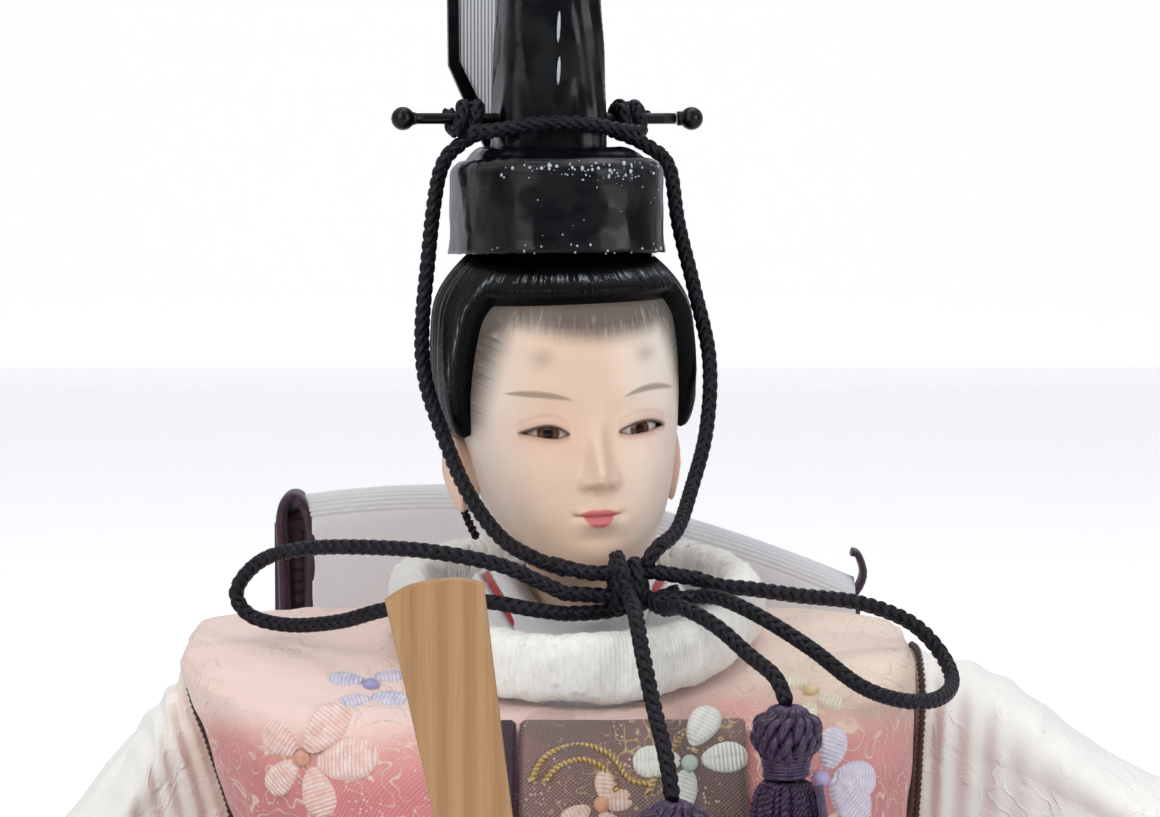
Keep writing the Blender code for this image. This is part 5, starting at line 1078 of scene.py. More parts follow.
def ear(side, finish):
    """An ear with its rim, inner fold and lobe."""
    rows = ((0.0, -0.6), (0.22, -0.55), (0.42, 0.15), (0.56, 0.75), (0.70, 0.55), (0.82, 1.15), (0.94, 1.62),
            (1.06, 1.55), (1.12, 1.05), (1.05, 0.2), (0.92, -1.2), (0.80, -2.6))
    share, around = np.meshgrid(np.linspace(0, len(rows) - 1, 45), round_angles(72), indexing="ij")
    profile = row_at(rows, share)
    size, out = profile[..., 0], profile[..., 1]
    up, back = np.cos(around), np.sin(around)
    z = 0.0120 + 0.0043 * size * up
    y = 0.0040 + 0.0027 * size * back * (1 + 0.28 * up) + 0.0006 * up
    lean = 0.0010 * np.clip(back, 0, 1) * size
    x = side * (0.0131 + 0.00085 * out * (1 - 0.45 * np.clip(-up, 0, 1)) + lean)
    colour = plain_colour("E2C5B2", x.shape)
    colour = blended(colour, tone("D89F8E"), 0.6 * (1 - soft(size, 0.2, 0.6)) + 0.25 * soft(size, 0.9, 1.05))
    points = placed(FACE_FRAME, np.stack([x, y, z], -1))
    return dress(lofted(sided("ear", side), points, finish, paint={"paint": colour}), "head", finish)


SKIN = skin_finish()
head(SKIN)
eyes()
for side in (-1, 1):
    ear(side, SKIN)


# Wig, cap, pin and tail

HAIR_THICKNESS, HAIR_FIT = 0.0014, 0.0010
HAIRLINE_HEIGHT, HAIR_SIDE_HEIGHT, HAIR_NAPE_HEIGHT = 0.0340, 0.0172, 0.0110
HAIR_FRONT_SHARE, HAIR_BACK_SHARE, HAIR_TOP_SHARE = 0.85, 2.6, 0.55
CAP_SIDE, CAP_BACK = -0.00135, 0.0065
CAP_RIM_HEIGHT, CAP_WALL, CAP_WALL_HEIGHT, CAP_DOME_RISE = 0.0394, 0.0008, 0.0100, 0.0034
CAP_FIT, CAP_POWER = 0.0008, 2.9
CAP_PITCH = math.radians(2.2)
CROWN_POWER, CROWN_TOP_HALF_WIDTH, CROWN_HEIGHT = 4.5, 0.0060, 0.0800
PIN_HALF_LENGTH, PIN_BALL_RADIUS = 0.0188, 0.0015


def hair_edge(angle):
    """The row of the head at which the wig starts."""
    front = soft(np.cos(angle), 0.18, 0.60)
    nape = np.maximum(-np.cos(angle), 0) ** 2
    height = HAIR_SIDE_HEIGHT + (HAIRLINE_HEIGHT - HAIR_SIDE_HEIGHT) * front
    height += (HAIR_NAPE_HEIGHT - HAIR_SIDE_HEIGHT) * nape
    low, high = np.full(angle.shape, 2.0), np.full(angle.shape, 13.0)
    for _ in range(36):
        middle = (low + high) / 2
        under = head_surface(angle, middle)[..., 2] < height
        low, high = np.where(under, middle, low), np.where(under, high, middle)
    return low


def hair_points(angle, share, rise=None, extra=0.0):
    start = hair_edge(angle)
    place = start + (len(HEAD_TABLE) - 1.3 - start) * share
    end_share = np.where(np.cos(angle) < 0, HAIR_BACK_SHARE, HAIR_FRONT_SHARE)
    thick = HAIR_THICKNESS * (1 + (end_share - 1) * np.cos(angle) ** 2)
    thick *= 1 + (HAIR_TOP_SHARE - 1) * share**2
    edge = np.minimum(1, 0.45 + share * 6) if rise is None else rise
    offset = HAIR_FIT + thick * edge + extra
    return head_surface(angle, place) + offset[..., None] * normals(head_surface, angle, place)


def hair():
    finish = Finish("wig_silk", rough=0.30, Specular_IOR_Level=0.12)
    # Where the sheen paint lies, the black is turned pale grey: a painted highlight.
    finish.colour(finish.mix(finish.amount("sheen"), tone("030304"), tone("A6AEB8")))
    finish.rough(finish.ramp(finish.noise(1500, 3), 0.3, 0.7, 0.26, 0.40))
    finish.bump(finish.noise(4200, 2), 0.00001, 0.3)
    count = 1100
    angles = np.arange(count) * TURN / count
    shares = np.concatenate([np.linspace(0, 0.13, 16), np.linspace(0.13, 1, 44)[1:]])
    share, angle = np.meshgrid(shares, angles, indexing="ij")
    rise = np.sqrt(np.clip(1 - (1 - np.clip(share / 0.11, 0, 1)) ** 2, 0, 1)) * 1.06 - 0.10
    strands = RANDOM.normal(size=(3, count))
    strands = (np.roll(strands, 1, 1) + 2 * strands + np.roll(strands, -1, 1)) / 4
    drift = np.clip(share * 2, 0, 1)
    groove = strands[0] * (1 - drift) + strands[1] * drift
    points = hair_points(angle, share, rise, 0.00005 * groove * soft(share, 0.0, 0.03))
    # Painted highlight: short pale strokes in a band along the front of the wig's roll, fading away at the back.
    lit = np.exp(-((share - 0.225 - 0.02 * strands[2]) / 0.045) ** 2) * soft(np.cos(angle), -0.1, 0.45)
    sheen = 0.85 * lit * np.clip(1.5 * strands[2] - 0.5 + 0.8 * RANDOM.normal(size=share.shape), 0, 1)
    made = lofted("hair", placed(FACE_FRAME, points), finish, paint={"sheen": sheen[..., None]})
    dress(made, "head", finish, "hair")


def lacquer_finish():
    finish = Finish(
        "black_lacquer", rough=0.13, Coat_Weight=0.12, Coat_Roughness=0.05, Specular_IOR_Level=0.22
    )
    finish.colour(tone("03060A"))
    finish.rough(finish.ramp(finish.noise(700, 4), 0.35, 0.75, 0.13, 0.19))
    weave = finish.wave(2100, direction="Z", distortion=1.2, detail=2.0, detail_scale=3.0)
    ridges = finish.math("MULTIPLY", weave, finish.ramp(finish.noise(160, 2), 0.42, 0.62, 0.15, 1.0))
    low = finish.bump(finish.noise(140, 2), 0.00012, 0.12)
    finish.bump(ridges, 0.00004, 0.6, over=low)
    return finish


def cap_sizes():
    """Half width, front and back of the cap's base at its rim, fitted round the wig."""
    angle, share = np.meshgrid(np.arange(48) * TURN / 48, np.linspace(0, 1, 25))
    points = hair_points(angle, share).reshape(-1, 3)
    points = points @ np.array(Matrix.Rotation(HEAD_ROLL, 3, "Y")).T
    near = points[points[:, 2] > CAP_RIM_HEIGHT]
    lower = points[points[:, 2] > CAP_RIM_HEIGHT - CAP_WALL]
    wide, front = np.abs(near[:, 0] - CAP_SIDE).max(), (CAP_BACK - near[:, 1]).max()
    back = (lower[:, 1] - CAP_BACK).max()
    return [size + CAP_FIT + CAP_WALL for size in (wide, front, back)]


def cap_ring(share, z, inset, sizes, angles):
    shift = 1 - share
    centre_x = CAP_SIDE + (CROWN_SIDE - CAP_SIDE) * shift
    centre_y = CAP_BACK + (CROWN_BACK - CAP_BACK) * shift
    half, front, back = (size * share - inset for size in sizes)
    points = oval_points((0, 0, 0, half, front, back), angles, CAP_POWER)
    z = z - math.tan(CAP_PITCH) * points[:, 1]
    return np.stack([centre_x + points[:, 0], centre_y + points[:, 1], z], -1)


def crown_ring(z, inset, angles):
    share = min(max((z - PIN_HEIGHT) / (CROWN_HEIGHT - PIN_HEIGHT), 0), 1)
    narrow = (CROWN_TOP_HALF_WIDTH - CROWN_HALF_WIDTH) * share - inset
    sizes = (z, z, z, CROWN_HALF_WIDTH + narrow, CROWN_HALF_DEPTH + narrow, CROWN_HALF_DEPTH + narrow)
    return oval_points(sizes, angles, CROWN_POWER) + np.array((CROWN_SIDE, CROWN_BACK, 0))


def cap(finish):
    sizes = cap_sizes()
    angles = np.arange(200) * TURN / 200
    rim, top = CAP_RIM_HEIGHT, CAP_RIM_HEIGHT + CAP_WALL_HEIGHT
    outer = [
        cap_ring(1.0 + 0.022 * (1 - t) ** 2, rim + t * 0.003, 0, sizes, angles) for t in np.linspace(0, 1, 6)
    ]
    outer += [cap_ring(1, z, 0, sizes, angles) for z in np.linspace(rim + 0.003, top, 12)[1:]]
    for turn in np.linspace(0, math.pi / 2, 9)[1:]:
        rise = 0.55 * CAP_DOME_RISE * math.sin(turn)
        outer.append(cap_ring(1 - 0.16 * (1 - math.cos(turn)), top + rise, 0, sizes, angles))
    gap = 2 * CLEARANCE
    mouth = (0, 0, 0, CROWN_HALF_WIDTH + gap, *2 * (CROWN_HALF_DEPTH + gap,))
    hole = oval_points(mouth, angles, CROWN_POWER) + np.array((CROWN_SIDE, CROWN_BACK, top + CAP_DOME_RISE))
    edge = outer[-1]
    outer += [
        edge + (hole - edge) * t + (0, 0, 0.0006 * math.sin(math.pi * t)) for t in np.linspace(0, 1, 7)[1:]
    ]
    outer = np.array(outer)
    way = unit(np.cross(np.gradient(outer, axis=1), np.gradient(outer, axis=0)))
    rough = speckle(outer, 900, 4) * 0.00004 + speckle(outer * (1, 1, 0.25), 2600, 6) * 0.00002
    ragged = 0.00016 * speckle(outer, 2300, 9) * soft(rim + 0.0022 - outer[..., 2], 0.0, 0.002)
    outer[..., 2] += ragged * 0.6
    inner = [
        outer[-1] - (0, 0, CAP_WALL),
        cap_ring(0.84, top + 0.55 * CAP_DOME_RISE - CAP_WALL, CAP_WALL, sizes, angles)
    ]
    inner += [cap_ring(1, z, CAP_WALL, sizes, angles) for z in (top - CAP_WALL, rim + 0.0001)]
    grid = np.concatenate([outer + way * rough[..., None], np.array(inner)])
    made = lofted("cap_base", placed(CAP_FRAME, grid), finish, ring=True)
    dress(made, "head", finish, "cap_base")

    bottom = rim + CAP_WALL_HEIGHT + CAP_DOME_RISE * 0.5
    angles = np.arange(180) * TURN / 180
    heights = np.linspace(bottom, CROWN_HEIGHT - CAP_WALL, 60)
    rows = [crown_ring(z, 0, angles) for z in heights]
    rows += [crown_ring(CROWN_HEIGHT - CAP_WALL * (1 - math.sin(t)), CAP_WALL * (1 - math.cos(t)), angles)
             for t in np.linspace(0, math.pi / 2, 6)[1:]]
    rows = np.array(rows)
    way = unit(rows - (CROWN_SIDE, CROWN_BACK, 0) - np.array((0, 0, 1)) * rows[..., 2:])
    swell = 0.00007 * speckle(rows * (1, 1, 0.22), 1500, 12) + 0.00003 * np.sin(
        rows[..., 2] * 7400 + 1.2 * speckle(rows, 500, 3)
    )
    made = lofted("cap_crown", placed(CAP_FRAME, rows + way * swell[..., None]), finish)
    dress(made, "head", finish, "cap_crown")
    # The beads are painted pale grey: painted glints on the black lacquer.
    glint_beads(Finish("black_lacquer", tone("B4BAC2"), 0.08), outer)


def glint_beads(finish, wall):
    """Small beads of lacquer along the shoulder and the rim of the cap, painted pale grey as painted glints, and
    two thin pale streaks down the crown's front as a painted highlight.
    """
    source = np.random.default_rng(21)
    points, faces = [], []
    spots = []
    for _ in range(80):
        spots.append(
            (source.normal(0.05, 0.42), source.integers(15, 19), 0.00006 + 0.00020 * source.random() ** 2)
        )
    for _ in range(22):
        spots.append((source.uniform(-0.9, 0.9), source.integers(0, 3), source.uniform(0.00008, 0.00018)))
    for _ in range(26):
        spots.append((source.uniform(-0.9, 0.9), source.integers(3, 18), source.uniform(0.00005, 0.00011)))
    columns = wall.shape[1]
    lift, around = np.meshgrid(np.linspace(-1.3, 1.3, 5), np.arange(8) * TURN / 8, indexing="ij")
    ball = np.stack(
        [np.cos(lift) * np.cos(around), np.cos(lift) * np.sin(around), np.sin(lift)], -1
    ).reshape(-1, 3)

    def add(bead):
        first = len(points) * len(ball)
        points.append(bead)
        faces.extend(net(5, 8, closed=True, start=first))
        faces.extend(tuple(first + end + i for i in range(8)) for end in (0, 32))

    for angle, row, size in spots:
        centre = wall[
            row, int(angle / TURN * columns) % columns
        ] + source.normal(size=3) * (0.0004, 0, 0.00035)
        centre[1] -= 0.00005
        add(centre + ball * size * (1, 1, source.uniform(0.8, 1.5)))
    # Two thin pale streaks down the crown's front: a painted highlight.
    for high, long in ((0.0115, 0.0020), (0.0060, 0.0018)):
        centre = np.array((CROWN_SIDE, CROWN_BACK - CROWN_HALF_DEPTH, PIN_HEIGHT + high))
        add(centre + ball * (0.00024, 0.00016, long) + ball[:, 2:] * (0.0001, 0, 0))
    made = face_out(piece("lacquer_glint_beads", placed(CAP_FRAME, np.concatenate(points)), faces, finish))
    dress(made, "head", finish)


def turned(name, rows, start, along, finish, sides=40):
    """A round piece on an axis; each row gives a place along it and a radius."""
    along = np.array(along) / np.linalg.norm(along)
    side = np.cross(along, (0.1, 0.3, 1.0))
    side = side / np.linalg.norm(side)
    other = np.cross(along, side)
    turns = np.arange(sides) * TURN / sides
    grid = [start + place * along + radius * (np.cos(turns)[:, None] * side + np.sin(turns)[:, None] * other)
            for place, radius in rows]
    return lofted(name, grid, finish)


def ball_profile(centre, radius, steps=11):
    return [
        (
            centre - radius * math.cos(t), radius * math.sin(t)
        ) for t in np.linspace(0.12, math.pi - 0.12, steps)
    ]


def pin(finish):
    start, axis = placed(CAP_FRAME, [(CROWN_SIDE, CROWN_BACK, PIN_HEIGHT)])[0], CAP_FRAME[:3, 0]
    neck, length, ball = PIN_RADIUS * 0.92, PIN_HALF_LENGTH, PIN_BALL_RADIUS
    rows = ball_profile(-length, ball)[:-1]
    rows += [(-length + ball * 0.86, neck * 1.25), (-length + ball * 1.15, neck)]
    rows += [
        (
            place, neck * (1 + 0.03 * math.sin(9 * place))
        ) for place in np.linspace(-length + 0.003, length - 0.0022, 20)
    ]
    dress(turned("cap_pin", rows, start, axis, finish), "head", finish, "cap_pin")
    rows = [
        (length - ball * 1.25, neck * 1.3), (length - ball * 0.9, neck * 1.35)
    ] + ball_profile(length, ball)[1:]
    dress(turned("pin_ball_left", rows, start, axis, finish), "head", finish, "pin_ball_left")


def gauze_finish():
    finish = Finish("gauze", rough=0.55, Metallic=0.15)
    threads = finish.wave(683, direction="X")
    bars = finish.wave(1300, direction="Z")
    fine = finish.math("MULTIPLY", finish.ramp(threads, 0.15, 0.7), finish.ramp(bars, 0.05, 0.5, 0.75, 1.0))
    finish.colour(finish.mix(fine, tone("8E9096"), tone("F0F1F3")))
    finish.bump(threads, 0.00004, 0.6)
    return finish


LACQUER = lacquer_finish()
hair()
cap(LACQUER)
pin(LACQUER)


def refinish(node, finish):
    """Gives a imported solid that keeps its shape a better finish."""
    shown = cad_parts[node]
    for slot in shown.material_slots:
        slot.material = finish.material


def tail_net(finish):
    """The gauze of the tail, woven into its frame: its edge lies inside the frame's bars."""
    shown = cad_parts["tail_gauze"]
    spots = np.array([shown.matrix_world @ corner.co for corner in shown.data.vertices])
    middle = (spots.max(0) + spots.min(0)) / 2
    lean = Matrix.Rotation(math.radians(-3), 3, "X")
    local = (spots - middle) @ np.array(lean)
    size = np.abs(local).max(0)
    local *= (size + (0.0007, 0, 0.0007)) / size
    faces = [tuple(face.vertices) for face in shown.data.polygons]
    made = face_out(piece("tail_gauze", local @ np.array(lean).T + middle, faces, finish, smooth=False))
    return dress(made, "cap_tail", finish, "tail_gauze")


GAUZE = gauze_finish()
net_piece = tail_net(GAUZE)
for solid in ("tail_frame", "tail_socket"):
    refinish(solid, LACQUER)


# Robe, collars and embroidery

WAIST_HEIGHT, SHOULDER_HEIGHT = 0.046, 0.112
CHEST_HALF_WIDTH, CHEST_FRONT, CHEST_BACK = 0.0423, 0.038, 0.028
RIGHT_SHOULDER_FLARE = 0.007
OPENING = (0.0195, 0.0272, 0.0145)
ROBE_SHARES = (
    (0.000, 0.000, 0.000, 0.83, 0.89, 0.89),
    (0.210, 0.210, 0.210, 0.90, 0.96, 0.96),
    (0.420, 0.420, 0.420, 0.96, 1.00, 1.00),
    (0.625, 0.635, 0.640, 0.985, 0.99, 1.00),
    (0.765, 0.790, 0.790, 0.995, 0.95, 0.96),
    (0.857, 0.905, 0.910, 1.000, 0.89, 0.84),
    (0.900, 0.977, 0.977, 0.990, 0.83, 0.66),
    (0.915, 1.000, 1.008, 0.910, 0.775, 0.53),
)
ROBE_POWERS = (2.3, 2.4, 2.6, 2.8, 3.2, 3.6, 4.0, 3.6, 2.6)
OPENING_SHARES = (0.918, 0.990, 1.022)
FLARE_SHARES = (0, 0, 0, 0.10, 0.45, 0.80, 1.00, 0.92, 0)
PANEL_LEFT, PANEL_RIGHT, PANEL_TRIM = 0.0200, 0.0065, 0.0022
STRIP_END_ROW = 5.7
FLAT_PER_TURN, FLAT_PER_ROW = 0.040, 0.0090


def robe_table():
    rise = SHOULDER_HEIGHT - WAIST_HEIGHT
    rows = []
    for shares in ROBE_SHARES:
        heights = [WAIST_HEIGHT + share * rise for share in shares[:3]]
        sizes = [share * size for share, size in zip(shares[3:], (CHEST_HALF_WIDTH, CHEST_FRONT, CHEST_BACK))]
        rows.append((*heights, *sizes))
    rows.append((*(WAIST_HEIGHT + share * rise for share in OPENING_SHARES), *OPENING))
    return np.array([(*row, power, flare) for row, power, flare in zip(rows, ROBE_POWERS, FLARE_SHARES)])


ROBE_TABLE = robe_table()


def robe_surface(angle, place):
    rows = row_at(ROBE_TABLE, place)
    points = oval_points(rows, angle, rows[..., 6])
    flare = 1 + np.maximum(rows[..., 7], 0) * RIGHT_SHOULDER_FLARE / CHEST_HALF_WIDTH
    points[..., 0] *= np.where(points[..., 0] < 0, flare, 1)
    return points


def robe_points(angle, place, offset):
    offset = np.asarray(offset, float)
    return robe_surface(angle, place) + offset[..., None] * normals(robe_surface, angle, place)


def contour(finish, scale, lines, width, at=None, detail=1.0):
    """Thin curling lines, like the cloud outlines woven into brocade."""
    level = finish.math("MULTIPLY", finish.noise(scale, detail, at), lines)
    return finish.ramp(finish.math("PINGPONG", level, 0.5), 0.0, width, 1.0, 0.0)


def twill(finish, scale, at=None):
    at = at or finish.flat
    first = finish.wave(scale, at, "DIAGONAL")
    second = finish.wave(scale * 0.9, finish.stretch((1, -1, 1), at), "DIAGONAL")
    return finish.math("MULTIPLY", first, second)


def brocade_finish(slot, ground, gold, motif_scale=230, shine=0.0):
    """Figured silk: a twill ground, curling woven lines that stand up, and small bright dots of thread painted
    near white as painted glints.
    """
    finish = Finish(slot, rough=0.5, Metallic=shine, Sheen_Weight=0.25)
    weave = twill(finish, 1250)
    motif = contour(finish, motif_scale, 7.0, 0.13)
    motif = finish.math("MULTIPLY", motif, finish.ramp(finish.noise(motif_scale * 0.35, 1), 0.42, 0.55))
    # Painted glints: small dots painted near white, which also stand up a little.
    glint_picks = finish.ramp(finish.cells(1500), 0.16, 0.30, 1.0, 0.0)
    glint_picks = finish.math("MULTIPLY", glint_picks, finish.ramp(finish.noise(300, 3), 0.45, 0.62))
    base = finish.painted(ground) if isinstance(ground, str) else ground
    base = finish.mix(finish.ramp(weave, 0.1, 0.8, 0.0, 0.22), base, tone("FFF4EC"))
    base = finish.mix(finish.math("MULTIPLY", motif, 0.75), base, gold)
    base = finish.mix(finish.math("MULTIPLY", glint_picks, 0.55), base, tone("FFF6E4"))
    finish.colour(base)
    finish.rough(finish.ramp(motif, 0.0, 1.0, 0.52, 0.30))
    ground_bump = finish.bump(weave, 0.00007, 0.7)
    finish.bump(
        finish.math("ADD", motif, finish.math("MULTIPLY", glint_picks, 0.6)), 0.00016, 0.7, over=ground_bump
    )
    return finish


def cloth_finish(slot, colour, rib=1500, rough=0.7, depth=0.00005, direction="Y", sheen=0.2, vary=0.06):
    """Plain ribbed silk, cotton or crepe; its ribs run across the flat pattern's direction."""
    finish = Finish(slot, rough=rough, Sheen_Weight=sheen)
    ribs = finish.wave(rib, finish.flat, direction, distortion=0.3, detail=1.0)
    cross = finish.wave(rib * 1.1, finish.flat, "X" if direction == "Y" else "Y")
    cloud = finish.ramp(finish.noise(140, 3), 0.3, 0.7, 0.0, vary)
    shade = finish.mix(
        finish.ramp(ribs, 0.0, 0.6, 0.16, 0.0), colour, tuple(0.72 * v for v in colour[:3]) + (1,)
    )
    finish.colour(finish.mix(cloud, shade, tuple(0.55 * v for v in colour[:3]) + (1,)))
    height = finish.math("ADD", ribs, finish.math("MULTIPLY", cross, 0.4))
    finish.bump(height, depth, 0.8)
    return finish


def robe_colours(points):
    x, z = points[..., 0] * 1000, points[..., 2] * 1000
    colour = plain_colour("CB7276", x.shape)
    uneven = 2.2 * speckle(points, 130, 2)
    # Pink lower down and peach towards the shoulders, with a cream patch on the doll's left shoulder; the palest
    # band, on the shoulders' tops, is partly the robe's own peach and partly painted light.
    colour = layered(
        colour,
        ("DC928C", soft(z + uneven, 96, 102) * 0.9),
        ("F8DCD3", soft(z + uneven - 0.06 * x, 102.5, 108.5) * 0.92),
        ("EFD9C4", 0.7 * soft(x + uneven, 16, 26) * soft(z, 102, 108)),
    )
    return colour


def robe(finish):
    angles = round_angles(420)
    places = np.concatenate([np.linspace(0, 4, 50), np.linspace(4, 8, 80)[1:]])
    angle, place = np.meshgrid(angles, places)
    swell = 0.00022 * speckle(
        robe_surface(angle, place), 260, 5
    ) + 0.00010 * speckle(robe_surface(angle, place), 700, 7)
    swell *= soft(place, 0, 0.6)
    outer = robe_points(angle, place, swell)
    inner = robe_points(angle, place, np.full(angle.shape, -CLOTH))
    flat = np.stack([angle * FLAT_PER_TURN, place * FLAT_PER_ROW], -1)
    made = two_sided("robe_body", outer, inner, finish, spots=flat, paint={"ground": robe_colours(outer)})
    dress(made, "torso", finish, "robe_body")
    return outer.reshape(-1, 3), unit(
        np.cross(np.gradient(outer, axis=1), np.gradient(outer, axis=0))
    ).reshape(-1, 3)


def strip(name, x_low, x_high, near, finish, columns, node, swell=0.0, paint=None):
    """Cloth laid on the robe's front between two x places, from the belt to under the collar."""
    rise = SHOULDER_HEIGHT - WAIST_HEIGHT
    first = (0.0070 + 3 * CLEARANCE) / rise / ROBE_SHARES[1][1]
    places = np.linspace(first, STRIP_END_ROW, 110)
    xs = np.linspace(x_low, x_high, columns)
    x, place = np.meshgrid(xs, places)
    low, high = np.zeros(x.shape), np.full(x.shape, math.pi / 2)
    for _ in range(30):
        middle = (low + high) / 2
        under = np.abs(robe_surface(np.copysign(middle, x), place)[..., 0]) < np.abs(x)
        low, high = np.where(under, middle, low), np.where(under, high, middle)
    angle = np.copysign((low + high) / 2, x)
    uneven = speckle(robe_surface(angle, place), 300, 17) * swell
    edge = np.minimum(x - x_low, x_high - x)
    roll = np.sqrt(np.clip(edge / 0.0006, 0.02, 1))
    outer = robe_points(angle, place, near + 0.0004 + (CLOTH - 0.0004) * roll + uneven)
    inner = robe_points(angle, place, np.full(x.shape, near))
    flat = np.stack([x, place * FLAT_PER_ROW], -1)
    made = two_sided(
        name, outer, inner, finish, closed=False, spots=flat, paint=paint(outer) if paint else None
    )
    return dress(made, "torso", finish, node)


def collar_row(outward, lift):
    row = ROBE_TABLE[-1]
    return (*(z + lift for z in row[:3]), *(size + outward for size in row[3:6]))


def collar_roll(finish):
    """The thick round neck edge of the outer robe, in crimped white silk."""
    angles = round_angles(420, math.pi)
    section = round_angles(40, -math.pi / 2)
    high, thick = 0.0040, 0.0026
    rings = []
    for turn in section:
        up, across = corner(np.array(turn), 2.67)
        row = collar_row(CLOTH + thick * across, high + 2 * CLEARANCE + high * up)
        rings.append(oval_points(row, angles, ROBE_POWERS[-1]))
    grid = np.array(rings)
    out = unit(np.cross(np.gradient(grid, axis=1), np.roll(grid, -1, 0) - np.roll(grid, 1, 0)))
    if (out[0, 0] @ np.array((0, 0, 1.0))) < 0:
        out = -out
    puff = 0.00013 * speckle(grid, 900, 14) + 0.00009 * speckle(grid, 2300, 15) + 0.0002 * speckle(grid, 260, 16)
    grid = grid + out * puff[..., None]
    flat = meshed(angles[None] * 0.024, section[:, None] * 0.0033)
    dress(lofted("robe_collar", grid, finish, ring=True, spots=flat), "torso", finish, "robe_collar")


def under_collars(silk, red):
    """Three nested neck bands that cross low in front."""
    angles = np.linspace(-math.pi, math.pi, 301)[:-1]
    for number, (name, finish, dip, inset, thick) in enumerate((
        ("under_collar_outer", silk, 0.0050, 0.0021, 0.0012),
        ("under_collar_red", red, 0.0050, 0.0036, 0.0005),
        ("under_collar_inner", silk, -0.0006, 0.0044, 0.0031),
    )):
        drop = dip * np.clip(1 - np.abs(angles - 0.10) / 0.95, 0, 1)
        shells = []
        for wall in (0, thick):
            bottom = list(collar_row(-inset - wall, -0.0008))
            if number == 2 and wall:
                bottom[4] -= 0.0048
            tops = [z + number * 0.0005 for z in (0.1136, 0.1183, 0.1200)]
            sizes = [bottom[3] - 0.0046, bottom[4] - 0.0046, bottom[5]]
            low = oval_points(bottom, angles, 2.4)
            high = oval_points((*tops, *sizes), angles, 2.4)
            high[:, 2] += 0.0012 * np.exp(-((np.abs(angles) - 1.15) / 0.45) ** 2)
            high[:, 2] -= drop
            share = np.linspace(0, 1, 22)[:, None, None]
            grid = low + (high - low) * share
            grid[..., 2] += 0.00005 * speckle(grid, 1200, number)
            shells.append(grid)
        flat = meshed(angles[None] * 0.016, np.linspace(0, 0.008, 22)[:, None])
        made = two_sided(name, shells[0], shells[1], finish, spots=flat)
        dress(made, "torso", finish, name)


# Embroidered flowers: colour, middle, petals' middles, all in millimetres, and whether they lie on the panel
FLOWERS = (
    (
        "E9A69A", "C98A6A", (-32.0, -31.5, 101.2),
        ((-34.9, 103.1), (-27.0, 101.3), (-34.6, 98.8), (-30.4, 97.4), (-29.5, 104.9)), 0
    ),
    (
        "AFAEDB", "8C86C0", (-24.6, -22.5, 108.4),
        ((-27.4, 109.2), (-26.3, 106.6), (-22.4, 109.6), (-22.0, 106.9)), 0
    ),
    ("DCE7DC", "BCD0C2", (13.4, -36.4, 101.3), ((14.9, 104.6), (17.0, 101.7), (9.6, 101.1), (12.2, 98.0)), 1),
    ("CBBFE6", "A99AD0", (29.0, -31.9, 99.0), ((30.4, 102.2), (33.3, 98.6), (32.6, 95.6), (26.4, 97.0)), 0),
    ("EDB08C", "D98F62", (2.2, -37.9, 96.4), ((2.4, 98.8), (5.0, 96.6), (0.0, 95.0), (4.0, 93.8)), 1),
    ("EBDDB4", "D6BE83", (28.3, -25.0, 108.2), ((25.9, 109.0), (30.3, 107.2), (27.6, 106.2)), 0),
    (
        "F0C6B6", "D99E88", (-14.0, -37.0, 88.0),
        ((-17.4, 89.4), (-10.8, 89.6), (-16.4, 85.0), (-11.6, 84.8), (-14.0, 92.0)), 0
    ),
    (
        "B9C8E2", "93A6CC", (30.0, -32.0, 84.0),
        ((33.2, 85.6), (26.8, 85.8), (31.8, 80.8), (28.0, 80.8), (30.0, 88.0)), 0
    ),
    (
        "F0E2E4", "E2B7BE", (6.5, -38.0, 78.0),
        ((9.8, 79.4), (3.2, 79.6), (8.6, 74.8), (4.4, 74.8), (6.5, 82.0)), 1
    ),
    (
        "DCE7DC", "BCD0C2", (-30.0, -32.0, 74.0),
        ((-26.8, 75.4), (-33.4, 75.6), (-28.0, 70.6), (-32.0, 70.6), (-30.0, 78.0)), 0
    ),
    (
        "EDB08C", "D98F62", (16.0, -37.0, 64.0),
        ((19.2, 65.2), (12.8, 65.6), (18.2, 60.8), (14.0, 60.8), (16.0, 68.0)), 1
    ),
    (
        "CBBFE6", "A99AD0", (-12.0, -37.0, 62.0),
        ((-8.8, 63.4), (-15.2, 63.6), (-10.0, 58.8), (-14.0, 58.8), (-12.0, 66.0)), 0
    ),
)
GOLD_ARCS = (
    ((-5.0, 99.6), (-3.6, 102.3), (0.6, 103.6), (4.4, 102.4), (6.4, 99.6), (9.0, 99.4)),
    ((-3.6, 99.4), (-2.2, 101.1), (0.9, 102.0), (3.6, 100.9), (4.9, 98.4)),
    ((8.6, 98.2), (9.6, 100.6), (12.0, 103.9), (15.2, 105.4), (18.6, 104.4)),
    ((-4.2, 91.0), (-1.2, 93.6), (3.2, 92.2), (7.6, 93.6), (12.4, 92.0), (17.2, 93.2)),
    ((-4.0, 70.6), (0.4, 72.4), (6.0, 70.2), (11.4, 72.2), (17.4, 70.4)),
)


def silk_thread_finish(slot, colour, rough=0.38):
    finish = Finish(slot, rough=rough, Sheen_Weight=0.2)
    finish.colour(finish.mix(finish.ramp(finish.noise(900, 2), 0.2, 0.8, 0.0, 0.22), colour, tone("FFFFFF")))
    finish.bump(finish.noise(5000, 2), 0.00003, 0.5)
    return finish


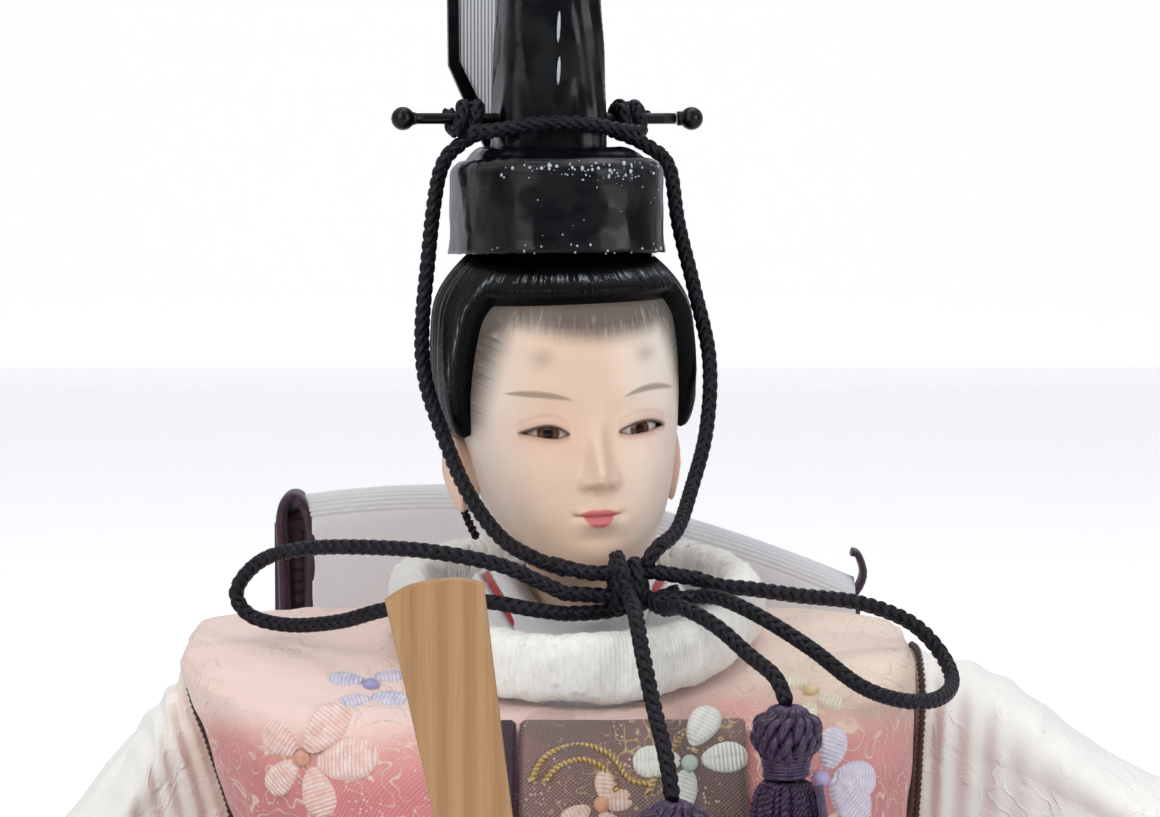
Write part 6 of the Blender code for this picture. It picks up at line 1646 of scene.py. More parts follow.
def satin_finish(slot, colour):
    """Flat satin stitches side by side; each stitch runs across its petal."""
    finish = silk_thread_finish(slot, colour)
    stitch = finish.wave(620, finish.flat, "X", distortion=1.0, detail=1.0)
    deep = tuple(0.62 * v for v in colour[:3]) + (1,)
    # The grooves between stitches are painted darker: painted shade.
    finish.colour(
        finish.mix(
            finish.ramp(stitch, 0.05, 0.45, 0.34, 0.0),
            finish.mix(finish.noise(900, 2), colour, tone("FFF8F2")), deep
        )
    )
    finish.bump(stitch, 0.00014, 0.8)
    return finish


def embroidery(skin_points, skin_normals):
    front = skin_points[:, 1] < -0.010
    ground, ways = skin_points[front], skin_normals[front]
    ways = np.where((ways @ np.array((0, -1, 0.4)))[:, None] < 0, -ways, ways)
    lay = CLOTH + 1.5 * CLEARANCE

    def spot(x, z, y, on_panel):
        far = (ground[:, 0] - x) ** 2 + (ground[:, 2] - z) ** 2 + 0.05 * (ground[:, 1] - y) ** 2
        k = far.argmin()
        return ground[k] + ways[k] * (lay * on_panel), ways[k]

    u, v = np.meshgrid(np.linspace(0.02, 1, 9), np.arange(36) * TURN / 36, indexing="ij")
    for number, (shade, deep, middle, petals, on_panel) in enumerate(FLOWERS):
        finish = satin_finish("pink_brocade" if not on_panel else "mauve_brocade", tone(shade))
        core_finish = silk_thread_finish(finish.slot, tone(deep))
        points, faces, places = [], [], []
        mx, my, mz = (value / 1000 for value in middle)
        for px, pz in petals:
            px, pz = px / 1000, pz / 1000
            place, out = spot(px, pz, my, on_panel)
            along = np.array((px - mx, 0, pz - mz))
            reach = np.linalg.norm(along)
            along = along - out * (along @ out)
            along = along / np.linalg.norm(along)
            across = np.cross(out, along)
            long = max(reach * 0.80, 0.0018)
            wide = long * 0.66
            x = long * u * np.cos(v)
            y = wide * u * np.sin(v) * (1 + 0.22 * np.cos(v))
            stitches = 0.00005 * np.sin(y * 19000 + x * 3000) * (1 - u**6)
            height = 0.00055 * np.sqrt(np.clip(1 - u**2.4, 0, 1)) + 0.00010 + stitches
            height -= 0.00016 * np.exp(-(y / 0.00022) ** 2) * (u < 0.95)
            curve = -(x**2 + y**2) / 0.09
            height = np.where(u > 0.97, -0.0003, height)
            grid = place + x[..., None] * along + y[..., None] * across + (height + curve)[..., None] * out
            first = len(points) * u.size
            points.append(grid.reshape(-1, 3))
            places.append(np.stack([x, y], -1).reshape(-1, 2))
            faces += net(9, 36, closed=True, start=first) + [tuple(first + i for i in range(36))]
        made = piece(f"flower_{number}", np.concatenate(points), faces, finish, spots=np.concatenate(places))
        made = face_out(made)
        dress(made, "torso", finish)
        place, out = spot(mx, mz, my, on_panel)
        rows = [(-0.0002, 0.0010), (0.0004, 0.0010), (0.0007, 0.0007), (0.0008, 0.0003)]
        dress(turned(f"flower_{number}_middle", rows, place, out, core_finish, 16), "torso", core_finish)
    gold = silk_thread_finish("mauve_brocade", tone("C6A45E"), 0.32)
    gold.shader.inputs["Metallic"].default_value = 0.55
    parts = []
    for arc in GOLD_ARCS:
        route = []
        for x, z in row_at(arc, np.linspace(0, len(arc) - 1, 60)):
            place, out = spot(x / 1000, z / 1000, -0.036, 1)
            route.append(np.array((x / 1000, 0, z / 1000)) + (0, place[1] + out[1] * 0.00025, 0))
        route = np.array(route)
        for _ in range(12):
            route[1:-1] = (route[:-2] + route[1:-1] + route[2:]) / 3
        parts += twisted(even_route(route, 0.0003), 0.00062, 0.0012, 2, 6)
    dress(piece("gold_cord", *gathered(parts), gold), "torso", gold)


def crepe_finish():
    """Soft crimped silk: fine uneven crinkles and rows of small raised stitches."""
    finish = Finish("white_crepe", tone("EDEDE6"), 0.8, Sheen_Weight=0.6)
    crinkle = finish.noise(1500, 4, finish.stretch((1, 1, 0.45)))
    ribs = finish.wave(700, finish.flat, "X", distortion=2.5, detail=2.0, detail_scale=2.0)
    knots = finish.ramp(finish.cells(420, finish.flat), 0.12, 0.30, 1.0, 0.0)
    knots = finish.math("MULTIPLY", knots, finish.ramp(finish.noise(55, 1, finish.flat), 0.50, 0.58))
    # The crinkles' hollows are painted greyer: painted shade.
    finish.colour(finish.mix(finish.ramp(crinkle, 0.25, 0.6, 0.35, 0.0), tone("F2F1EB"), tone("C9C8BE")))
    under = finish.bump(finish.math("ADD", crinkle, finish.math("MULTIPLY", ribs, 0.35)), 0.00018, 0.8)
    finish.bump(knots, 0.0003, 0.9, over=under)
    return finish


PINK = brocade_finish("pink_brocade", "ground", tone("F3DCC6"))
MAUVE = brocade_finish("mauve_brocade", "ground", tone("D8BD8C"), 300, 0.25)
PURPLE = cloth_finish("purple_silk", tone("36182F"), 1300, 0.45, 0.00004)
SILK = cloth_finish("white_silk", tone("EDEDF0"), 950, 0.55, 0.00008, "X", 0.15, 0.03)
RED = cloth_finish("red_silk", tone("B02030"), 1300, 0.5, 0.00004)
CREPE = crepe_finish()


def mauve_ground(points):
    colour = plain_colour("6E5753", points.shape[:-1])
    uneven = speckle(points, 420, 31)
    colour = layered(
        colour,
        ("7F5F5C", soft(uneven, -0.3, 0.6)),
        ("6A444A", 0.7 * soft(points[..., 2] * 1000, 90, 76)),
    )
    return {"ground": colour}


SKIN_OF_ROBE = robe(PINK)
near = 1.5 * CLEARANCE
strip(
    "robe_front_panel", -PANEL_RIGHT, PANEL_LEFT, near, MAUVE, 70, "robe_front_panel", 0.00012, mauve_ground
)
strip(
    "panel_trim", -PANEL_RIGHT - CLEARANCE - PANEL_TRIM, -PANEL_RIGHT - CLEARANCE, near, PURPLE, 12,
    "panel_trim"
)
collar_roll(CREPE)
under_collars(SILK, RED)
embroidery(*SKIN_OF_ROBE)


# Sleeves, cuffs, hands and tablet

ARM_HEIGHT, ARM_RADIUS = SHOULDER_HEIGHT - 0.015, 0.0018
SLEEVE_WALL, CUFF_WALL, CUFF_GAP, CUFF_STEP, CUFF_DEPTH = 0.0013, 0.0008, 0.0005, 0.0016, 0.014
SLEEVE_SIZES = (0.122, 0.060, SHOULDER_HEIGHT, SHOULDER_HEIGHT, 0.0115, ARM_HEIGHT, 1)
SLEEVE_SHARES = {
    1: (
        (0.355, 0.113, 0.970, 0.56, 0.66, 1.000, 0.30),
        (0.450, 0.120, 0.925, 0.44, 0.80, 0.975, 0.36),
        (0.590, 0.080, 0.835, 0.28, 0.84, 0.885, 0.46),
        (0.770, -0.030, 0.745, 0.12, 0.84, 0.775, 0.52),
        (0.925, -0.220, 0.680, 0.035, 0.84, 0.695, 0.56),
        (0.975, -0.500, 0.640, 0.020, 0.84, 0.645, 0.56),
        (0.890, -0.780, 0.615, 0.020, 0.86, 0.620, 0.52),
        (0.735, -0.950, 0.610, 0.060, 0.90, 0.620, 0.44),
        (0.570, -1.010, 0.620, 0.160, 0.92, 0.630, 0.34),
        (0.420, -1.020, 0.632, 0.300, 0.92, 0.635, 0.26),
        (0.270, -1.000, 0.640, 0.390, 0.90, 0.640, 0.20),
    ),
    -1: (
        (0.412, 0.113, 0.955, 0.56, 0.64, 1.000, 0.30),
        (0.480, 0.115, 0.880, 0.44, 0.78, 0.930, 0.36),
        (0.575, 0.070, 0.740, 0.28, 0.84, 0.790, 0.46),
        (0.740, -0.040, 0.665, 0.12, 0.84, 0.700, 0.52),
        (0.895, -0.220, 0.640, 0.035, 0.84, 0.660, 0.56),
        (0.950, -0.500, 0.625, 0.020, 0.84, 0.635, 0.56),
        (0.870, -0.780, 0.610, 0.020, 0.86, 0.620, 0.52),
        (0.715, -0.950, 0.610, 0.060, 0.90, 0.620, 0.44),
        (0.550, -1.010, 0.620, 0.170, 0.92, 0.630, 0.34),
        (0.380, -1.020, 0.632, 0.340, 0.92, 0.635, 0.26),
        (0.215, -1.000, 0.640, 0.390, 0.90, 0.640, 0.20),
    ),
}
SLEEVE_ROWS = {
    side: np.array(rows) * SLEEVE_SIZES * ((side,) + (1,) * 6) for side, rows in SLEEVE_SHARES.items()
}


def level_across(run):
    run = run / np.linalg.norm(run, axis=-1, keepdims=True)
    return np.stack([run[..., 1], -run[..., 0], np.zeros(run.shape[:-1])], -1)


def sleeve_frame(side, place):
    place = np.asarray(place, float)
    run = row_at(SLEEVE_ROWS[side], place + 0.1) - row_at(SLEEVE_ROWS[side], place - 0.1)
    return row_at(SLEEVE_ROWS[side], place), level_across(run[..., :2])


def mouth_frame(side, distance):
    before, last = SLEEVE_ROWS[side][-2:]
    run = (last - before)[:2]
    share = np.asarray(distance, float)[..., None] / np.linalg.norm(run)
    row = last + (last - before) * share
    return row, np.broadcast_to(level_across(run), (*row.shape[:-1], 3))


def seam_shift(side, place, z):
    heights = np.array([row[1] for row in ROBE_SHARES])
    share = (z - WAIST_HEIGHT) / (SHOULDER_HEIGHT - WAIST_HEIGHT)
    along = np.interp(share, heights, np.arange(len(heights)))
    quarter = np.full(along.shape, side * math.pi / 2)
    edge = np.abs(robe_surface(quarter, along)[..., 0])
    top = np.abs(robe_surface(quarter, np.full(along.shape, len(heights) - 2.0))[..., 0])
    return side * np.clip(1 - place / 3, 0, 1) * (edge - top)


def sleeve_rings(frame_here, inset, angles, side=0, place=None, power=0.9):
    rows, across = frame_here
    x, y, top, bottom, half, arm, taper = (rows[..., k, None] for k in range(7))
    sine, cosine = np.sin(angles), np.cos(angles)
    z = arm + cosine * np.where(cosine > 0, top - inset - arm, arm - bottom - inset)
    wide = (half - inset) * (1 + taper * cosine)
    fold, shift = 0, 0
    if side:
        place = np.asarray(place, float)[..., None]
        low = np.maximum(0, -cosine)
        fold = 0.0013 * low * np.sin(3 * TURN * place / 5 + 5 * low)
        shift = seam_shift(side, place, z)
    offset = np.sign(sine) * np.abs(sine) ** power * wide + fold
    centre = meshed(x + shift, y + 0 * z, z)
    return centre + offset[..., None] * across[..., None, :]


def arm_rings(frame_here, angles):
    rows, across = frame_here
    centre = rows[..., None, [0, 1, 5]]
    reach = ARM_RADIUS + 3 * CLEARANCE
    up = reach * 1.9 * np.cos(angles)[..., None] * np.array((0, 0, 1.0))
    return centre + up + reach * np.sin(angles)[..., None] * across[..., None, :]


def damask_finish():
    """Cream figured silk: dull ground, with flowers and lozenges in shiny raised weave."""
    finish = Finish("cream_damask", rough=0.6, Sheen_Weight=0.25)
    weave = twill(finish, 1100)
    vines = contour(finish, 150, 6.0, 0.20, finish.flat, 2)
    vines = finish.math("MULTIPLY", vines, finish.ramp(finish.noise(60, 1, finish.flat), 0.44, 0.56))
    buds = finish.ramp(finish.cells(210, finish.flat, Randomness=0.55), 0.22, 0.34, 1.0, 0.0)
    grain = finish.ramp(finish.cells(1500, finish.flat), 0.15, 0.45, 1.0, 0.0)
    figure = finish.math("MAXIMUM", vines, finish.math("MULTIPLY", buds, 0.9))
    figure = finish.math("MULTIPLY", figure, finish.ramp(grain, 0.0, 1.0, 0.55, 1.0))
    ground = finish.painted("ground")
    # The figure is painted paler than the ground: painted sheen of its glossy weave.
    finish.colour(finish.mix(finish.math("MULTIPLY", figure, 0.8), ground, tone("FFFDF6")))
    finish.rough(finish.ramp(figure, 0.1, 0.9, 0.62, 0.28))
    under = finish.bump(weave, 0.00006, 0.6)
    finish.bump(figure, 0.00022, 0.8, over=under)
    return finish


def sleeve_piece(side, finish):
    last = len(SLEEVE_ROWS[side]) - 1
    angles = round_angles(240, math.pi)
    places = np.concatenate([np.linspace(0, 1.2, 50), np.linspace(1.2, last, 200)[1:]])
    frame_here = sleeve_frame(side, places)
    outer = sleeve_rings(frame_here, 0, angles, side, places)
    out = unit(np.cross(np.roll(outer, -1, 1) - np.roll(outer, 1, 1), np.gradient(outer, axis=0)))
    out *= np.sign((out[120, 60] * (outer[120, 60] - outer[120].mean(0))).sum())
    free = soft(places, 0, 0.35)[:, None] * soft(last - places, 0, 0.4)[:, None]
    low = np.maximum(0, -np.cos(angles))[None]
    drag = np.sin(places[:, None] * 21 + 2.2 * np.sin(angles)[None] * side + 1.3 * speckle(outer, 60, 3))
    pucker = 0.0006 * drag * np.exp(-places[:, None] / 0.9) * (1 - low)
    crush = 0.00065 * speckle(outer, 75, 41 + side) + 0.00022 * speckle(outer, 230, 43)
    long_folds = 0.0011 * low * np.sin(places[:, None] * 5.1 + 3.0 * low) * soft(places[:, None], 1.5, 3)
    outer = outer + out * (free * (pucker + crush + long_folds) - 0.0002)[..., None]
    rings = [outer]
    rings.append(sleeve_rings(mouth_frame(side, [0, -0.004, -CUFF_DEPTH]), SLEEVE_WALL, angles))
    rings.append(arm_rings(mouth_frame(side, [-CUFF_DEPTH]), angles))
    rings.append(arm_rings(sleeve_frame(side, np.linspace(last - 1, 0, 30)), angles))
    grid = np.concatenate(rings)
    steps = np.linalg.norm(np.diff(frame_here[0][:, :2], axis=0), axis=1).cumsum()
    along = np.concatenate([[0], steps, np.full(len(grid) - len(places), steps[-1])])
    around = np.linalg.norm(np.diff(outer[60], axis=0), axis=1).cumsum()
    flat = meshed(along[:, None], np.concatenate([[0], around])[None])
    colour = plain_colour("F5F4F0", grid.shape[:-1])
    near_seam = np.zeros(len(grid))
    near_seam[: len(places)] = 1 - soft(places, 0.0, 0.75)
    warm = near_seam[:, None] * (0.75 if side < 0 else 0.12) * np.ones(grid.shape[:2])
    colour = layered(
        colour,
        ("E6C9B4", warm),
        ("E4E0D8", 0.5 * soft(speckle(grid, 60, 8), 0.2, 1.2)),
    )
    name = sided("sleeve", side)
    made = lofted(name, grid, finish, ring=True, spots=flat, paint={"ground": colour})
    return dress(made, "torso", finish, name)


def seam(side, finish):
    """The dark thread line where a sleeve meets the robe: the sewn join, and painted shade in the gap between
    them.
    """
    angles = np.linspace(-2.2, 2.2, 90)
    ring = sleeve_rings(sleeve_frame(side, np.array([0.0])), 0.0001, angles, side, np.array([0.0]))[0]
    ring[:, 0] += side * 0.0001
    parts = twisted(even_route(ring.tolist(), 0.0004), 0.0005, 0.0016, 2, 6)
    made = piece(sided("seam", side), *gathered(parts), finish)
    return dress(made, "torso", finish)


def cuffs(side, finishes):
    angles = round_angles(160, math.pi)
    for layer, (name, finish) in enumerate(finishes):
        near_wall = SLEEVE_WALL + (layer + 1) * CUFF_GAP + layer * CUFF_WALL
        ends = np.linspace(-CUFF_DEPTH + (layer + 1) * CLEARANCE, (layer + 1) * CUFF_STEP, 24)
        outer = sleeve_rings(mouth_frame(side, ends), near_wall, angles)
        inner = sleeve_rings(mouth_frame(side, ends), near_wall + CUFF_WALL, angles)
        flat = meshed(ends[:, None], angles[None] * 0.02)
        key = f"{sided('cuff', side)}_{name}"
        dress(two_sided(key, outer, inner, finish, spots=flat), "torso", finish, key)


HAND_ROWS = (
    (0.00, 0.58, 0.70), (0.20, 0.60, 0.70), (0.42, 0.90, 0.94), (0.62, 1.00, 1.00), (0.82, 0.97, 0.97), (0.95, 0.72, 0.72),
    (1.00, 0.40, 0.40),
)
HAND_LENGTH, HAND_HIGH, HAND_THICK = 0.0200, 0.0046, 0.0034


def hand_start(side):
    return mouth_frame(side, np.array(-2 * CUFF_STEP))[0][[0, 1, 5]]


def hand_piece(side, finish):
    start = hand_start(side) - side * 2 * CLEARANCE * np.array((1, 0, 0))
    length = HAND_LENGTH + 2 * CUFF_STEP
    angles = round_angles(96)
    rings = []
    for place in np.linspace(0, len(HAND_ROWS) - 1, 60):
        along, high, thick = row_at(HAND_ROWS, np.array(place))
        up, front = np.cos(angles), -np.sin(angles)
        creases = np.exp(-(np.sin(2 * math.pi * (up + 0.25)) / 0.28) ** 2)
        deep = 1 - 0.13 * creases * soft(np.array(along), 0.46, 0.60) * (front > 0)
        knuckle = 1 + 0.05 * np.exp(-((along - 0.58) / 0.06) ** 2) * (front > 0)
        ring = np.zeros((96, 3))
        ring[:, 1] = front * thick * HAND_THICK * deep * np.minimum(knuckle, 1.0)
        ring[:, 2] = up * high * HAND_HIGH
        ring[:, 0] = -side * min(along, 1.0) * length
        rings.append(start + ring)
    name = sided("hand", side)
    made = lofted(name, rings, finish)
    if side < 0:
        half = np.array((SHAKU_HALF_GRIP + 2 * CLEARANCE, SHAKU_HALF_THICK + CLEARANCE, 0.0090))
        corners = np.array(
            [(x, y, z) for z in (-1, 1) for x, y in ((-1, -1), (1, -1), (1, 1), (-1, 1))]
        ) * half
        block = lofted("slot", (np.array(SHAKU_TURN) @ corners.T).T.reshape(2, 4, 3) + SHAKU_PLACE, finish)
        cut = made.modifiers.new("slot", "BOOLEAN")
        cut.operation, cut.object, cut.solver = "DIFFERENCE", block, "EXACT"
        bpy.context.view_layer.update()
        shape = bpy.data.meshes.new_from_object(made.evaluated_get(bpy.context.evaluated_depsgraph_get()))
        made.modifiers.clear()
        made.data = shape
        bpy.data.objects.remove(block)
    return dress(made, "torso", finish, name)


SHAKU_LEAN = math.radians(9.6)
SHAKU_HALF_GRIP, SHAKU_HALF_THICK = 0.0033, 0.00075
SHAKU_TURN = Matrix.Rotation(-SHAKU_LEAN, 3, "Y")
SHAKU_PLACE = hand_start(-1) + np.array((2 * CLEARANCE + HAND_LENGTH + 2 * CUFF_STEP + 0.00082, 0, 0))
SHAKU_PLACE[1] = -0.060


def shaku_piece():
    """Thin cypress tablet, its grain along it and its long edges eased."""
    finish = Finish("plain_wood", rough=0.46)
    along_tablet = (0, -SHAKU_LEAN, 0)
    coarse = finish.noise(900, 2, finish.stretch((1, 1, 0.012), turn=along_tablet))
    lines = finish.wave(95, finish.stretch((1, 0.3, 0.02), turn=along_tablet), "X", 2.2, 1.5, 3.0)
    fine = finish.noise(5200, 2, finish.stretch((1, 1, 0.02), turn=along_tablet))
    wood = finish.mix(finish.ramp(lines, 0.25, 1.0, 0.0, 0.45), tone("AE875D"), tone("94693F"))
    wood = finish.mix(finish.ramp(coarse, 0.35, 0.7, 0.0, 0.5), wood, tone("B8946C"))
    wood = finish.mix(finish.ramp(fine, 0.35, 0.75, 0.0, 0.30), wood, tone("8A6238"))
    finish.colour(wood)
    finish.bump(finish.math("ADD", fine, finish.math("MULTIPLY", lines, 0.4)), 0.00003, 0.5)
    top, half_top, half_grip, crown, below = 0.0655, 0.0055, SHAKU_HALF_GRIP, 0.0014, 0.0100
    angles = round_angles(120)
    across, deep = corner(angles, 7)
    rings = []
    steps = [(share, 1.0) for share in np.linspace(0, 1, 90)] + [
        (1.0, 0.93), (1.0, 0.75), (1.0, 0.45), (1.0, 0.02)
    ]
    for share, thin in steps:
        z_here = -below + share * (top - crown + below)
        rise = np.clip(z_here / (top - crown), 0, 1)
        wide = half_grip + (half_top - half_grip) * rise**1.6
        x = wide * across
        arch = crown * (1 - np.abs(x / wide) ** 2.4)
        rounding = 0.0003 * (1 - thin) if share == 1 else 0
        z = -below + share * (top - crown + arch + below) + rounding - 0.0003 * (share == 1)
        rings.append(np.stack([x, deep * SHAKU_HALF_THICK * thin, z], -1))
    grid = np.array(rings) @ np.array(SHAKU_TURN).T + SHAKU_PLACE
    return dress(crisp(lofted("shaku", grid, finish), 50), "tablet", finish, "shaku")


DAMASK = damask_finish()
# Dark brown thread for each sleeve's sewn join, also standing for the shade in the gap beside it.
SEAM_AND_SHADE = cloth_finish("purple_silk", tone("4A3028"), 1300, 0.7, 0.00002)
HAND_SKIN = Finish("painted_skin", tone("E6D6C8"), 0.42)
HAND_SKIN.bump(HAND_SKIN.noise(2600, 3), 0.00002, 0.25)
for side in (-1, 1):
    sleeve_piece(side, DAMASK)
    seam(side, SEAM_AND_SHADE)
    cuffs(side, (("purple", PURPLE), ("white", SILK), ("red", RED)))
    hand_piece(side, HAND_SKIN)
shaku_piece()


# Folded train on the back

TRAIN_HALF_WIDTH, TRAIN_FOLD_RADIUS, TRAIN_FRONT_BOTTOM, TRAIN_BACK_BOTTOM = 0.0380, 0.0034, 0.058, 0.033
TRAIN_TOP, TRAIN_SLOPE, TRAIN_SAG = 0.1255, 0.149, 0.0058


def train_surface(x_share, r, inward, overhang):
    """The folded cloth: r runs up its front layer to 2, over the fold to 7 and down the back to 11."""
    share = np.clip((r - 2) / 5, 0, 1)
    right = -TRAIN_HALF_WIDTH - share * 0.0046 + 0.0023 - overhang
    x = right + (TRAIN_HALF_WIDTH + overhang - right) * x_share
    front_y = CHEST_BACK + CLEARANCE + inward
    radius = TRAIN_FOLD_RADIUS - inward
    top = TRAIN_TOP - TRAIN_SLOPE * x - TRAIN_SAG * (x / TRAIN_HALF_WIDTH) ** 2 - TRAIN_FOLD_RADIUS
    turn = share * math.pi
    up = np.clip(r / 2, 0, 1)
    down = np.clip((r - 7) / 4, 0, 1)
    y = front_y + radius - radius * np.cos(turn)
    z = TRAIN_FRONT_BOTTOM + (top - TRAIN_FRONT_BOTTOM) * up + radius * np.sin(turn)
    z = z + (TRAIN_BACK_BOTTOM - top) * down
    wave = 0.0010 * np.sin(TURN * 2.5 * x / (2 * TRAIN_HALF_WIDTH)) * down
    return np.stack([x, y + wave, z], -1)


def train_piece(name, finish, near, far, overhang, ribs):
    r = np.concatenate(
        [np.linspace(0, 1.7, 40), np.linspace(1.7, 7.3, 130)[1:], np.linspace(7.3, 11, 60)[1:]]
    )
    x_share, r_all = np.meshgrid(np.linspace(0, 1, 150), r)
    outer = train_surface(x_share, r_all, near, overhang)
    step = train_surface(x_share, r_all, near - 0.0002, overhang)
    way = unit(step - outer)
    crest = soft(r_all, 1.78, 1.95) * soft(7.2 - r_all, 0, 1)
    rise = ribs * (0.00013 * np.cos((r_all - 2) * 19) * crest + 0.00010 * speckle(outer, 90, 51))
    rise = rise + ribs * 0.0012 * soft(r_all, 8, 11) * np.sin(TURN * 4.5 * x_share + 1.0)
    outer = outer + way * (rise - ribs * 0.00012)[..., None]
    inner = train_surface(x_share, r_all, far, overhang)
    steps = np.concatenate([[0], np.linalg.norm(np.diff(outer[:, 75], axis=0), axis=1).cumsum()])
    flat = meshed(x_share * 0.078, steps[:, None])
    made = two_sided(name, outer, inner, finish, closed=False, spots=flat)
    return dress(made, "torso", finish, name), (0.0785, round(float(steps[-1]), 4))


def ribbon(name, route, wide, thick, finish):
    """A band that stands on edge along a route of x and z places, from the given y."""
    y_near, y_far = wide
    path = row_at(route, np.linspace(0, len(route) - 1, 90))
    run = unit(np.gradient(path, axis=0))
    side = np.stack([run[:, 1], -run[:, 0]], -1)
    angles = round_angles(28)
    out, along = corner(angles, 4)
    rings = []
    for k in range(len(path)):
        flat_here = path[k] + side[k] * out[:, None] * thick / 2
        y = (y_near + y_far) / 2 + along * (y_far - y_near) / 2 + 0.0001 * np.sin(k * 0.9)
        rings.append(np.stack([flat_here[:, 0], y, flat_here[:, 1]], -1))
    flat = meshed(np.arange(90)[:, None] * 0.0004, angles[None] * 0.001)
    return dress(lofted(name, rings, finish, spots=flat), "torso", finish)


TRAIN_SILK = cloth_finish("white_silk", tone("E8E8EB"), 1500, 0.5, 0.00004, "X", 0.15, 0.02)
train, train_flat = train_piece("train_fold", TRAIN_SILK, 0, CLOTH, 0, 1.0)
near = CLOTH + 2 * CLEARANCE
lining, lining_flat = train_piece("train_lining", PURPLE, near, near + 0.0009, 2 * CLEARANCE, 0.0)
loop = ((-0.0365, 0.0990), (-0.0362, 0.1080), (-0.0358, 0.1160), (-0.0359, 0.1210), (-0.0372, 0.1247), (-0.0389, 0.1252),
        (-0.0400, 0.1225), (-0.0398, 0.1160), (-0.0396, 0.1080), (-0.0396, 0.0990))
ends = [ribbon("train_end_right", loop, (0.0285, 0.0345), 0.0014, PURPLE)]
loop = ((-0.0379, 0.0985), (-0.0380, 0.1080), (-0.0380, 0.1150), (-0.0380, 0.1205))
ends.append(ribbon("train_end_right_inside", loop, (0.0318, 0.0345), 0.0022, PURPLE))
curl = (
    (0.0368, 0.1085), (0.0376, 0.1112), (0.0388, 0.1132), (0.0392, 0.1150), (0.0385, 0.1172), (0.0376, 0.1176)
)
ends.append(ribbon("train_end_left", curl, (0.0295, 0.0335), 0.0010, PURPLE))


# Belt, skirts, trousers, feet and stand


BELT_HALF_HEIGHT, BELT_OFFSET = 0.0035, (0.0004 + 0.0018) / 2


def belt(finish):
    angles = round_angles(300, math.pi)
    section = round_angles(26)
    rise = SHOULDER_HEIGHT - WAIST_HEIGHT
    up, out = corner(section, 5)
    heights = CLEARANCE + BELT_HALF_HEIGHT + BELT_HALF_HEIGHT * up
    share = heights / rise / ROBE_SHARES[1][1]
    angle, place = np.meshgrid(angles, share)
    offset = np.broadcast_to(BELT_OFFSET + 0.0007 * out[:, None], angle.shape)
    ripple = 0.00012 * np.sin(section * 6)[:, None] * (out > 0.2)[:, None]
    grid = robe_points(angle, place, offset + ripple)
    flat = meshed(angles[None] * FLAT_PER_TURN, section[:, None] * 0.003)
    return dress(lofted("waist_belt", grid, finish, ring=True, spots=flat), "torso", finish, "waist_belt")


LEG_HALF_WIDTH, LEG_HALF_DEPTH, LEG_HEIGHT, LEG_CENTRE, LEG_POWER = 0.0265, 0.0300, 0.0380, 0.0600, 2.35


def trouser(side, finish):
    angles = round_angles(420)
    lifts = np.linspace(0, math.radians(88.5), 70)
    angle, lift = np.meshgrid(angles, lifts)
    pleat = -0.0011 * (1 - np.cos(7 * angle)) / 2 - 0.0004 * (1 - np.abs(np.cos(14 * angle)))
    grow = pleat * np.cos(lift) + 0.00018 * speckle(
        np.stack([angle, lift, angle * 0], -1), 3.0, 61
    ) * np.sin(2 * lift)
    level = np.cos(lift) ** (2 / LEG_POWER)
    plan_x, plan_y = corner(angle, LEG_POWER)
    grid = np.stack([
        side * (LEG_HALF_WIDTH + 2 * CLEARANCE) + (LEG_HALF_WIDTH + grow) * level * plan_x,
        -LEG_CENTRE - (LEG_HALF_DEPTH + grow) * level * plan_y,
        (LEG_HEIGHT + grow) * np.sin(lift) ** 0.9,
    ], -1)
    flat = np.stack([angle * 0.028, lift * 0.035], -1)
    name = sided("trouser_leg", side)
    return dress(lofted(name, grid, finish, spots=flat), "torso", finish, name)


def lap_surface(x, along):
    gap = CLEARANCE * 2
    beyond = np.maximum(np.abs(x) - (LEG_HALF_WIDTH + gap), 0) / (LEG_HALF_WIDTH + gap)
    level = (1 - beyond**LEG_POWER) ** (1 / LEG_POWER)
    high = (LEG_HEIGHT + gap) * level
    t = np.clip(along / 0.34, 0, 1)
    start_y = -CHEST_FRONT * ROBE_SHARES[0][4] * np.sqrt(np.maximum(0, 1 - (x / CHEST_HALF_WIDTH) ** 2 / 2))
    start_z = WAIST_HEIGHT - CLOTH - 2 * CLEARANCE
    rear = np.stack(
        [x, start_y + (-LEG_CENTRE - start_y) * t, start_z + (high - start_z) * np.sin(t * math.pi / 2)], -1
    )
    t = np.clip((along - 0.34) / 0.66, 0, 1)
    lowest = math.asin((0.0150 / (LEG_HEIGHT + gap)) ** (1 / 0.9))
    lift = math.pi / 2 + (lowest - math.pi / 2) * t
    ahead = -LEG_CENTRE - (LEG_HALF_DEPTH + gap) * level * np.maximum(np.cos(lift), 0) ** (2 / LEG_POWER)
    fore = np.stack([x, ahead, high * np.sin(lift) ** 0.9], -1)
    return np.where((along < 0.34)[..., None], rear, fore)


def skirt_colour(points, seed):
    share = soft(speckle(points, 60, seed), 0, 1)
    return layered(plain_colour("CF7570", points.shape[:-1]), ("DE9A8C", share))


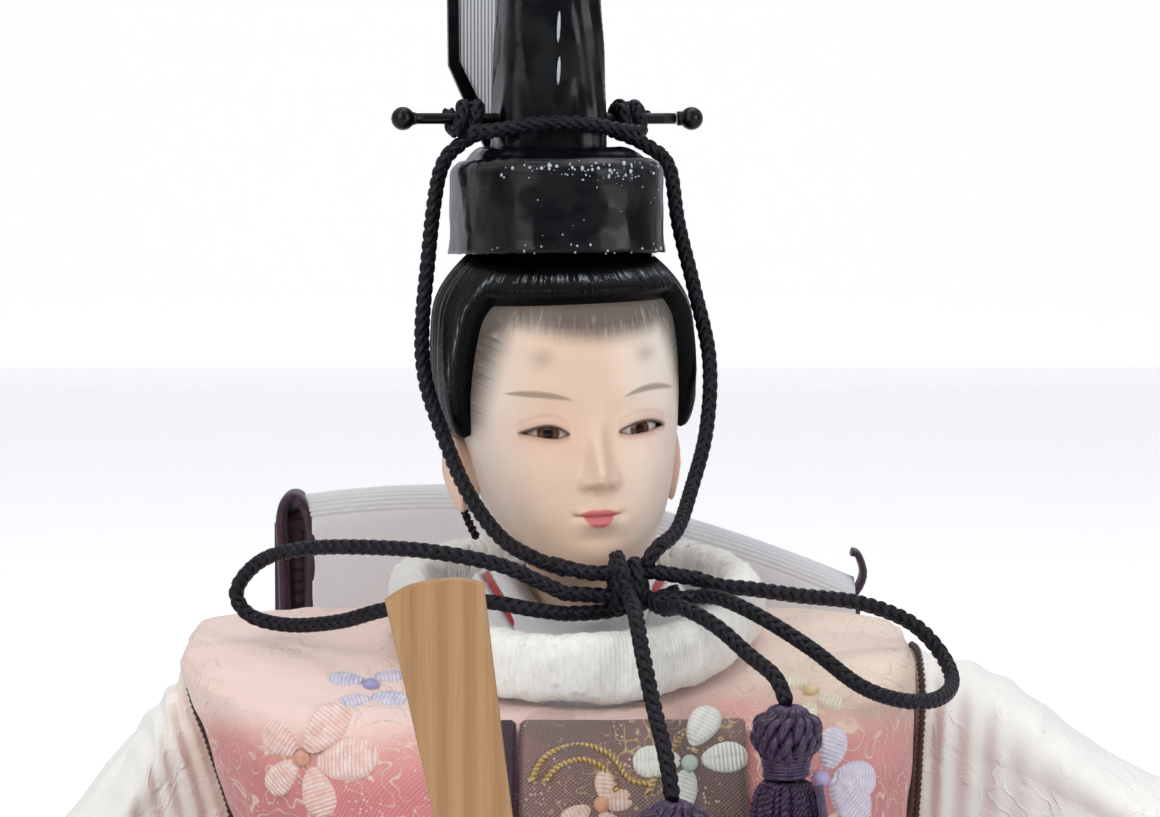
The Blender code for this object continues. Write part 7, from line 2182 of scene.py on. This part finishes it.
def lap(finish):
    share, along = np.meshgrid(np.linspace(-1, 1, 240), np.linspace(0, 1, 170))
    half = 0.0430 - 0.0080 * (1 - along)
    x = share * half
    side = lap_surface(x + CLOTH, along) - lap_surface(x - CLOTH, along)
    down = lap_surface(x, np.minimum(along + 0.02, 1)) - lap_surface(x, np.maximum(along - 0.02, 0))
    out = unit(np.cross(side, down))
    out = np.where((out[..., 2] - out[..., 1] < 0)[..., None], -out, out)
    fold = 0.0011 * along * (1 - np.cos(3 * TURN * x / (2 * half))) / 2
    base = lap_surface(x, along) + fold[..., None] * out
    uneven = 0.00025 * speckle(base, 150, 71) * soft(along, 0, 0.2)
    edge = np.minimum(1 - np.abs(share), np.minimum(along * 2, 1 - along))
    roll = np.sqrt(np.clip(edge / 0.014, 0.03, 1))
    over = base + (CLOTH * (0.3 + 0.7 * roll) + uneven * roll)[..., None] * out
    flat = np.stack([x, along * 0.078], -1)
    colour = skirt_colour(over, 5)
    made = two_sided(
        "robe_skirt_front", over, base, finish, closed=False, spots=flat, paint={"ground": colour}
    )
    return dress(made, "torso", finish, "robe_skirt_front")


def back_skirt(finish):
    sweep, down = np.meshgrid(np.linspace(-math.radians(128), math.radians(128), 320), np.linspace(0, 1, 90))
    top = WAIST_HEIGHT - 1.5 * CLEARANCE
    z = top - down * (top - 2 * CLEARANCE)
    sizes = [
        share * size for share, size in zip(ROBE_SHARES[0][3:], (CHEST_HALF_WIDTH, CHEST_FRONT, CHEST_BACK))
    ]
    flare = (0.0340 - sizes[2]) * np.sin(down * math.pi / 2)
    fold = 0.0016 * down * np.cos(7 * sweep)
    skins = []
    for wall in (0, CLOTH):
        grow = flare + fold + wall + (0.0002 * np.sin(sweep * 31 + down * 3) * down if wall else 0)
        oval = np.stack([z, z, z, sizes[0] + grow * 0.9, sizes[1] + 0 * z, sizes[2] + grow], -1)
        skins.append(oval_points(oval, math.pi + sweep, 2.4))
    flat = np.stack([sweep * 0.045, down * 0.046], -1)
    colour = skirt_colour(skins[1], 6)
    made = two_sided(
        "robe_skirt_back", skins[1], skins[0], finish, closed=False, spots=flat, paint={"ground": colour}
    )
    return dress(made, "torso", finish, "robe_skirt_back")


FOOT_ROWS = (
    (0.00, 0.55, 0.55), (0.12, 0.88, 0.95), (0.40, 1.00, 1.00), (0.72, 0.98, 0.74), (0.92, 0.80, 0.52),
    (1.00, 0.42, 0.30)
)


def foot(side, finish):
    angles = round_angles(96, math.pi)
    rings = []
    for place in np.linspace(0, 5, 70):
        along, wide, high = row_at(FOOT_ROWS, np.array(place))
        level = (1 - np.cos(angles)) / 2
        split = 1 - 0.10 * np.exp(
            -((np.sin(angles) * side + 0.35) / 0.10) ** 2
        ) * soft(np.array(along), 0.72, 0.95) * level
        x = side * (0.0046 + CLEARANCE) + wide * 0.0046 * np.sin(angles) * (1 - 0.25 * level)
        y = np.full(96, -LEG_CENTRE - LEG_HALF_DEPTH * 0.72 - min(max(along, 0), 1) * 0.0180)
        rings.append(np.stack([x, y, 2 * CLEARANCE + high * 0.0115 * level * split], -1))
    flat = meshed(np.arange(70)[:, None] * 0.0003, angles[None] * 0.005)
    name = sided("foot", side)
    return dress(lofted(name, rings, finish, spots=flat), "torso", finish, name)


def wadding():
    """Cotton filling, lumpy, seen only where the head is lifted out."""
    finish = Finish("wadding", tone("E9E4DA"), 0.95)
    finish.bump(finish.noise(700, 6), 0.0006, 0.9)
    angles = round_angles(160, math.pi)
    angle, place = np.meshgrid(angles, np.linspace(0.15, 7.1, 80))
    skin = robe_surface(angle, place)
    skin[..., :2] *= 0.912
    skin[..., 2] -= 0.0056 * place / 8
    lumps = 1 - 0.012 * np.abs(speckle(skin, 190, 81)) * soft(place, 0.15, 1)
    skin[..., :2] *= lumps[..., None]
    top = skin[-1, :, 2].min() - CLEARANCE
    radius = 0.012 + 3 * CLEARANCE
    inner = [
        np.stack(
            [radius * np.sin(angles), -radius * np.cos(angles), np.full(160, z)], -1
        ) for z in (top, skin[0, 0, 2])
    ]
    made = lofted("torso_padding", np.concatenate([skin, inner]), finish, ring=True)
    return dress(made, "torso", finish, "torso_padding")


def stand(finish):
    profile = [
        (0.0003, 0.0012), (0.0, 0.0005), (0.0004, 0.0001), (0.0012, 0.0), (0.0061, 0.0010), (0.0067, 0.0013),
        (0.0070, 0.0022)
    ]
    angles = round_angles(160)
    rings = []
    for z, inset in [(0.0, 0.0009), *profile]:
        rings.append(oval_points((z, z, z, 0.033 - inset, 0.0275 - inset, 0.0275 - inset), angles, 4))
    return dress(crisp(lofted("base_board", rings, finish), 50), "torso", finish, "base_board")


def wood_finish(base, dark):
    finish = Finish("plain_wood", rough=0.55)
    lines = finish.wave(60, finish.stretch((0.06, 1, 1)), "Y", 3.0, 2.0, 2.0)
    pores = finish.noise(3000, 2, finish.stretch((0.04, 1, 1)))
    finish.colour(
        finish.mix(finish.ramp(finish.math("ADD", lines, pores), 0.5, 1.5, 0.0, 0.8), tone(base), tone(dark))
    )
    finish.bump(pores, 0.00003, 0.5)
    return finish


BELT = belt(PURPLE)
TROUSER_SILK = cloth_finish("purple_silk", tone("5A2F55"), 900, 0.45, 0.00007, "X", 0.2, 0.05)
COTTON = cloth_finish("sock_cotton", tone("F4F2EC"), 900, 0.85, 0.00006, "X", 0.3, 0.02)
legs = [trouser(side, TROUSER_SILK) for side in (-1, 1)]
feet = [foot(side, COTTON) for side in (-1, 1)]
skirt_front, skirt_back = lap(PINK), back_skirt(PINK)
filling = wadding()
BOARD = wood_finish("D8B98A", "B98E5A")
stand(BOARD)

STRAW = Finish("straw", rough=0.8)
stalks = STRAW.noise(2600, 3, STRAW.stretch((1, 1, 0.03)))
STRAW.colour(STRAW.mix(STRAW.ramp(stalks, 0.3, 0.7), tone("B99B5E"), tone("E0CB92")))
STRAW.bump(stalks, 0.0003, 0.8)
WRAP = Finish("paper_wrap", rough=0.85)
WRAP.colour(WRAP.mix(WRAP.ramp(WRAP.noise(900, 3), 0.3, 0.7, 0.0, 0.4), tone("E6DCC6"), tone("C9BA9A")))
WRAP.bump(WRAP.wave(300, None, "X"), 0.0001, 0.5)
for node, finish in (("body_core", STRAW), ("arm_frame", WRAP), ("neck_peg", BOARD)):
    refinish(node, finish)
